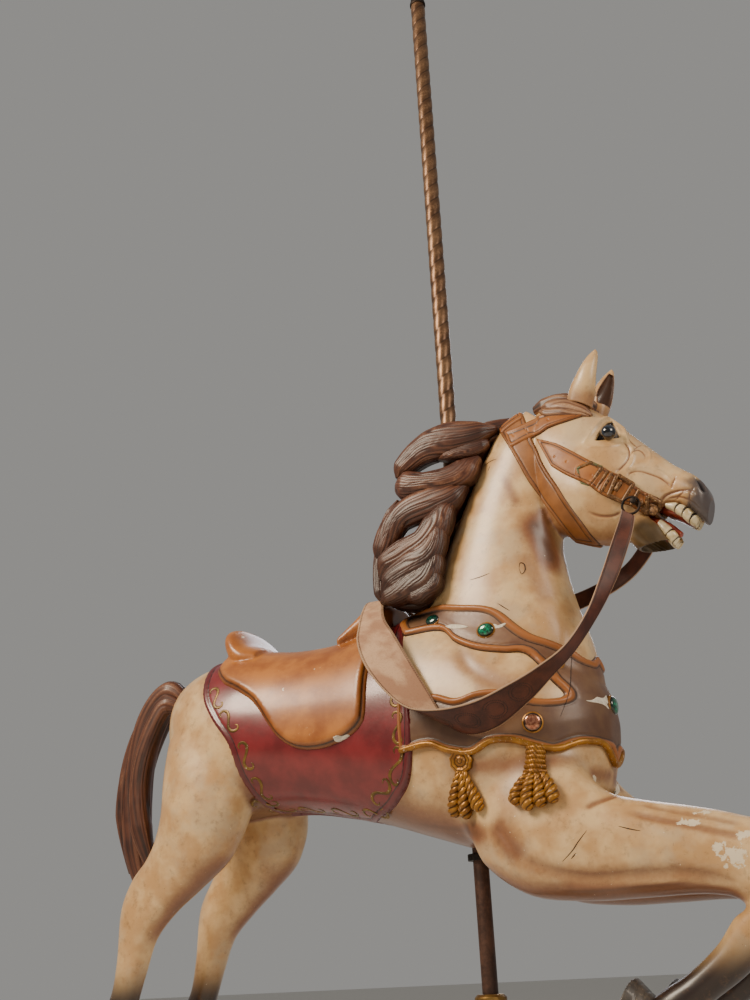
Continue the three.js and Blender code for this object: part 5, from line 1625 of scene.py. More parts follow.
# %% [markdown]
# ## Ears, eyes, teeth and tongue
# The ears are smooth lofts with a hollow cut out of the side that faces forwards and inwards. The
# eyes are glass balls set in the sockets. Each row of teeth is an arch with V cuts between the
# teeth, whose depths are painted dark as painted shade, since that is all that makes them look like
# single teeth.

# %% Ears
EAR = [(318, 1570, 374, 1540, 21, 45), (334, 1602, 391, 1582, 26, 50), (356, 1632, 399, 1612, 24, 54),
       (381, 1659, 405, 1644, 15, 57), (403, 1676, 407, 1668, 4, 58)]
EAR_HOLLOW = [(354, 1592, 404, 1570, 13, 38), (364, 1614, 412, 1596, 17, 41),
              (381, 1638, 414, 1622, 14, 45), (397, 1660, 411, 1651, 5, 50)]


def sided(stations, side):
    return [(*s[:5], side * s[5]) for s in stations]


def nearness(form, other, reach):
    """1 where a form's points touch another form's surface, falling to 0 at `reach` millimetres."""
    tree = tree_of(other)
    gaps = np.array([tree.find_nearest(p)[3] for p in form.points.tolist()]) / MM
    return 1 - soft_step(0.3 * reach, reach, gaps)


def ear(word, side):
    hollow = loft(sided(EAR_HOLLOW, side), 40, 40)
    form = one_skin([loft(sided(EAR, side), 50, 48)], 0.0017, [hollow])
    inside = nearness(form, hollow, 3)
    form.relax(6)
    form.push(-1.5 * hump(form.points[:, 0] / MM, 350, 14) * (1 - inside))
    # Dark and tan in the hollow of the ear and tan at its root: painted shade, with the airbrushed tan.
    form.paint["dark"] = 0.5 * inside
    root = 1 - soft_step(1560, 1595, form.points[:, 2] / MM)
    form.paint["tan"] = np.clip(0.35 * root + 0.15 + 0.6 * inside, 0, 1)
    form.paint["gum"] = 0 * inside
    form.piece(f"ear_{word}", PEARL, "horse_lacquer", f"ear_{word}")


for word, side in SIDES:
    ear(word, side)


# %% Eyes
def ball(centre, radius, rings=40, sides=56):
    lean = np.linspace(0, np.pi, rings + 2)[1:-1, None]
    turn = full_turn(sides)
    rows = np.stack([np.sin(lean) * np.cos(turn), np.sin(lean) * np.sin(turn), np.cos(lean) + 0 * turn], 2)
    return skinned(rows * radius + centre, np.array([[0, 0, 1], [0, 0, -1]]) * radius + centre)


def eye_glass():
    add, done = new_finish("dark_eye_glass")
    place = add(PLACE, out="Object")
    from_x = add(LESS, add(SPLIT, place, out="X"), (EYE_AT[0] + 1) * MM)
    from_z = add(LESS, add(SPLIT, place, out="Z"), (EYE_AT[2] - 1) * MM)
    squares = add(PLUS, add(TIMES, from_x, from_x), add(TIMES, from_z, from_z))
    gap = add(ROOT, squares)
    iris = add(RISE, gap, 0.0065, 0.0085)
    colour = add(MIX, iris, "#05060a", "#1b2534")
    rim = add(RISE, gap, 0.0115, 0.014)
    return done(Base_Color=add(MIX, rim, colour, "#120d0c"), Roughness=0.12, Coat_Weight=1.0,
                Coat_Roughness=0.03)


EYE_GLASS = eye_glass()
for word, side in SIDES:
    single(f"eye_{word}", ball(EYE_AT * np.array([1, side, 1]), EYE_RADIUS), EYE_GLASS, "eye_glass")

# %% Teeth and tongue
UPPER_TEETH = [(506, 1285, 502, 1274, 35), (530, 1281, 516, 1262, 38), (550, 1267, 533, 1244, 38),
               (560, 1255, 543, 1231, 34), (571, 1242, 556, 1221, 21)]
PALATE = [(500, 1271, 480, 1240, 22), (522, 1269, 500, 1230, 26), (540, 1255, 518, 1215, 25),
          (554, 1240, 535, 1200, 17), (561, 1231, 545, 1192, 6)]
LOWER_TEETH = [(488, 1255, 476, 1240, 26), (499, 1243, 484, 1225, 30), (509, 1231, 491, 1209, 30),
               (518, 1219, 498, 1196, 27), (524, 1208, 507, 1188, 17)]
MOUTH_FLOOR = [(508, 1266, 486, 1247, 18), (522, 1248, 498, 1226, 21), (534, 1228, 510, 1206, 19),
               (540, 1212, 521, 1195, 7)]
TONGUE = [(460, 1268, 452, 1253, 15), (486, 1259, 479, 1243, 17), (508, 1242, 500, 1229, 15),
          (526, 1221, 519, 1211, 9)]


def tooth_paint():
    add, done = new_finish("ivory_tooth_paint")
    cloud, fine = blotches(add, 16, 4), blotches(add, 4, 4, 0.6)
    colour = add(MIX, add(RISE, cloud, 0.3, 0.7), "#b9a273", "#e2d4b0")
    soil = add(TIMES, add(RISE, fine, 0.5, 0.75), 0.5)
    colour = add(MIX, soil, colour, "#8f7446")
    # Near black in the cuts between the teeth: painted shade.
    gap = add(RISE, add(stored("dark"), out="Fac"), 0.25, 0.7)
    return done(Base_Color=add(MIX, gap, colour, "#1a0d08"), Roughness=0.35, Coat_Weight=0.5,
                Normal=add(BUMP, Height=fine, Distance=0.2 * MM, Strength=0.5))


IVORY = tooth_paint()


def row_of_teeth(name, arch, hollow, start, way, gaps, front):
    """An arch of teeth, cut between them at `gaps` millimetres from `start` along `way`."""
    form = one_skin([loft(arch, 50, 60, 3)], 0.0012, [loft(hollow, 40, 40)])
    form.relax(4)
    x, y, z = (form.points / MM).T
    along = (x - start[0]) * way[0] + (z - start[1]) * way[1]
    drawn = on_plane(gaps) - np.array([start[0], 0, start[1]])
    depth = (x - start[0]) * -way[1] + (z - start[1]) * way[0]
    wedge = 1.2 + 1.6 * soft_step(-4, 14, depth)
    groove = np.max([hump(along, gap[0] * way[0] + gap[2] * way[1], wedge) for gap in drawn], axis=0)
    at_front = soft_step(front - 4, front + 4, along)
    across = np.max([hump(np.abs(y), gap, 1.3) for gap in (0, 12)], axis=0)
    groove = np.maximum(groove * (1 - at_front), across * at_front)
    form.push(-3.2 * groove)
    form.paint["dark"] = groove
    return form.piece(name, IVORY, "tooth_paint", name)


UPPER_GAPS = [(677, 505, -36), (684, 510, -36), (691, 516, -36), (697, 522, -33)]
LOWER_GAPS = [(669, 531, -30), (676, 537, -30)]
row_of_teeth("teeth_upper", UPPER_TEETH, PALATE, (504, 1280), (0.755, -0.656), UPPER_GAPS, 74)
row_of_teeth("teeth_lower", LOWER_TEETH, MOUTH_FLOOR, (482, 1247), (0.596, -0.803), LOWER_GAPS, 56)


def wet_paint(name, light, deep):
    add, done = new_finish(name)
    colour = add(MIX, add(RISE, blotches(add, 14, 5), 0.35, 0.7), deep, light)
    return done(Base_Color=colour, Roughness=0.3, Coat_Weight=0.6,
                Normal=add(BUMP, Height=blotches(add, 5, 4), Distance=0.3 * MM, Strength=0.6))


GUM = [(500, 1288, 490, 1268, 20), (519, 1282, 506, 1257, 24), (538, 1269, 524, 1246, 24),
       (552, 1256, 538, 1234, 20), (563, 1245, 551, 1226, 10)]
gum = one_skin([loft(GUM, 50, 44)], 0.002)
gum.relax(3)
gum.piece("gum", wet_paint("gum_paint", "#7c2c18", "#451309"), "tongue_paint")
tongue = one_skin([loft(TONGUE, 50, 44)], 0.0017)
tongue.push(-1.6 * hump(tongue.points[:, 1] / MM, 0, 3) * soft_step(0, 0.8, tongue.normals()[:, 2]))
tongue.piece("tongue", wet_paint("tongue_paint", "#c0512c", "#8e2f1b"), "tongue_paint", "tongue")

# %% [markdown]
# ## Hooves
# The hooves are plain turned-up cones, painted dark, with the rings that horn grows in.

# %% Hooves
FORE_HOOF = [(392, 262, 376, 312, 30), (372, 240, 360, 328, 42), (335, 226, 352, 338, 50),
             (290, 248, 340, 350, 57)]
HIND_HOOF = [(-882, 258, -932, 298, 28), (-892, 236, -952, 290, 40), (-908, 208, -974, 272, 48),
             (-930, 182, -996, 252, 54)]


def hoof_paint():
    add, done = new_finish("dark_hoof_paint")
    cloud, fine = blotches(add, 30, 4), blotches(add, 6, 5, 0.65)
    colour = add(MIX, add(RISE, cloud, 0.3, 0.7), "#2e2a28", "#4d463f")
    scuff = add(TIMES, add(RISE, fine, 0.56, 0.72), 0.6)
    return done(Base_Color=add(MIX, scuff, colour, "#8a7c68"), Roughness=0.45, Coat_Weight=0.2,
                Normal=add(BUMP, Height=fine, Distance=0.3 * MM, Strength=0.5))


HORN = hoof_paint()


def hoof(name, stations, side_y, move):
    """A hoof from its stations, moved by `move` along x and z, with growth rings."""
    mx, mz = move
    placed = [(a + mx, b + mz, c + mx, d + mz, w, side_y) for a, b, c, d, w in stations]
    form = one_skin([loft(placed, 40, 56)], 0.0024)
    form.relax(3)
    start, end = (np.array([s[0] + s[2], s[1] + s[3]]) / 2 for s in (placed[0], placed[-1]))
    along = (form.points[:, [0, 2]] / MM - start) @ unit(end - start)
    length = np.linalg.norm(end - start)
    wall = 1 - soft_step(length - 10, length - 2, along)
    rings = sum(hump(along, at, 1.6) for at in (14, 27, 41)) * wall
    frog = (1 - wall) * hump(form.points[:, 1] / MM, side_y, 9)
    form.push(-1.3 * rings + 2.5 * hump(along, 3, 5) * wall - 4 * frog)
    form.piece(name, HORN, "hoof_paint", name)


FORE_Y, HIND_Y = 98, 104
hoof("hoof_fore_left", FORE_HOOF, FORE_Y, (LEFT_FORELEG["ahead"], LEFT_FORELEG["up"]))
hoof("hoof_fore_right", FORE_HOOF, -FORE_Y, (0, 0))
hoof("hoof_hind_left", HIND_HOOF, HIND_Y, (LEFT_HINDLEG_AHEAD, 0))
hoof("hoof_hind_right", HIND_HOOF, -HIND_Y, (0, 0))

# %% [markdown]
# ## Pole and floor guide
# Turned parts are profiles spun round an axis. The pole is a steel rod in a twisted brass casing,
# which is a tube of two rounded strips with a sharp valley between them, one turn in 94 mm.

# %% Turned parts
def turned(profile, sides=72, centre=(0, 0)):
    """A closed profile of radius and height in millimetres, spun round the upright axis."""
    profile = np.asarray(profile, float)
    turn = full_turn(sides)
    x = centre[0] + profile[:, 0:1] * np.cos(turn)
    y = centre[1] + profile[:, 0:1] * np.sin(turn)
    rows = np.stack([x, y, profile[:, 1:2] + 0 * turn], 2)
    if profile[0, 0] > 0 and np.allclose(profile[0], profile[-1]):
        return looped(rows[:-1])
    return skinned(rows, [[*centre, profile[0, 1]], [*centre, profile[-1, 1]]])


def rounded(corners, bevel=1.2, steps=3):
    """A closed profile whose corners are rounded, so that edges catch the light."""
    corners = [np.array(c, float) for c in corners[:-1]]
    line = []
    for before, at, after in zip(corners[-1:] + corners[:-1], corners, corners[1:] + corners[:1]):
        back, on = before - at, after - at
        reach = min(bevel, 0.4 * np.linalg.norm(back), 0.4 * np.linalg.norm(on))
        start, end = at + unit(back) * reach, at + unit(on) * reach
        for t in np.linspace(0, 1, steps + 1):
            line.append((1 - t) ** 2 * start + 2 * t * (1 - t) * at + t**2 * end)
    return np.vstack([line, line[:1]])


def metal(name, light, deep, metallic, rough, size_mm=30, stretch=(1, 1, 1)):
    """Metal with patina in patches and finer scratches in its gloss."""
    add, done = new_finish(name)
    cloud, fine = blotches(add, size_mm, 4, 0.6), blotches(add, 6, 6, 0.7, stretch=stretch)
    patches = add(TIMES_PLUS, fine, 0.35, add(TIMES, cloud, 0.65))
    return done(Base_Color=add(MIX, add(RISE, patches, 0.4, 0.62), light, deep), Metallic=metallic,
                Roughness=add(TIMES_PLUS, patches, 0.35, rough - 0.15),
                Normal=add(BUMP, Height=fine, Distance=0.15 * MM, Strength=0.4))


# %% Pole
ROD_RADIUS, ROD_LOW, ROD_HIGH = 16.5, 148, 2960
CASING_RADIUS, CASING_BORE, CASING_LOW, CASING_HIGH = 20, 16.8, 1275, 2940
TWIST_PITCH, STRIPS, VALLEY = 94, 2, 2.2


def twisted_casing():
    rings, sides = 560, 60
    z = np.linspace(CASING_LOW, CASING_HIGH, rings)[:, None]
    turn = full_turn(sides)
    lobe = np.abs(np.cos(STRIPS / 2 * (turn - 2 * np.pi * z / TWIST_PITCH)))
    outer = CASING_RADIUS - VALLEY * (1 - lobe**0.45)
    radius = np.vstack([outer, np.full((2, sides), CASING_BORE)])
    height = np.vstack([z, [[CASING_HIGH], [CASING_LOW]]])
    rows = np.stack([radius * np.cos(turn), radius * np.sin(turn), height + 0 * turn], 2)
    return looped(rows), np.append(lobe.ravel(), np.full(2 * sides, 0.5))


def brass_paint():
    add, done = new_finish("aged_brass")
    lobe = add(stored("lobe"), out="Fac")
    cloud, fine = blotches(add, 60, 4, 0.6), blotches(add, 5, 5, 0.7)
    colour = add(MIX, add(RISE, cloud, 0.35, 0.7), "#5c412d", "#755840")
    rub = add(TIMES, add(RISE, lobe, 0.6, 1.0), add(RISE, fine, 0.35, 0.65))
    colour = add(MIX, rub, colour, "#8a694d")
    valley = add(LESS, 1.0, add(RISE, lobe, 0.02, 0.26))
    colour = add(MIX, add(TIMES, valley, 0.7), colour, "#33231a")
    return done(Base_Color=colour, Metallic=0.6, Roughness=add(TIMES_PLUS, fine, 0.25, 0.25),
                Normal=add(BUMP, Height=fine, Distance=0.15 * MM, Strength=0.5))


BRASS = brass_paint()
grouped("brass_casing", "lobe", [twisted_casing()], BRASS, "pole_brass", "brass_casing")
ROD_PAINT = metal("dark_rod_paint", "#3a261e", "#5a3d2f", 0.35, 0.45, 50)
IRON = metal("blackened_iron", "#1d1a19", "#3b2f28", 0.8, 0.5, 24)
WORN_BRASS = metal("turned_bush_brass", "#9a7a45", "#6c4f2c", 0.9, 0.4)
AXIS, REST_GAP = 0.01, 0.3
rod_profile = [(AXIS, ROD_LOW), (ROD_RADIUS - 2, ROD_LOW), (ROD_RADIUS, ROD_LOW + 2)]
rod_profile += [(ROD_RADIUS, z) for z in np.linspace(ROD_LOW + 12, ROD_HIGH - 12, 60)]
rod_profile += [(ROD_RADIUS, ROD_HIGH - 2), (ROD_RADIUS - 2, ROD_HIGH), (AXIS, ROD_HIGH)]
single("pole_rod", turned(rod_profile, 48), ROD_PAINT, "rod_paint")

# %% Cap and hanger eye
CAP_LOW, CAP_HIGH, CAP_NECK = CASING_HIGH + REST_GAP, ROD_HIGH + 34, 9
cap_profile = [(AXIS, ROD_HIGH + REST_GAP), (CASING_BORE, ROD_HIGH + REST_GAP), (CASING_BORE, CAP_LOW),
               (CASING_RADIUS + 1.4, CAP_LOW), (CASING_RADIUS + 2, CAP_LOW + 0.8),
               (CASING_RADIUS + 2, CAP_LOW + 7.2), (CASING_RADIUS + 1.2, CAP_LOW + 8.2),
               (CASING_RADIUS - 2.6, ROD_HIGH + 9), (CASING_RADIUS - 4, ROD_HIGH + 12),
               (CAP_NECK + 1, CAP_HIGH - 1), (CAP_NECK, CAP_HIGH), (AXIS, CAP_HIGH)]
single("pole_cap", turned(cap_profile), IRON, "iron")
EYE_MIDDLE, EYE_RING, WIRE = CAP_HIGH + REST_GAP + 120, 17, 7


def ring_of(centre, radius, wire, steps=96, sides=28):
    """A round ring that stands upright, with its hole looking along y."""
    turn, lean = full_turn(steps).T, full_turn(sides)
    away = radius + wire * np.cos(lean)
    rows = np.stack([away * np.cos(turn), wire * np.sin(lean) + 0 * turn, away * np.sin(turn)], 2)
    return looped(rows + centre)


stem = [(AXIS, CAP_HIGH + REST_GAP), (WIRE - 1, CAP_HIGH + REST_GAP), (WIRE, CAP_HIGH + 1.3),
        (WIRE, EYE_MIDDLE - EYE_RING + 2), (AXIS, EYE_MIDDLE - EYE_RING + 3)]
eye_ring = joined([turned(stem, 40), ring_of((0, 0, EYE_MIDDLE), EYE_RING, WIRE)])
single("hanger_eye", eye_ring, IRON, "iron")
COLLAR_BORE, COLLAR_RADIUS, COLLAR_LOW, COLLAR_HIGH = 16.8, 27, 592, 606
belly = [(COLLAR_BORE, COLLAR_LOW), (COLLAR_RADIUS, COLLAR_LOW), (COLLAR_RADIUS, COLLAR_HIGH),
         (COLLAR_BORE, COLLAR_HIGH), (COLLAR_BORE, COLLAR_LOW)]
single("belly_collar", turned(rounded(belly, 1.5)), IRON, "iron")

# %% Floor plate, guide tube and bush
PLATE_SIDE, PLATE_THICK = 220, 12
TUBE_OUTER, TUBE_BORE, GUIDE_TOP, BUSH_BORE, BUSH_TALL = 27, 22, 330, 17.5, 40
BOLT_SQUARE = 170


def rounded_plate(half, thick, corner=10, bevel=1.5, steps=8):
    """A square plate with round corners and a bevel on its upper edge."""
    middles, ways = [], []
    for k, quarter in enumerate([(1, 1), (-1, 1), (-1, -1), (1, -1)]):
        for t in np.linspace(0, np.pi / 2, steps):
            angle = k * np.pi / 2 + t
            middles.append([*((half - corner) * np.array(quarter)), 0])
            ways.append([math.cos(angle), math.sin(angle), 0])
    levels = [(corner, 0), (corner, thick - bevel), (corner - bevel, thick)]
    rows = np.stack([np.array(middles) + np.array(ways) * radius + [0, 0, z] for radius, z in levels])
    return skinned(rows, [[0, 0, 0], [0, 0, thick]])


shoulder, foot = GUIDE_TOP - BUSH_TALL, PLATE_THICK + REST_GAP
tube_corners = [(TUBE_BORE, foot), (TUBE_OUTER + 14, foot), (TUBE_OUTER + 14, foot + 10),
                (TUBE_OUTER, foot + 24), (TUBE_OUTER, shoulder), (TUBE_BORE, shoulder), (TUBE_BORE, foot)]
bush_corners = [(BUSH_BORE, shoulder + REST_GAP), (TUBE_OUTER + 6, shoulder + REST_GAP),
                (TUBE_OUTER + 6, GUIDE_TOP - 6), (TUBE_OUTER, GUIDE_TOP), (BUSH_BORE, GUIDE_TOP),
                (BUSH_BORE, shoulder + REST_GAP)]
single("floor_plate", rounded_plate(PLATE_SIDE / 2, PLATE_THICK), IRON, "iron", SOCKET)
single("guide_tube", turned(rounded(tube_corners)), IRON, "iron", SOCKET)
single("guide_bush", turned(rounded(bush_corners)), WORN_BRASS, "brass_bush", SOCKET)
bolt_head = [(AXIS, 19.5), (3, 19.3), (6.5, 18.2), (9.6, 16), (11.6, 13.4), (12, PLATE_THICK),
             (AXIS, PLATE_THICK)]
bolts = [turned(bolt_head, 32, (x * BOLT_SQUARE / 2, y * BOLT_SQUARE / 2)) for x in (-1, 1)
         for y in (-1, 1)]
hand_over(make_piece("floor_bolts", *joined(bolts)), IRON, "iron", SOCKET)

# %% [markdown]
# ## Gilded trim
# Below the collar hangs a gilt welt with tassels on it. Every rope of a tassel is three strands
# laid round each other, so its outline is a ring of three lobes that turns as it runs along the
# path. The same tube without lobes makes the welt, and a flat one makes the painted scrolls.

# %% Ropes and tubes
def rope(path, radius, lobes=0, depth=0.0, pitch=20.0, sides=26, rings=60, squash=1.0, face=(0, -1, 0)):
    """A tube along a path in millimetres, with rounded ends, that may have twisted lobes."""
    route = Path(path, rings, face)
    girth = np.interp(np.linspace(0, 1, rings), np.linspace(0, 1, len(radius)), radius)
    from_end = np.minimum(route.along, route.along[-1] - route.along)
    rounding = 1 - (1 - np.clip(from_end / np.maximum(girth, 0.1), 0, 1)) ** 2
    girth *= np.sqrt(np.clip(rounding, 0.002, 1))
    turn = full_turn(sides)
    twist = turn - 2 * np.pi * route.along[:, None] / pitch
    lobe = np.abs(np.cos(lobes / 2 * twist))
    size = girth[:, None] * (1 - depth * (1 - lobe**0.6))
    form = route.tube(np.cos(turn) * size * squash, np.sin(turn) * size)
    return form, np.append(lobe.ravel(), [1.0, 1.0])


def gilt(name, low, high):
    add, done = new_finish(name)
    lobe = add(stored("lobe"), out="Fac")
    cloud, fine = blotches(add, 24, 4), blotches(add, 4.5, 5, 0.65)
    colour = add(MIX, add(RISE, cloud, 0.3, 0.7), low, high)
    # Where `lobe` is low, as in the valleys between twisted strands and between a rosette's rings, the
    # colour is darkened: painted shade.
    valley = add(LESS, 1.0, add(RISE, lobe, 0.1, 0.55))
    colour = add(MIX, add(TIMES, valley, 0.85), colour, "#3a220f")
    chipped = add(RISE, add(PLUS, add(TIMES, lobe, 0.1), fine), 0.72, 0.78)
    metallic = add(TIMES, add(LESS, 1.0, chipped), 0.45)
    return done(Base_Color=add(MIX, chipped, colour, "#ddd2bd"), Metallic=metallic,
                Roughness=add(TIMES_PLUS, fine, 0.3, 0.22),
                Normal=add(BUMP, Height=fine, Distance=0.25 * MM, Strength=0.6))


GILT = gilt("gold_leaf_paint", "#7c4f18", "#aa762b")
DULL_GILT = gilt("dulled_scroll_gold", "#54401b", "#86672e")


# %% Tassels
TASSELS = {
    "tassel_rear": ((462, 761), 25.2, [
        [(461, 770, 8), (458, 786, 10), (457, 802, 11), (458, 815, 9)],
        [(463, 771, 10), (466, 788, 13), (469, 804, 14), (471, 819, 11)],
        [(465, 770, 8), (472, 786, 10), (479, 800, 11), (483, 812, 9)],
    ], (6.5, 11, 14.5, 14.5)),
    "tassel_front": ((536, 755), 0, [
        [(530, 774, 9), (524, 786, 12), (519, 797, 12), (518, 807, 10)],
        [(534, 775, 11), (531, 788, 14), (530, 800, 14), (531, 812, 11)],
        [(538, 775, 11), (541, 788, 13), (542, 799, 13), (542, 809, 11)],
        [(542, 774, 9), (549, 785, 12), (553, 795, 12), (553, 805, 10)],
    ], (7, 12.5, 15.5, 15)),
}
ROSETTE = [(1, -6), (1, 1), (0.93, 5), (0.8, 7), (0.62, 6), (0.5, 4), (0.4, 6), (0.24, 8), (0, 8.6)]
ROSETTE_SIDES, ROSETTE_TIP, PETAL_COUNT = 56, 0.02, 9
BINDING = [(-7, 23), (-2, 23.5), (3, 23), (8, 24), (13, 26), (18, 28)]


def seated(centre, lean, radii, heights, ends, sides, wide=1.0, tall=1.0, petals=0.0):
    """A round form that stands square to the skin on `centre`, from radii and heights."""
    lean = unit(np.array(lean))
    level = unit(np.cross([0, 0, 1.0], lean))
    up = np.cross(lean, level)
    turn = full_turn(sides)
    across = radii[:, None] * (1 + petals * np.cos(PETAL_COUNT * turn))
    rows = centre + (across * np.cos(turn) * wide)[..., None] * level
    rows = rows + (across * np.sin(turn) * tall)[..., None] * up
    rows = rows + (heights[:, None] + 0 * turn)[..., None] * lean
    return skinned(rows, [centre + lean * end for end in ends])


def rosette(centre, radius, lean):
    """A round knot of rings, domed in the middle."""
    shares, heights = np.array(ROSETTE).T
    rows = smooth_rows(np.column_stack([np.maximum(radius * shares, ROSETTE_TIP), heights]), 30)
    form = seated(centre, lean, rows[:, 0], rows[:, 1], heights[[0, -1]], ROSETTE_SIDES, petals=0.04)
    return form, np.append(np.repeat(0.55 + 0.45 * np.sin(rows[:, 0] * 0.9), ROSETTE_SIDES), [1, 1])


def tassel(name):
    (px, py), knot, hanks, girth = TASSELS[name]
    tubes = [rope([lifted(body_tree, *step) for step in route], girth, 3, 0.34, 40, 36, 70)
             for route in hanks]
    spot, lean = seen(body_tree, px, py)
    if knot:
        tubes.append(rosette(np.array(spot) / MM + np.array(lean) * 5, knot, lean))
    else:
        for drop, wide in BINDING:
            places = [(px - wide / 2.3, py + drop, 4), (px, py + drop + 1, 14),
                      (px + wide / 2.3, py + drop, 4)]
            turns = [lifted(body_tree, *place) for place in places]
            tubes.append(rope(turns, (5, 6.5, 6.5, 5), 3, 0.16, 16, 20, 40))
    for word, side in SIDES[::-1]:
        grouped(f"{name}_{word}", "lobe", on_side(tubes, side), GILT, "gold_paint", f"{name}_{word}")


for name in TASSELS:
    tassel(name)

# %% Gilt welt and blanket scrolls
WELT_RADIUS, WELT_LIFT = 7.0, 6.0
welt_flat = np.vstack([welt_line + [0, 5], [[0, 757]], welt_line * [-1, 1] + [0, 5]])
welt_flat = welt_flat[np.argsort(welt_flat[:, 0])][::2]
welt_spots, welt_leans, _ = laid(chest_wrap, smooth_rows(welt_flat, 160))
welt_path = welt_spots / MM + welt_leans * WELT_LIFT
welt = rope(welt_path, (WELT_RADIUS, WELT_RADIUS), sides=22, rings=420, face=(0, 0, 1))
grouped("collar_welt", "lobe", [welt], GILT, "gold_paint")
SCROLL = [(-20, 8), (-26, 12), (-33, 8), (-33, -1), (-26, -8), (-14, -8), (-2, 0), (10, 8), (22, 10),
          (31, 4), (32, -5), (26, -10), (20, -7)]
SCROLL_INSET, SCROLL_STEP, BLANKET_TOP = 34, 88, 7.2
SCROLL_GIRTH = (0.8, 2.8, 4.0, 3.0, 4.0, 2.8, 0.8)


def scrolls():
    """S-shaped scrolls in a row inside the blanket's border, on both sides."""
    border = smooth_rows(np.array(blanket), 400)
    steps = np.linalg.norm(np.diff(border, axis=0), axis=1)
    along = np.append(0, np.cumsum(steps))
    tubes = []
    for at in np.arange(60, along[-1] - 60, SCROLL_STEP):
        i = np.searchsorted(along, at)
        way = unit(border[min(i + 12, 400)] - border[i - 12])
        inward = np.array([-way[1], way[0]]) * np.sign(np.cross(way, np.array([0, -370]) - border[i]))
        centre = border[i] + inward * SCROLL_INSET
        drawn = smooth_rows(np.array([centre + way * a + inward * b for a, b in SCROLL]), 60)
        spots, leans, hit = laid(barrel_wrap, drawn)
        if hit.all():
            path = spots / MM + leans * BLANKET_TOP
            tubes.append(rope(path, SCROLL_GIRTH, sides=12, rings=90, squash=0.25, face=leans.mean(0)))
    return tubes + on_side(tubes, 1)


grouped("blanket_scrolls", "lobe", scrolls(), DULL_GILT, "gold_paint")

# %% [markdown]
# ## Stones
# Domed glass stones and one bronze stud on each side sit in dark rims on the collar. Each is a
# turned dome that is stretched to an oval and set square to the collar where it lies.

# %% Stones
def dome(centre, lean, wide, tall, high, foot=-5, rings=22, sides=48):
    """A dome of an oval plan, with a foot below its seat, and how near each point is to the rim."""
    rise = np.linspace(0, np.pi / 2, rings)[:-1]
    radii, heights = np.append(1, np.cos(rise) ** 0.8), np.append(foot, np.sin(rise) * high)
    form = seated(centre, lean, radii, heights, (foot, high), sides, wide, tall)
    return form, np.append(np.repeat(np.append(1, np.cos(rise)), sides), [1, 0])


def stone_glass(name, light, deep, metallic):
    """Glass over foil: bright in the middle, dark at the rim, under a hard gloss."""
    add, done = new_finish(name)
    rim = add(stored("lobe"), out="Fac")
    sparkle = blotches(add, 5, 3)
    middle = add(MIX, add(RISE, sparkle, 0.35, 0.65), deep, light)
    return done(Base_Color=add(MIX, add(RISE, rim, 0.5, 0.95), middle, "#04150f"), Metallic=metallic,
                Roughness=0.16, Coat_Weight=1.0, Coat_Roughness=0.03)


GREEN_GLASS = stone_glass("green_stone_glass", "#12966a", "#05402c", 0.35)
# The stones on the withers are made darker, as painted shadow under the mane.
SHADED_GLASS = stone_glass("grimed_stone_glass", "#0c4a3c", "#031a14", 0.2)
BRONZE = stone_glass("bronze_stud_metal", "#d6906a", "#9a5233", 0.8)
STONES = {"jewel_shoulder": (109, 1050, 19, 15, 8), "jewel_withers": (-26, 1101, 17, 14, 7),
          "jewel_side": (248, 962, 17, 15, 7), "jewel_bronze": (207, 834, 19, 19, 8)}
STONE_FINISHES = {"jewel_bronze": (BRONZE, "bronze_stud"), "jewel_withers": (SHADED_GLASS, "green_glass")}
RIM_WIDE, RIM_HIGH, SEAT = 3.0, 4.2, 1.0
collar_tree = tree_of(collar)
settings_of_stones = []


def set_stone(kind, name, spot, lean, wide, tall, high):
    spot, lean = np.array(spot) / MM, np.array(lean)
    finish, slot = STONE_FINISHES.get(kind, (GREEN_GLASS, "green_glass"))
    grouped(name, "lobe", [dome(spot + lean * SEAT, lean, wide, tall, high)], finish, slot, name)
    settings_of_stones.append(dome(spot - lean * SEAT, lean, wide + RIM_WIDE, tall + RIM_WIDE, RIM_HIGH))


for name, (x, z, *sizes) in STONES.items():
    for word, side in SIDES:
        start = Vector((x * MM, side * BESIDE, z * MM))
        spot, lean = collar_tree.ray_cast(start, Vector((0, -side, 0)))[:2]
        set_stone(name, f"{name}_{word}", spot, lean, *sizes)
BEFORE_CHEST, CHEST_STONE = (0.8, 0.0005, 0.877), (20, 20, 9)
spot = collar_tree.ray_cast(Vector(BEFORE_CHEST), Vector((-1, 0, 0)))[0]
set_stone("jewel_chest", "jewel_chest", (spot.x, 0, spot.z), (1, 0, 0), *CHEST_STONE)
grouped("stone_rims", "lobe", settings_of_stones, GILT, "gold_paint")

# %% [markdown]
# ## Moulded buckles
# The buckle frames, keepers and the five-sided patch on the cheek straps are raised rims that were
# painted gold and have gone green and brown since. Each is a low tube that follows a drawn outline.

# %% Buckles on the cheek straps
def tarnished(name, green):
    """Gold paint gone brown, with `green` from 0 to 1 for how much of it is green."""
    add, done = new_finish(name)
    fine, cloud = blotches(add, 5, 5, 0.65), blotches(add, 17, 3)
    colour = add(MIX, add(RISE, fine, 0.3, 0.7), "#3f2615", "#8a6238")
    colour = add(MIX, add(TIMES, add(RISE, cloud, 0.4, 0.55), green), colour, "#5f6a4a")
    colour = add(MIX, add(RISE, fine, 0.6, 0.72), colour, "#d8bf94")
    return done(Base_Color=colour, Metallic=0.25, Roughness=add(TIMES_PLUS, fine, 0.3, 0.25),
                Normal=add(BUMP, Height=fine, Distance=0.4 * MM, Strength=0.6))


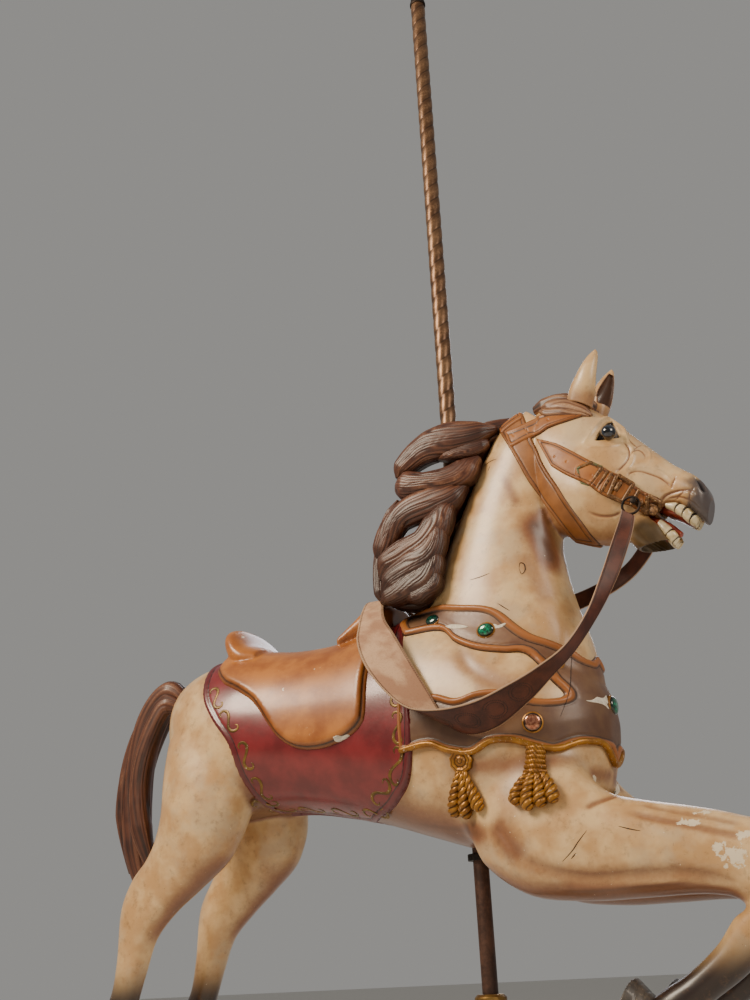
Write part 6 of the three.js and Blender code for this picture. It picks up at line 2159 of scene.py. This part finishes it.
BROWN_GILT, GREEN_GILT = tarnished("browned_gilt", 0.0), tarnished("greened_gilt", 0.9)
BUCKLES = {
    "bar one": ([(603, 467.5), (590, 486.5)], 5.4, 5.4), "keeper": ([(608, 471), (596, 490)], 3.4, 5.6),
    "keeper two": ([(612, 473), (601, 493)], 4.2, 6.0),
    "frame": ([(617, 475.5), (633, 485), (622, 502), (608.5, 495.5), (617, 475.5)], 4.8, 6.4),
    "tongue": ([(621, 482), (614.5, 492)], 6.6, 4.6), "bar two": ([(640, 489), (630, 506)], 4.6, 5.4),
    "frame three": ([(648, 495), (660, 501.5), (657, 510), (645, 512), (648, 495)], 4.8, 6.0),
    "strap end": ([(649, 503.5), (661, 507)], 4.6, 6.0),
}
PATCH_EDGE = (MOTIF["pentagon"], 3.2, 4.6)
COIN_LIFT = 3.2


def drawn_ridge(pixels, radius, lift, tree):
    """A low tube along a line that was drawn over the photograph, just above a form."""
    gaps = len(pixels) - 1
    line = spot_on(np.array(pixels, float), np.linspace(0, 1, 6 * gaps + 1))
    spots = [lifted(tree, *place, lift) for place in line]
    return rope(spots, (radius, radius), sides=16, rings=16 * len(pixels), squash=0.8)


def coin(px, py, radius, high, tree):
    """A low round boss on a form, where a pixel of the photograph meets it."""
    return dome(lifted(tree, px, py, COIN_LIFT), seen(tree, px, py)[1], radius, radius, high)


buckles = [drawn_ridge(*b, head_tree) for b in BUCKLES.values()]
patch = [drawn_ridge(*PATCH_EDGE, head_tree)]
buckles += [coin(647, 509, 14, 6.5, head_tree), coin(640.5, 503, 7, 7.5, head_tree)]
for word, side in SIDES[::-1]:
    grouped(f"moulded_buckles_{word}", "lobe", on_side(buckles, side), BROWN_GILT, "gold_paint")
    grouped(f"moulded_patch_{word}", "lobe", on_side(patch, side), GREEN_GILT, "gold_paint")

# %% [markdown]
# ## The rein
# One long leather strap, 4 mm thick, runs from ring to ring over the saddle's front. It is tooled
# on its outer face, which shows in front, and plain suede on the inner face, which shows behind.
# Its places, turns and widths are those of the CAD solid. The mesh knows how far along and across
# the strap each point lies, so the shader can draw the creased edges in the right place.

# %% Rein
REIN_THICK, BESIDE_RING = 4, 83.1
REIN_RIGHT = [
    ((436, -BESIDE_RING, 1260), (0.78, 0, -0.62), 34),
    ((428, -BESIDE_RING - 3, 1232), (0.8, 0.1, -0.5), 35), ((415, -98, 1192), (0.8, 0.35, -0.35), 36),
    ((387, -117, 1118), (0.72, 0.62, -0.05), 38), ((354, -143, 1043), (0.42, 0.86, 0.16), 42),
    ((308, -174, 970), (0.18, 0.97, 0), 47), ((257, -200, 922), (0.22, 0.93, -0.22), 53),
    ((207, -213, 887), (0.32, 0.84, -0.42), 64), ((134, -220, 852), (0.35, 0.76, -0.55), 80),
    ((62, -222, 845), (0.42, 0.76, -0.5), 92), ((2, -222, 868), (0.56, 0.76, -0.28), 98),
    ((-45, -220, 926), (0.72, 0.68, -0.05), 100), ((-90, -212, 995), (0.78, 0.6, 0.12), 98),
    ((-124, -194, 1056), (0.78, 0.58, 0.2), 86), ((-152, -158, 1106), (0.72, 0.62, 0.28), 64),
    ((-172, -112, 1154), (0.86, 0.42, 0.24), 52), ((-188, -58, 1187), (0.98, 0.12, 0.02), 48),
]
REIN_TOP = [((-192, 0, 1190.3), (1, 0, 0), 46)]
REIN_LEFT = [
    ((-188, 58, 1187), (0.98, -0.12, 0.02), 46), ((-160, 106, 1158), (0.78, -0.46, 0.42), 46),
    ((-104, 132, 1142), (0.35, -0.35, 0.87), 46), ((-20, 142, 1138), (0.1, -0.2, 0.97), 44),
    ((80, 144, 1140), (0, -0.15, 0.98), 42), ((180, 138, 1148), (-0.1, -0.1, 0.98), 40),
    ((280, 124, 1164), (-0.2, 0, 0.98), 38), ((360, 108, 1190), (-0.38, 0, 0.92), 36),
    ((412, BESIDE_RING + 8, 1226), (-0.62, 0, 0.78), 35), ((436, BESIDE_RING, 1260), (-0.78, 0, 0.62), 34),
]


print("rein stations", len(REIN_RIGHT + REIN_TOP + REIN_LEFT))

# %% The strap's form
class Strap:
    """A flat strap along stations of place, direction across and width, in millimetres."""

    def __init__(self, stations, steps):
        halves = [unit(np.array(across)) * width / 2 for _, across, width in stations]
        rows = smooth_rows([[*at, *half] for (at, _, _), half in zip(stations, halves)], steps)
        self.middle, half = rows[:, :3], rows[:, 3:]
        self.width = 2 * np.linalg.norm(half, axis=1)
        self.across = unit(half)
        self.ways = np.gradient(self.middle, axis=0)
        steps_long = np.linalg.norm(self.ways, axis=1)
        self.ways /= steps_long[:, None]
        self.along = np.cumsum(steps_long) - steps_long[0]
        self.face = unit(np.cross(self.ways, self.across))

    def form(self, thick, columns=17, bevel=0.8):
        share = np.linspace(-1, 1, columns)
        inset = np.append(np.append(bevel, np.zeros(columns - 2)), bevel)
        section = [(s, i, 1) for s, i in zip(share, inset)]
        section += [(s, i, -1) for s, i in zip(share[::-1], inset)]
        rows, layout = [], []
        for s, cut, up in section:
            out = s * self.width / 2
            rows.append(self.middle + self.across * out[:, None] + self.face * up * (thick / 2 - cut))
            on_face = np.full(len(out), up * (abs(s) < 1))
            layout.append(np.column_stack([self.along, self.width / 2 - np.abs(out), on_face]))
        ends = [[0, 10, 0], [self.along[-1], 10, 0]]
        layout = np.vstack([np.stack(layout, 1).reshape(-1, 3), ends])
        return *skinned(np.stack(rows, 1), self.middle[[0, -1]]), layout


print("strap form ready")

# %% Rein leather
def rein_leather():
    add, done = new_finish("rein_leather")
    layout = add(stored("layout"), out="Vector")
    edge, up = add(SPLIT, layout, out="Y"), add(SPLIT, layout, out="Z")
    grain = blotches(add, 3.2, 5, 0.65)
    cloud = blotches(add, 40, 4)
    smooth = add(MIX, add(RISE, cloud, 0.35, 0.68), "#3b160b", "#582a1a")
    smooth = add(MIX, add(TIMES, add(RISE, grain, 0.55, 0.7), 0.35), smooth, "#7a4227")
    suede = add(MIX, add(RISE, blotches(add, 90, 4, 0.6), 0.4, 0.62), "#a67c60", "#cba684")
    suede = add(MIX, add(TIMES, add(RISE, grain, 0.5, 0.72), 0.4), suede, "#85603f")
    colour = add(MIX, add(RISE, up, -0.1, 0.1), suede, smooth)
    cut = add(LESS, 1.0, add(RISE, add(SIZE_OF, up), 0.2, 0.7))
    colour = add(MIX, cut, colour, "#a98a6e")
    crease = hump_of(add, edge, 5.2, 0.9)
    colour = add(MIX, add(TIMES, crease, 0.8), colour, "#22100b")
    gloss = add(TIMES_PLUS, add(RISE, up, -0.1, 0.1), -0.4, 0.82)
    relief = add(BUMP, Height=grain, Distance=0.35 * MM, Strength=0.6)
    return done(Base_Color=colour, Roughness=add(TIMES_PLUS, grain, 0.15, gloss),
                Normal=add(BUMP, Height=add(TIMES, crease, -1.0), Distance=0.6 * MM, Strength=0.8,
                           Normal=relief))


def hump_of(add, value, middle, wide):
    """1 where a value is at its middle, falling to 0 at `wide` away."""
    away = add(SIZE_OF, add(LESS, value, middle))
    return add(LESS, 1.0, add(RISE, away, 0.2 * wide, wide))


LEATHER = rein_leather()
rein = Strap(REIN_RIGHT + REIN_TOP + REIN_LEFT, 640)
relief_piece("reins", [rein.form(REIN_THICK)], LEATHER, "rein_leather", "reins")

# %% [markdown]
# ## Stitches and tooling
# Small things that repeat are placed by Geometry Nodes. Each place is a point that knows which way
# the strap runs there and which way it faces, and the nodes set one small shape on every point.

# %% A node group that sets a shape on points
def repeat_group():
    group = bpy.data.node_groups.new("set_on_points", "GeometryNodeTree")
    for name, way, kind in (("Points", "INPUT", "Geometry"), ("Shape", "INPUT", "Object"),
                            ("Finish", "INPUT", "Material"), ("Geometry", "OUTPUT", "Geometry")):
        group.interface.new_socket(name, in_out=way, socket_type="NodeSocket" + kind)
    nodes, links = group.nodes, group.links
    start, end = nodes.new("NodeGroupInput"), nodes.new("NodeGroupOutput")
    shape = nodes.new("GeometryNodeObjectInfo")
    set_on = nodes.new("GeometryNodeInstanceOnPoints")
    real, finish = nodes.new("GeometryNodeRealizeInstances"), nodes.new("GeometryNodeSetMaterial")
    turn = None
    for name, axis, pivot in (("way", "X", "AUTO"), ("up", "Z", "X")):
        direction = nodes.new("GeometryNodeInputNamedAttribute")
        direction.data_type = "FLOAT_VECTOR"
        direction.inputs["Name"].default_value = name
        align = nodes.new("FunctionNodeAlignRotationToVector")
        align.axis, align.pivot_axis = axis, pivot
        links.new(direction.outputs[0], align.inputs["Vector"])
        if turn is not None:
            links.new(turn, align.inputs["Rotation"])
        turn = align.outputs[0]
    links.new(turn, set_on.inputs["Rotation"])
    for source, output, target, entry in (
        (start, "Points", set_on, "Points"), (start, "Shape", shape, "Object"),
        (shape, "Geometry", set_on, "Instance"), (set_on, "Instances", real, "Geometry"),
        (real, "Geometry", finish, "Geometry"), (start, "Finish", finish, "Material"),
        (finish, "Geometry", end, "Geometry"),
    ):
        links.new(source.outputs[output], target.inputs[entry])
    return group


REPEAT = repeat_group()


def repeated(name, shape, groups, material):
    """One piece of many copies of a small shape, from groups of spots, ways and ups."""
    spots, ways, ups = (np.vstack(rows) for rows in zip(*groups))
    mesh = bpy.data.meshes.new(name + "_points")
    mesh.from_pydata(spots.tolist(), [], [])
    store(mesh, "way", ways)
    store(mesh, "up", ups)
    holder = bpy.data.objects.new(name + "_points", mesh)
    bpy.context.scene.collection.objects.link(holder)
    modifier = holder.modifiers.new("set on points", "NODES")
    modifier.node_group = REPEAT
    sockets = {item.name: item.identifier for item in REPEAT.interface.items_tree if item.in_out == "INPUT"}
    modifier[sockets["Shape"]] = shape
    modifier[sockets["Finish"]] = material
    made = bpy.data.objects.new(name, plain(holder))
    bpy.context.scene.collection.objects.link(made)
    bpy.data.objects.remove(shape)
    return hand_over(made, material, "rein_leather", HORSE)


# %% Stitches along the rein's edges, and tooled rings of dots
STITCH_STEP, STITCH_INSET, STITCH_END = 5.2, 3.2, 12
TOOLING_FROM, TOOLING_TO, TOOLING_STEP = 470, 860, 62
DOT_STEP, HORSESHOE_OPENING = 3.6, 0.5
DOT_RINGS = [(23, 9), (17.5, 14)]
DOT = [(1.15, -0.3), (1.15, 0.12), (0.5, 0.02)]
THREAD = mottled("linen_thread", 4, "#2c1a12", "#5d4332", 0.75)
TOOLED = mottled("burnished_tooling", 6, "#0f0604", "#24110a", 0.4)


def strap_places(strap, along, aside, up):
    """Points, ways and normals along a strap, from what `aside` gives for half the width there."""

    def at(values):
        return np.column_stack([np.interp(along, strap.along, values[:, k]) for k in range(3)])

    half = np.interp(along, strap.along, strap.width) / 2
    face = at(strap.face) * up
    spots = at(strap.middle) + at(strap.across) * aside(half)[:, None] + face * (REIN_THICK / 2 + 0.1)
    return spots * MM, at(strap.ways), face


def rein_stitches():
    along = np.arange(STITCH_END, rein.along[-1] - STITCH_END, STITCH_STEP)
    groups = [strap_places(rein, along, lambda half, side=side: side * (half - STITCH_INSET), up)
              for side in (1, -1) for up in (1, -1)]
    stitch, _ = rope([(-1.9, 0, -0.1), (0, 0, 0.12), (1.9, 0, -0.1)], (0.4, 0.55, 0.4), sides=6, rings=5,
                     face=(0, 0, 1))
    repeated("rein_stitches", make_piece("stitch", *stitch), groups, THREAD)


def tooling():
    """Rings and horseshoes of punched dots on the widest part of the rein's outer face."""
    groups = []
    for i, at in enumerate(np.arange(TOOLING_FROM, TOOLING_TO, TOOLING_STEP)):
        half = np.interp(at, rein.along, rein.width) / 2
        opening = HORSESHOE_OPENING * (i % 2)
        for widest, inset in DOT_RINGS:
            radius = min(widest, half - inset)
            angles = np.arange(opening, 2 * np.pi - opening, DOT_STEP / radius)
            along = at + radius * np.cos(angles)
            groups.append(strap_places(rein, along, lambda _, out=radius * np.sin(angles): out, 1))
    turn = full_turn(8)[0]
    rows = np.array([[[r * math.cos(t), r * math.sin(t), z] for t in turn] for r, z in DOT])
    dot = skinned(rows, [[0, 0, -0.3], [0, 0, -0.05]])
    repeated("rein_tooling", make_piece("dot", *dot), groups, TOOLED)


rein_stitches()
tooling()

# %% Bit and rings
BIT_AT, BIT_RADIUS, BIT_REACH = (482, 1263), 6, 53
RING_AT, RING_Y, RING_RADIUS, RING_WIRE = (442, 1277), 78, 19, 2.8
STUD_AT, STUD_FROM, STUD_REACH = (450, 1285), 52, 84
stud_line = [(AXIS, STUD_FROM), (4.5, STUD_FROM), (4.5, STUD_REACH - 1), (6.8, STUD_REACH - 0.4),
             (7.5, STUD_REACH + 0.4), (7.3, STUD_REACH + 1.8), (5, STUD_REACH + 2.7),
             (AXIS, STUD_REACH + 2.9)]


def turned_across(profile, at, side=1, sides=40):
    """A turned part whose axis runs across the horse, from a profile of radius and y."""
    points, walls, caps = turned(profile, sides)
    moved = np.column_stack([points[:, 0] + at[0] * MM, side * points[:, 2], points[:, 1] + at[1] * MM])
    return outward(moved, walls, caps)


bar_half = [(BIT_RADIUS, 0), (BIT_RADIUS, BIT_REACH - 1), (9, BIT_REACH - 0.5), (10, BIT_REACH + 1),
            (10, BIT_REACH + 3.4), (8.6, BIT_REACH + 4.5), (4, BIT_REACH + 5), (AXIS, BIT_REACH + 5)]
bar_line = [(r, -y) for r, y in bar_half[::-1]] + bar_half[1:]
single("bit_bar", turned_across(bar_line, BIT_AT), BROWN_GILT, "iron")
for word, side in SIDES:
    middle = (RING_AT[0], side * RING_Y, RING_AT[1])
    single(f"bit_ring_{word}", ring_of(middle, RING_RADIUS, RING_WIRE, sides=20), IRON, "iron")
    stud = make_piece(f"ring_stud_{word}", *turned_across(stud_line, STUD_AT, side))
    hand_over(stud, IRON, "iron", HORSE)

# %% [markdown]
# ## Cracks, scratches and chips
# The shell has split in a few places, and plaster shows where paint has gone. Each crack is a
# hair-thin dark ridge of old filler that follows a drawn line, and each chip is a thin flake that
# lies on the paint. They belong to the right side only, since they are the marks of one real horse.

# %% Cracks and chips
CRACKS = {
    "collar long": ([(572, 652), (571, 668), (570, 687), (566, 702), (560, 717)], "collar"),
    "foreleg one": ([(587, 830), (578, 842), (572, 851), (562, 862)], "body"),
    "foreleg two": ([(618, 826), (630, 829), (641, 831)], "body"),
    "foreleg three": ([(576, 853), (571, 859)], "body"),
    "neck ring": ([(519, 568), (520, 563), (524, 564), (525, 570), (521.5, 574), (519, 568)], "body"),
    "neck scratch": ([(484, 466), (491, 461), (497, 459)], "body"),
    "neck scratch two": ([(488, 471), (490, 466)], "body"),
    "neck low": ([(470, 580), (480, 577), (490, 573)], "body"),
    "shoulder": ([(497, 603), (510, 611)], "body"),
}
CHIPS = {
    "collar rear": ([(445, 626), (452, 624.5), (462, 625), (468, 627), (460, 628.5), (450, 628.5)],
                    "collar"),
    "collar middle": ([(489, 626), (494, 624), (499, 625.5), (504, 623), (506, 624), (501, 627.5),
                       (492, 628.5)], "collar"),
    "collar star": ([(597, 697), (603, 698), (606, 695.5), (608, 700), (612, 702), (607, 704), (609, 709),
                     (604, 705), (598, 703), (591, 702), (586, 700.5), (592, 700)], "collar"),
    "saddle flap": ([(333, 737), (337, 735.5), (342, 736), (347, 734.5), (350, 736), (347, 739), (343, 740),
                     (340, 742), (335, 741)], "flap"),
    "chest": ([(615, 789), (618, 784), (619.5, 790), (617, 795), (614, 793)], "body"),
}
FLAKE = [(1.0, -1.5), (1.0, 0.5), (0.8, 0.5), (0.5, 0.5), (0.2, 0.5)]
CRACK_LIFT, CRACK_GIRTH = 0.15, (0.3, 0.9, 1.1, 0.8, 0.3)
FILLER = metal("dark_crack_filler", "#241510", "#3d2619", 0.0, 0.7, 8)
PLASTER = metal("bare_plaster", "#cdc3b0", "#e6ddcb", 0.0, 0.8, 8)


def flake(pixels, tree):
    """A thin closed flake whose outline was drawn over the photograph."""
    outline = smooth_rows([*pixels, pixels[0]], 10 * len(pixels))[:-1]
    middle = outline.mean(0)
    rows = np.array([[lifted(tree, *(middle + (p - middle) * share), lift) for p in outline]
                     for share, lift in FLAKE])
    return skinned(rows, rows[[0, -1]].mean(1)), np.ones(rows.shape[0] * rows.shape[1] + 2)


def hairline(pixels, tree):
    """A crack: a very thin ridge with pointed ends, half sunk in the paint."""
    line = smooth_rows(pixels, 10 * len(pixels))
    places = [place for place in line if seen(tree, *place)[0] is not None]
    spots = [lifted(tree, *place, CRACK_LIFT) for place in places]
    face = np.array(seen(tree, *places[0])[1])
    return rope(spots, CRACK_GIRTH, sides=8, rings=8 * len(pixels), squash=0.5, face=face)


trees = {"collar": collar_tree, "body": body_tree, "flap": saddle.tree()}
grouped("cracks", "lobe", [hairline(pixels, trees[where]) for pixels, where in CRACKS.values()], FILLER,
        "collar_paint")
grouped("plaster_chips", "lobe", [flake(pixels, trees[where]) for pixels, where in CHIPS.values()], PLASTER,
        "collar_paint")

# %% [markdown]
# ## Parting the skins
# The head's fine skin and the body's coarser one meet out of sight under the throat strap, and the
# body is parted once more under the blanket, because a single piece would hold too many triangles.
# Each part runs on a little past the cut and dives under the other, so no seam shows. The open end
# is then closed inside with a fan.

# %% Part head, forehand and quarters
HEAD_JOINT = np.array([(1150, 1000), (1199, 1000), (1200, 348), (1241, 325), (1338, 273), (1475, 222),
                       (1560, 190), (1700, 170)])
BARREL_JOINT = -200
OVERLAP = 14


def ahead_of_joint(form):
    """How far ahead of the joint each point lies, in millimetres."""
    return form.points[:, 0] / MM - np.interp(form.points[:, 2] / MM, *HEAD_JOINT.T)


def half(form, beyond):
    """A copy of a form that ends a little past where `beyond` is 0, sunk where it overlaps."""
    part = copy.copy(form)
    part.points, part.paint = form.points.copy(), dict(form.paint)
    part.push(-1.6 * soft_step(0, OVERLAP, beyond))
    part.keep(beyond < OVERLAP)
    return part


head.push(-2.5 * soft_step(0, 6, -ahead_of_joint(head)))
head.keep((ahead_of_joint(head) > -8) & (head.points[:, 2] > 1.0))
body.keep(ahead_of_joint(body) < 6)
along_body = body.points[:, 0] / MM - BARREL_JOINT
forehand, quarters = half(body, -along_body), half(body, along_body)
head.close()
forehand.close(lambda points: (points[:, 0] < -0.1).astype(int))
quarters.close()
head.piece("horse_head", PEARL, "horse_lacquer", "skull", "lower_jaw")
forehand.piece("horse_forehand", PEARL, "horse_lacquer", "neck", "foreleg_left", "foreleg_right")
quarters.piece("horse_quarters", PEARL, "horse_lacquer", "torso", "hindleg_left", "hindleg_right")

# %% Size and finish
low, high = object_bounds()
sizes = {"cad": [list(cad_low), list(cad_high)], "scene": [list(low), list(high)]}
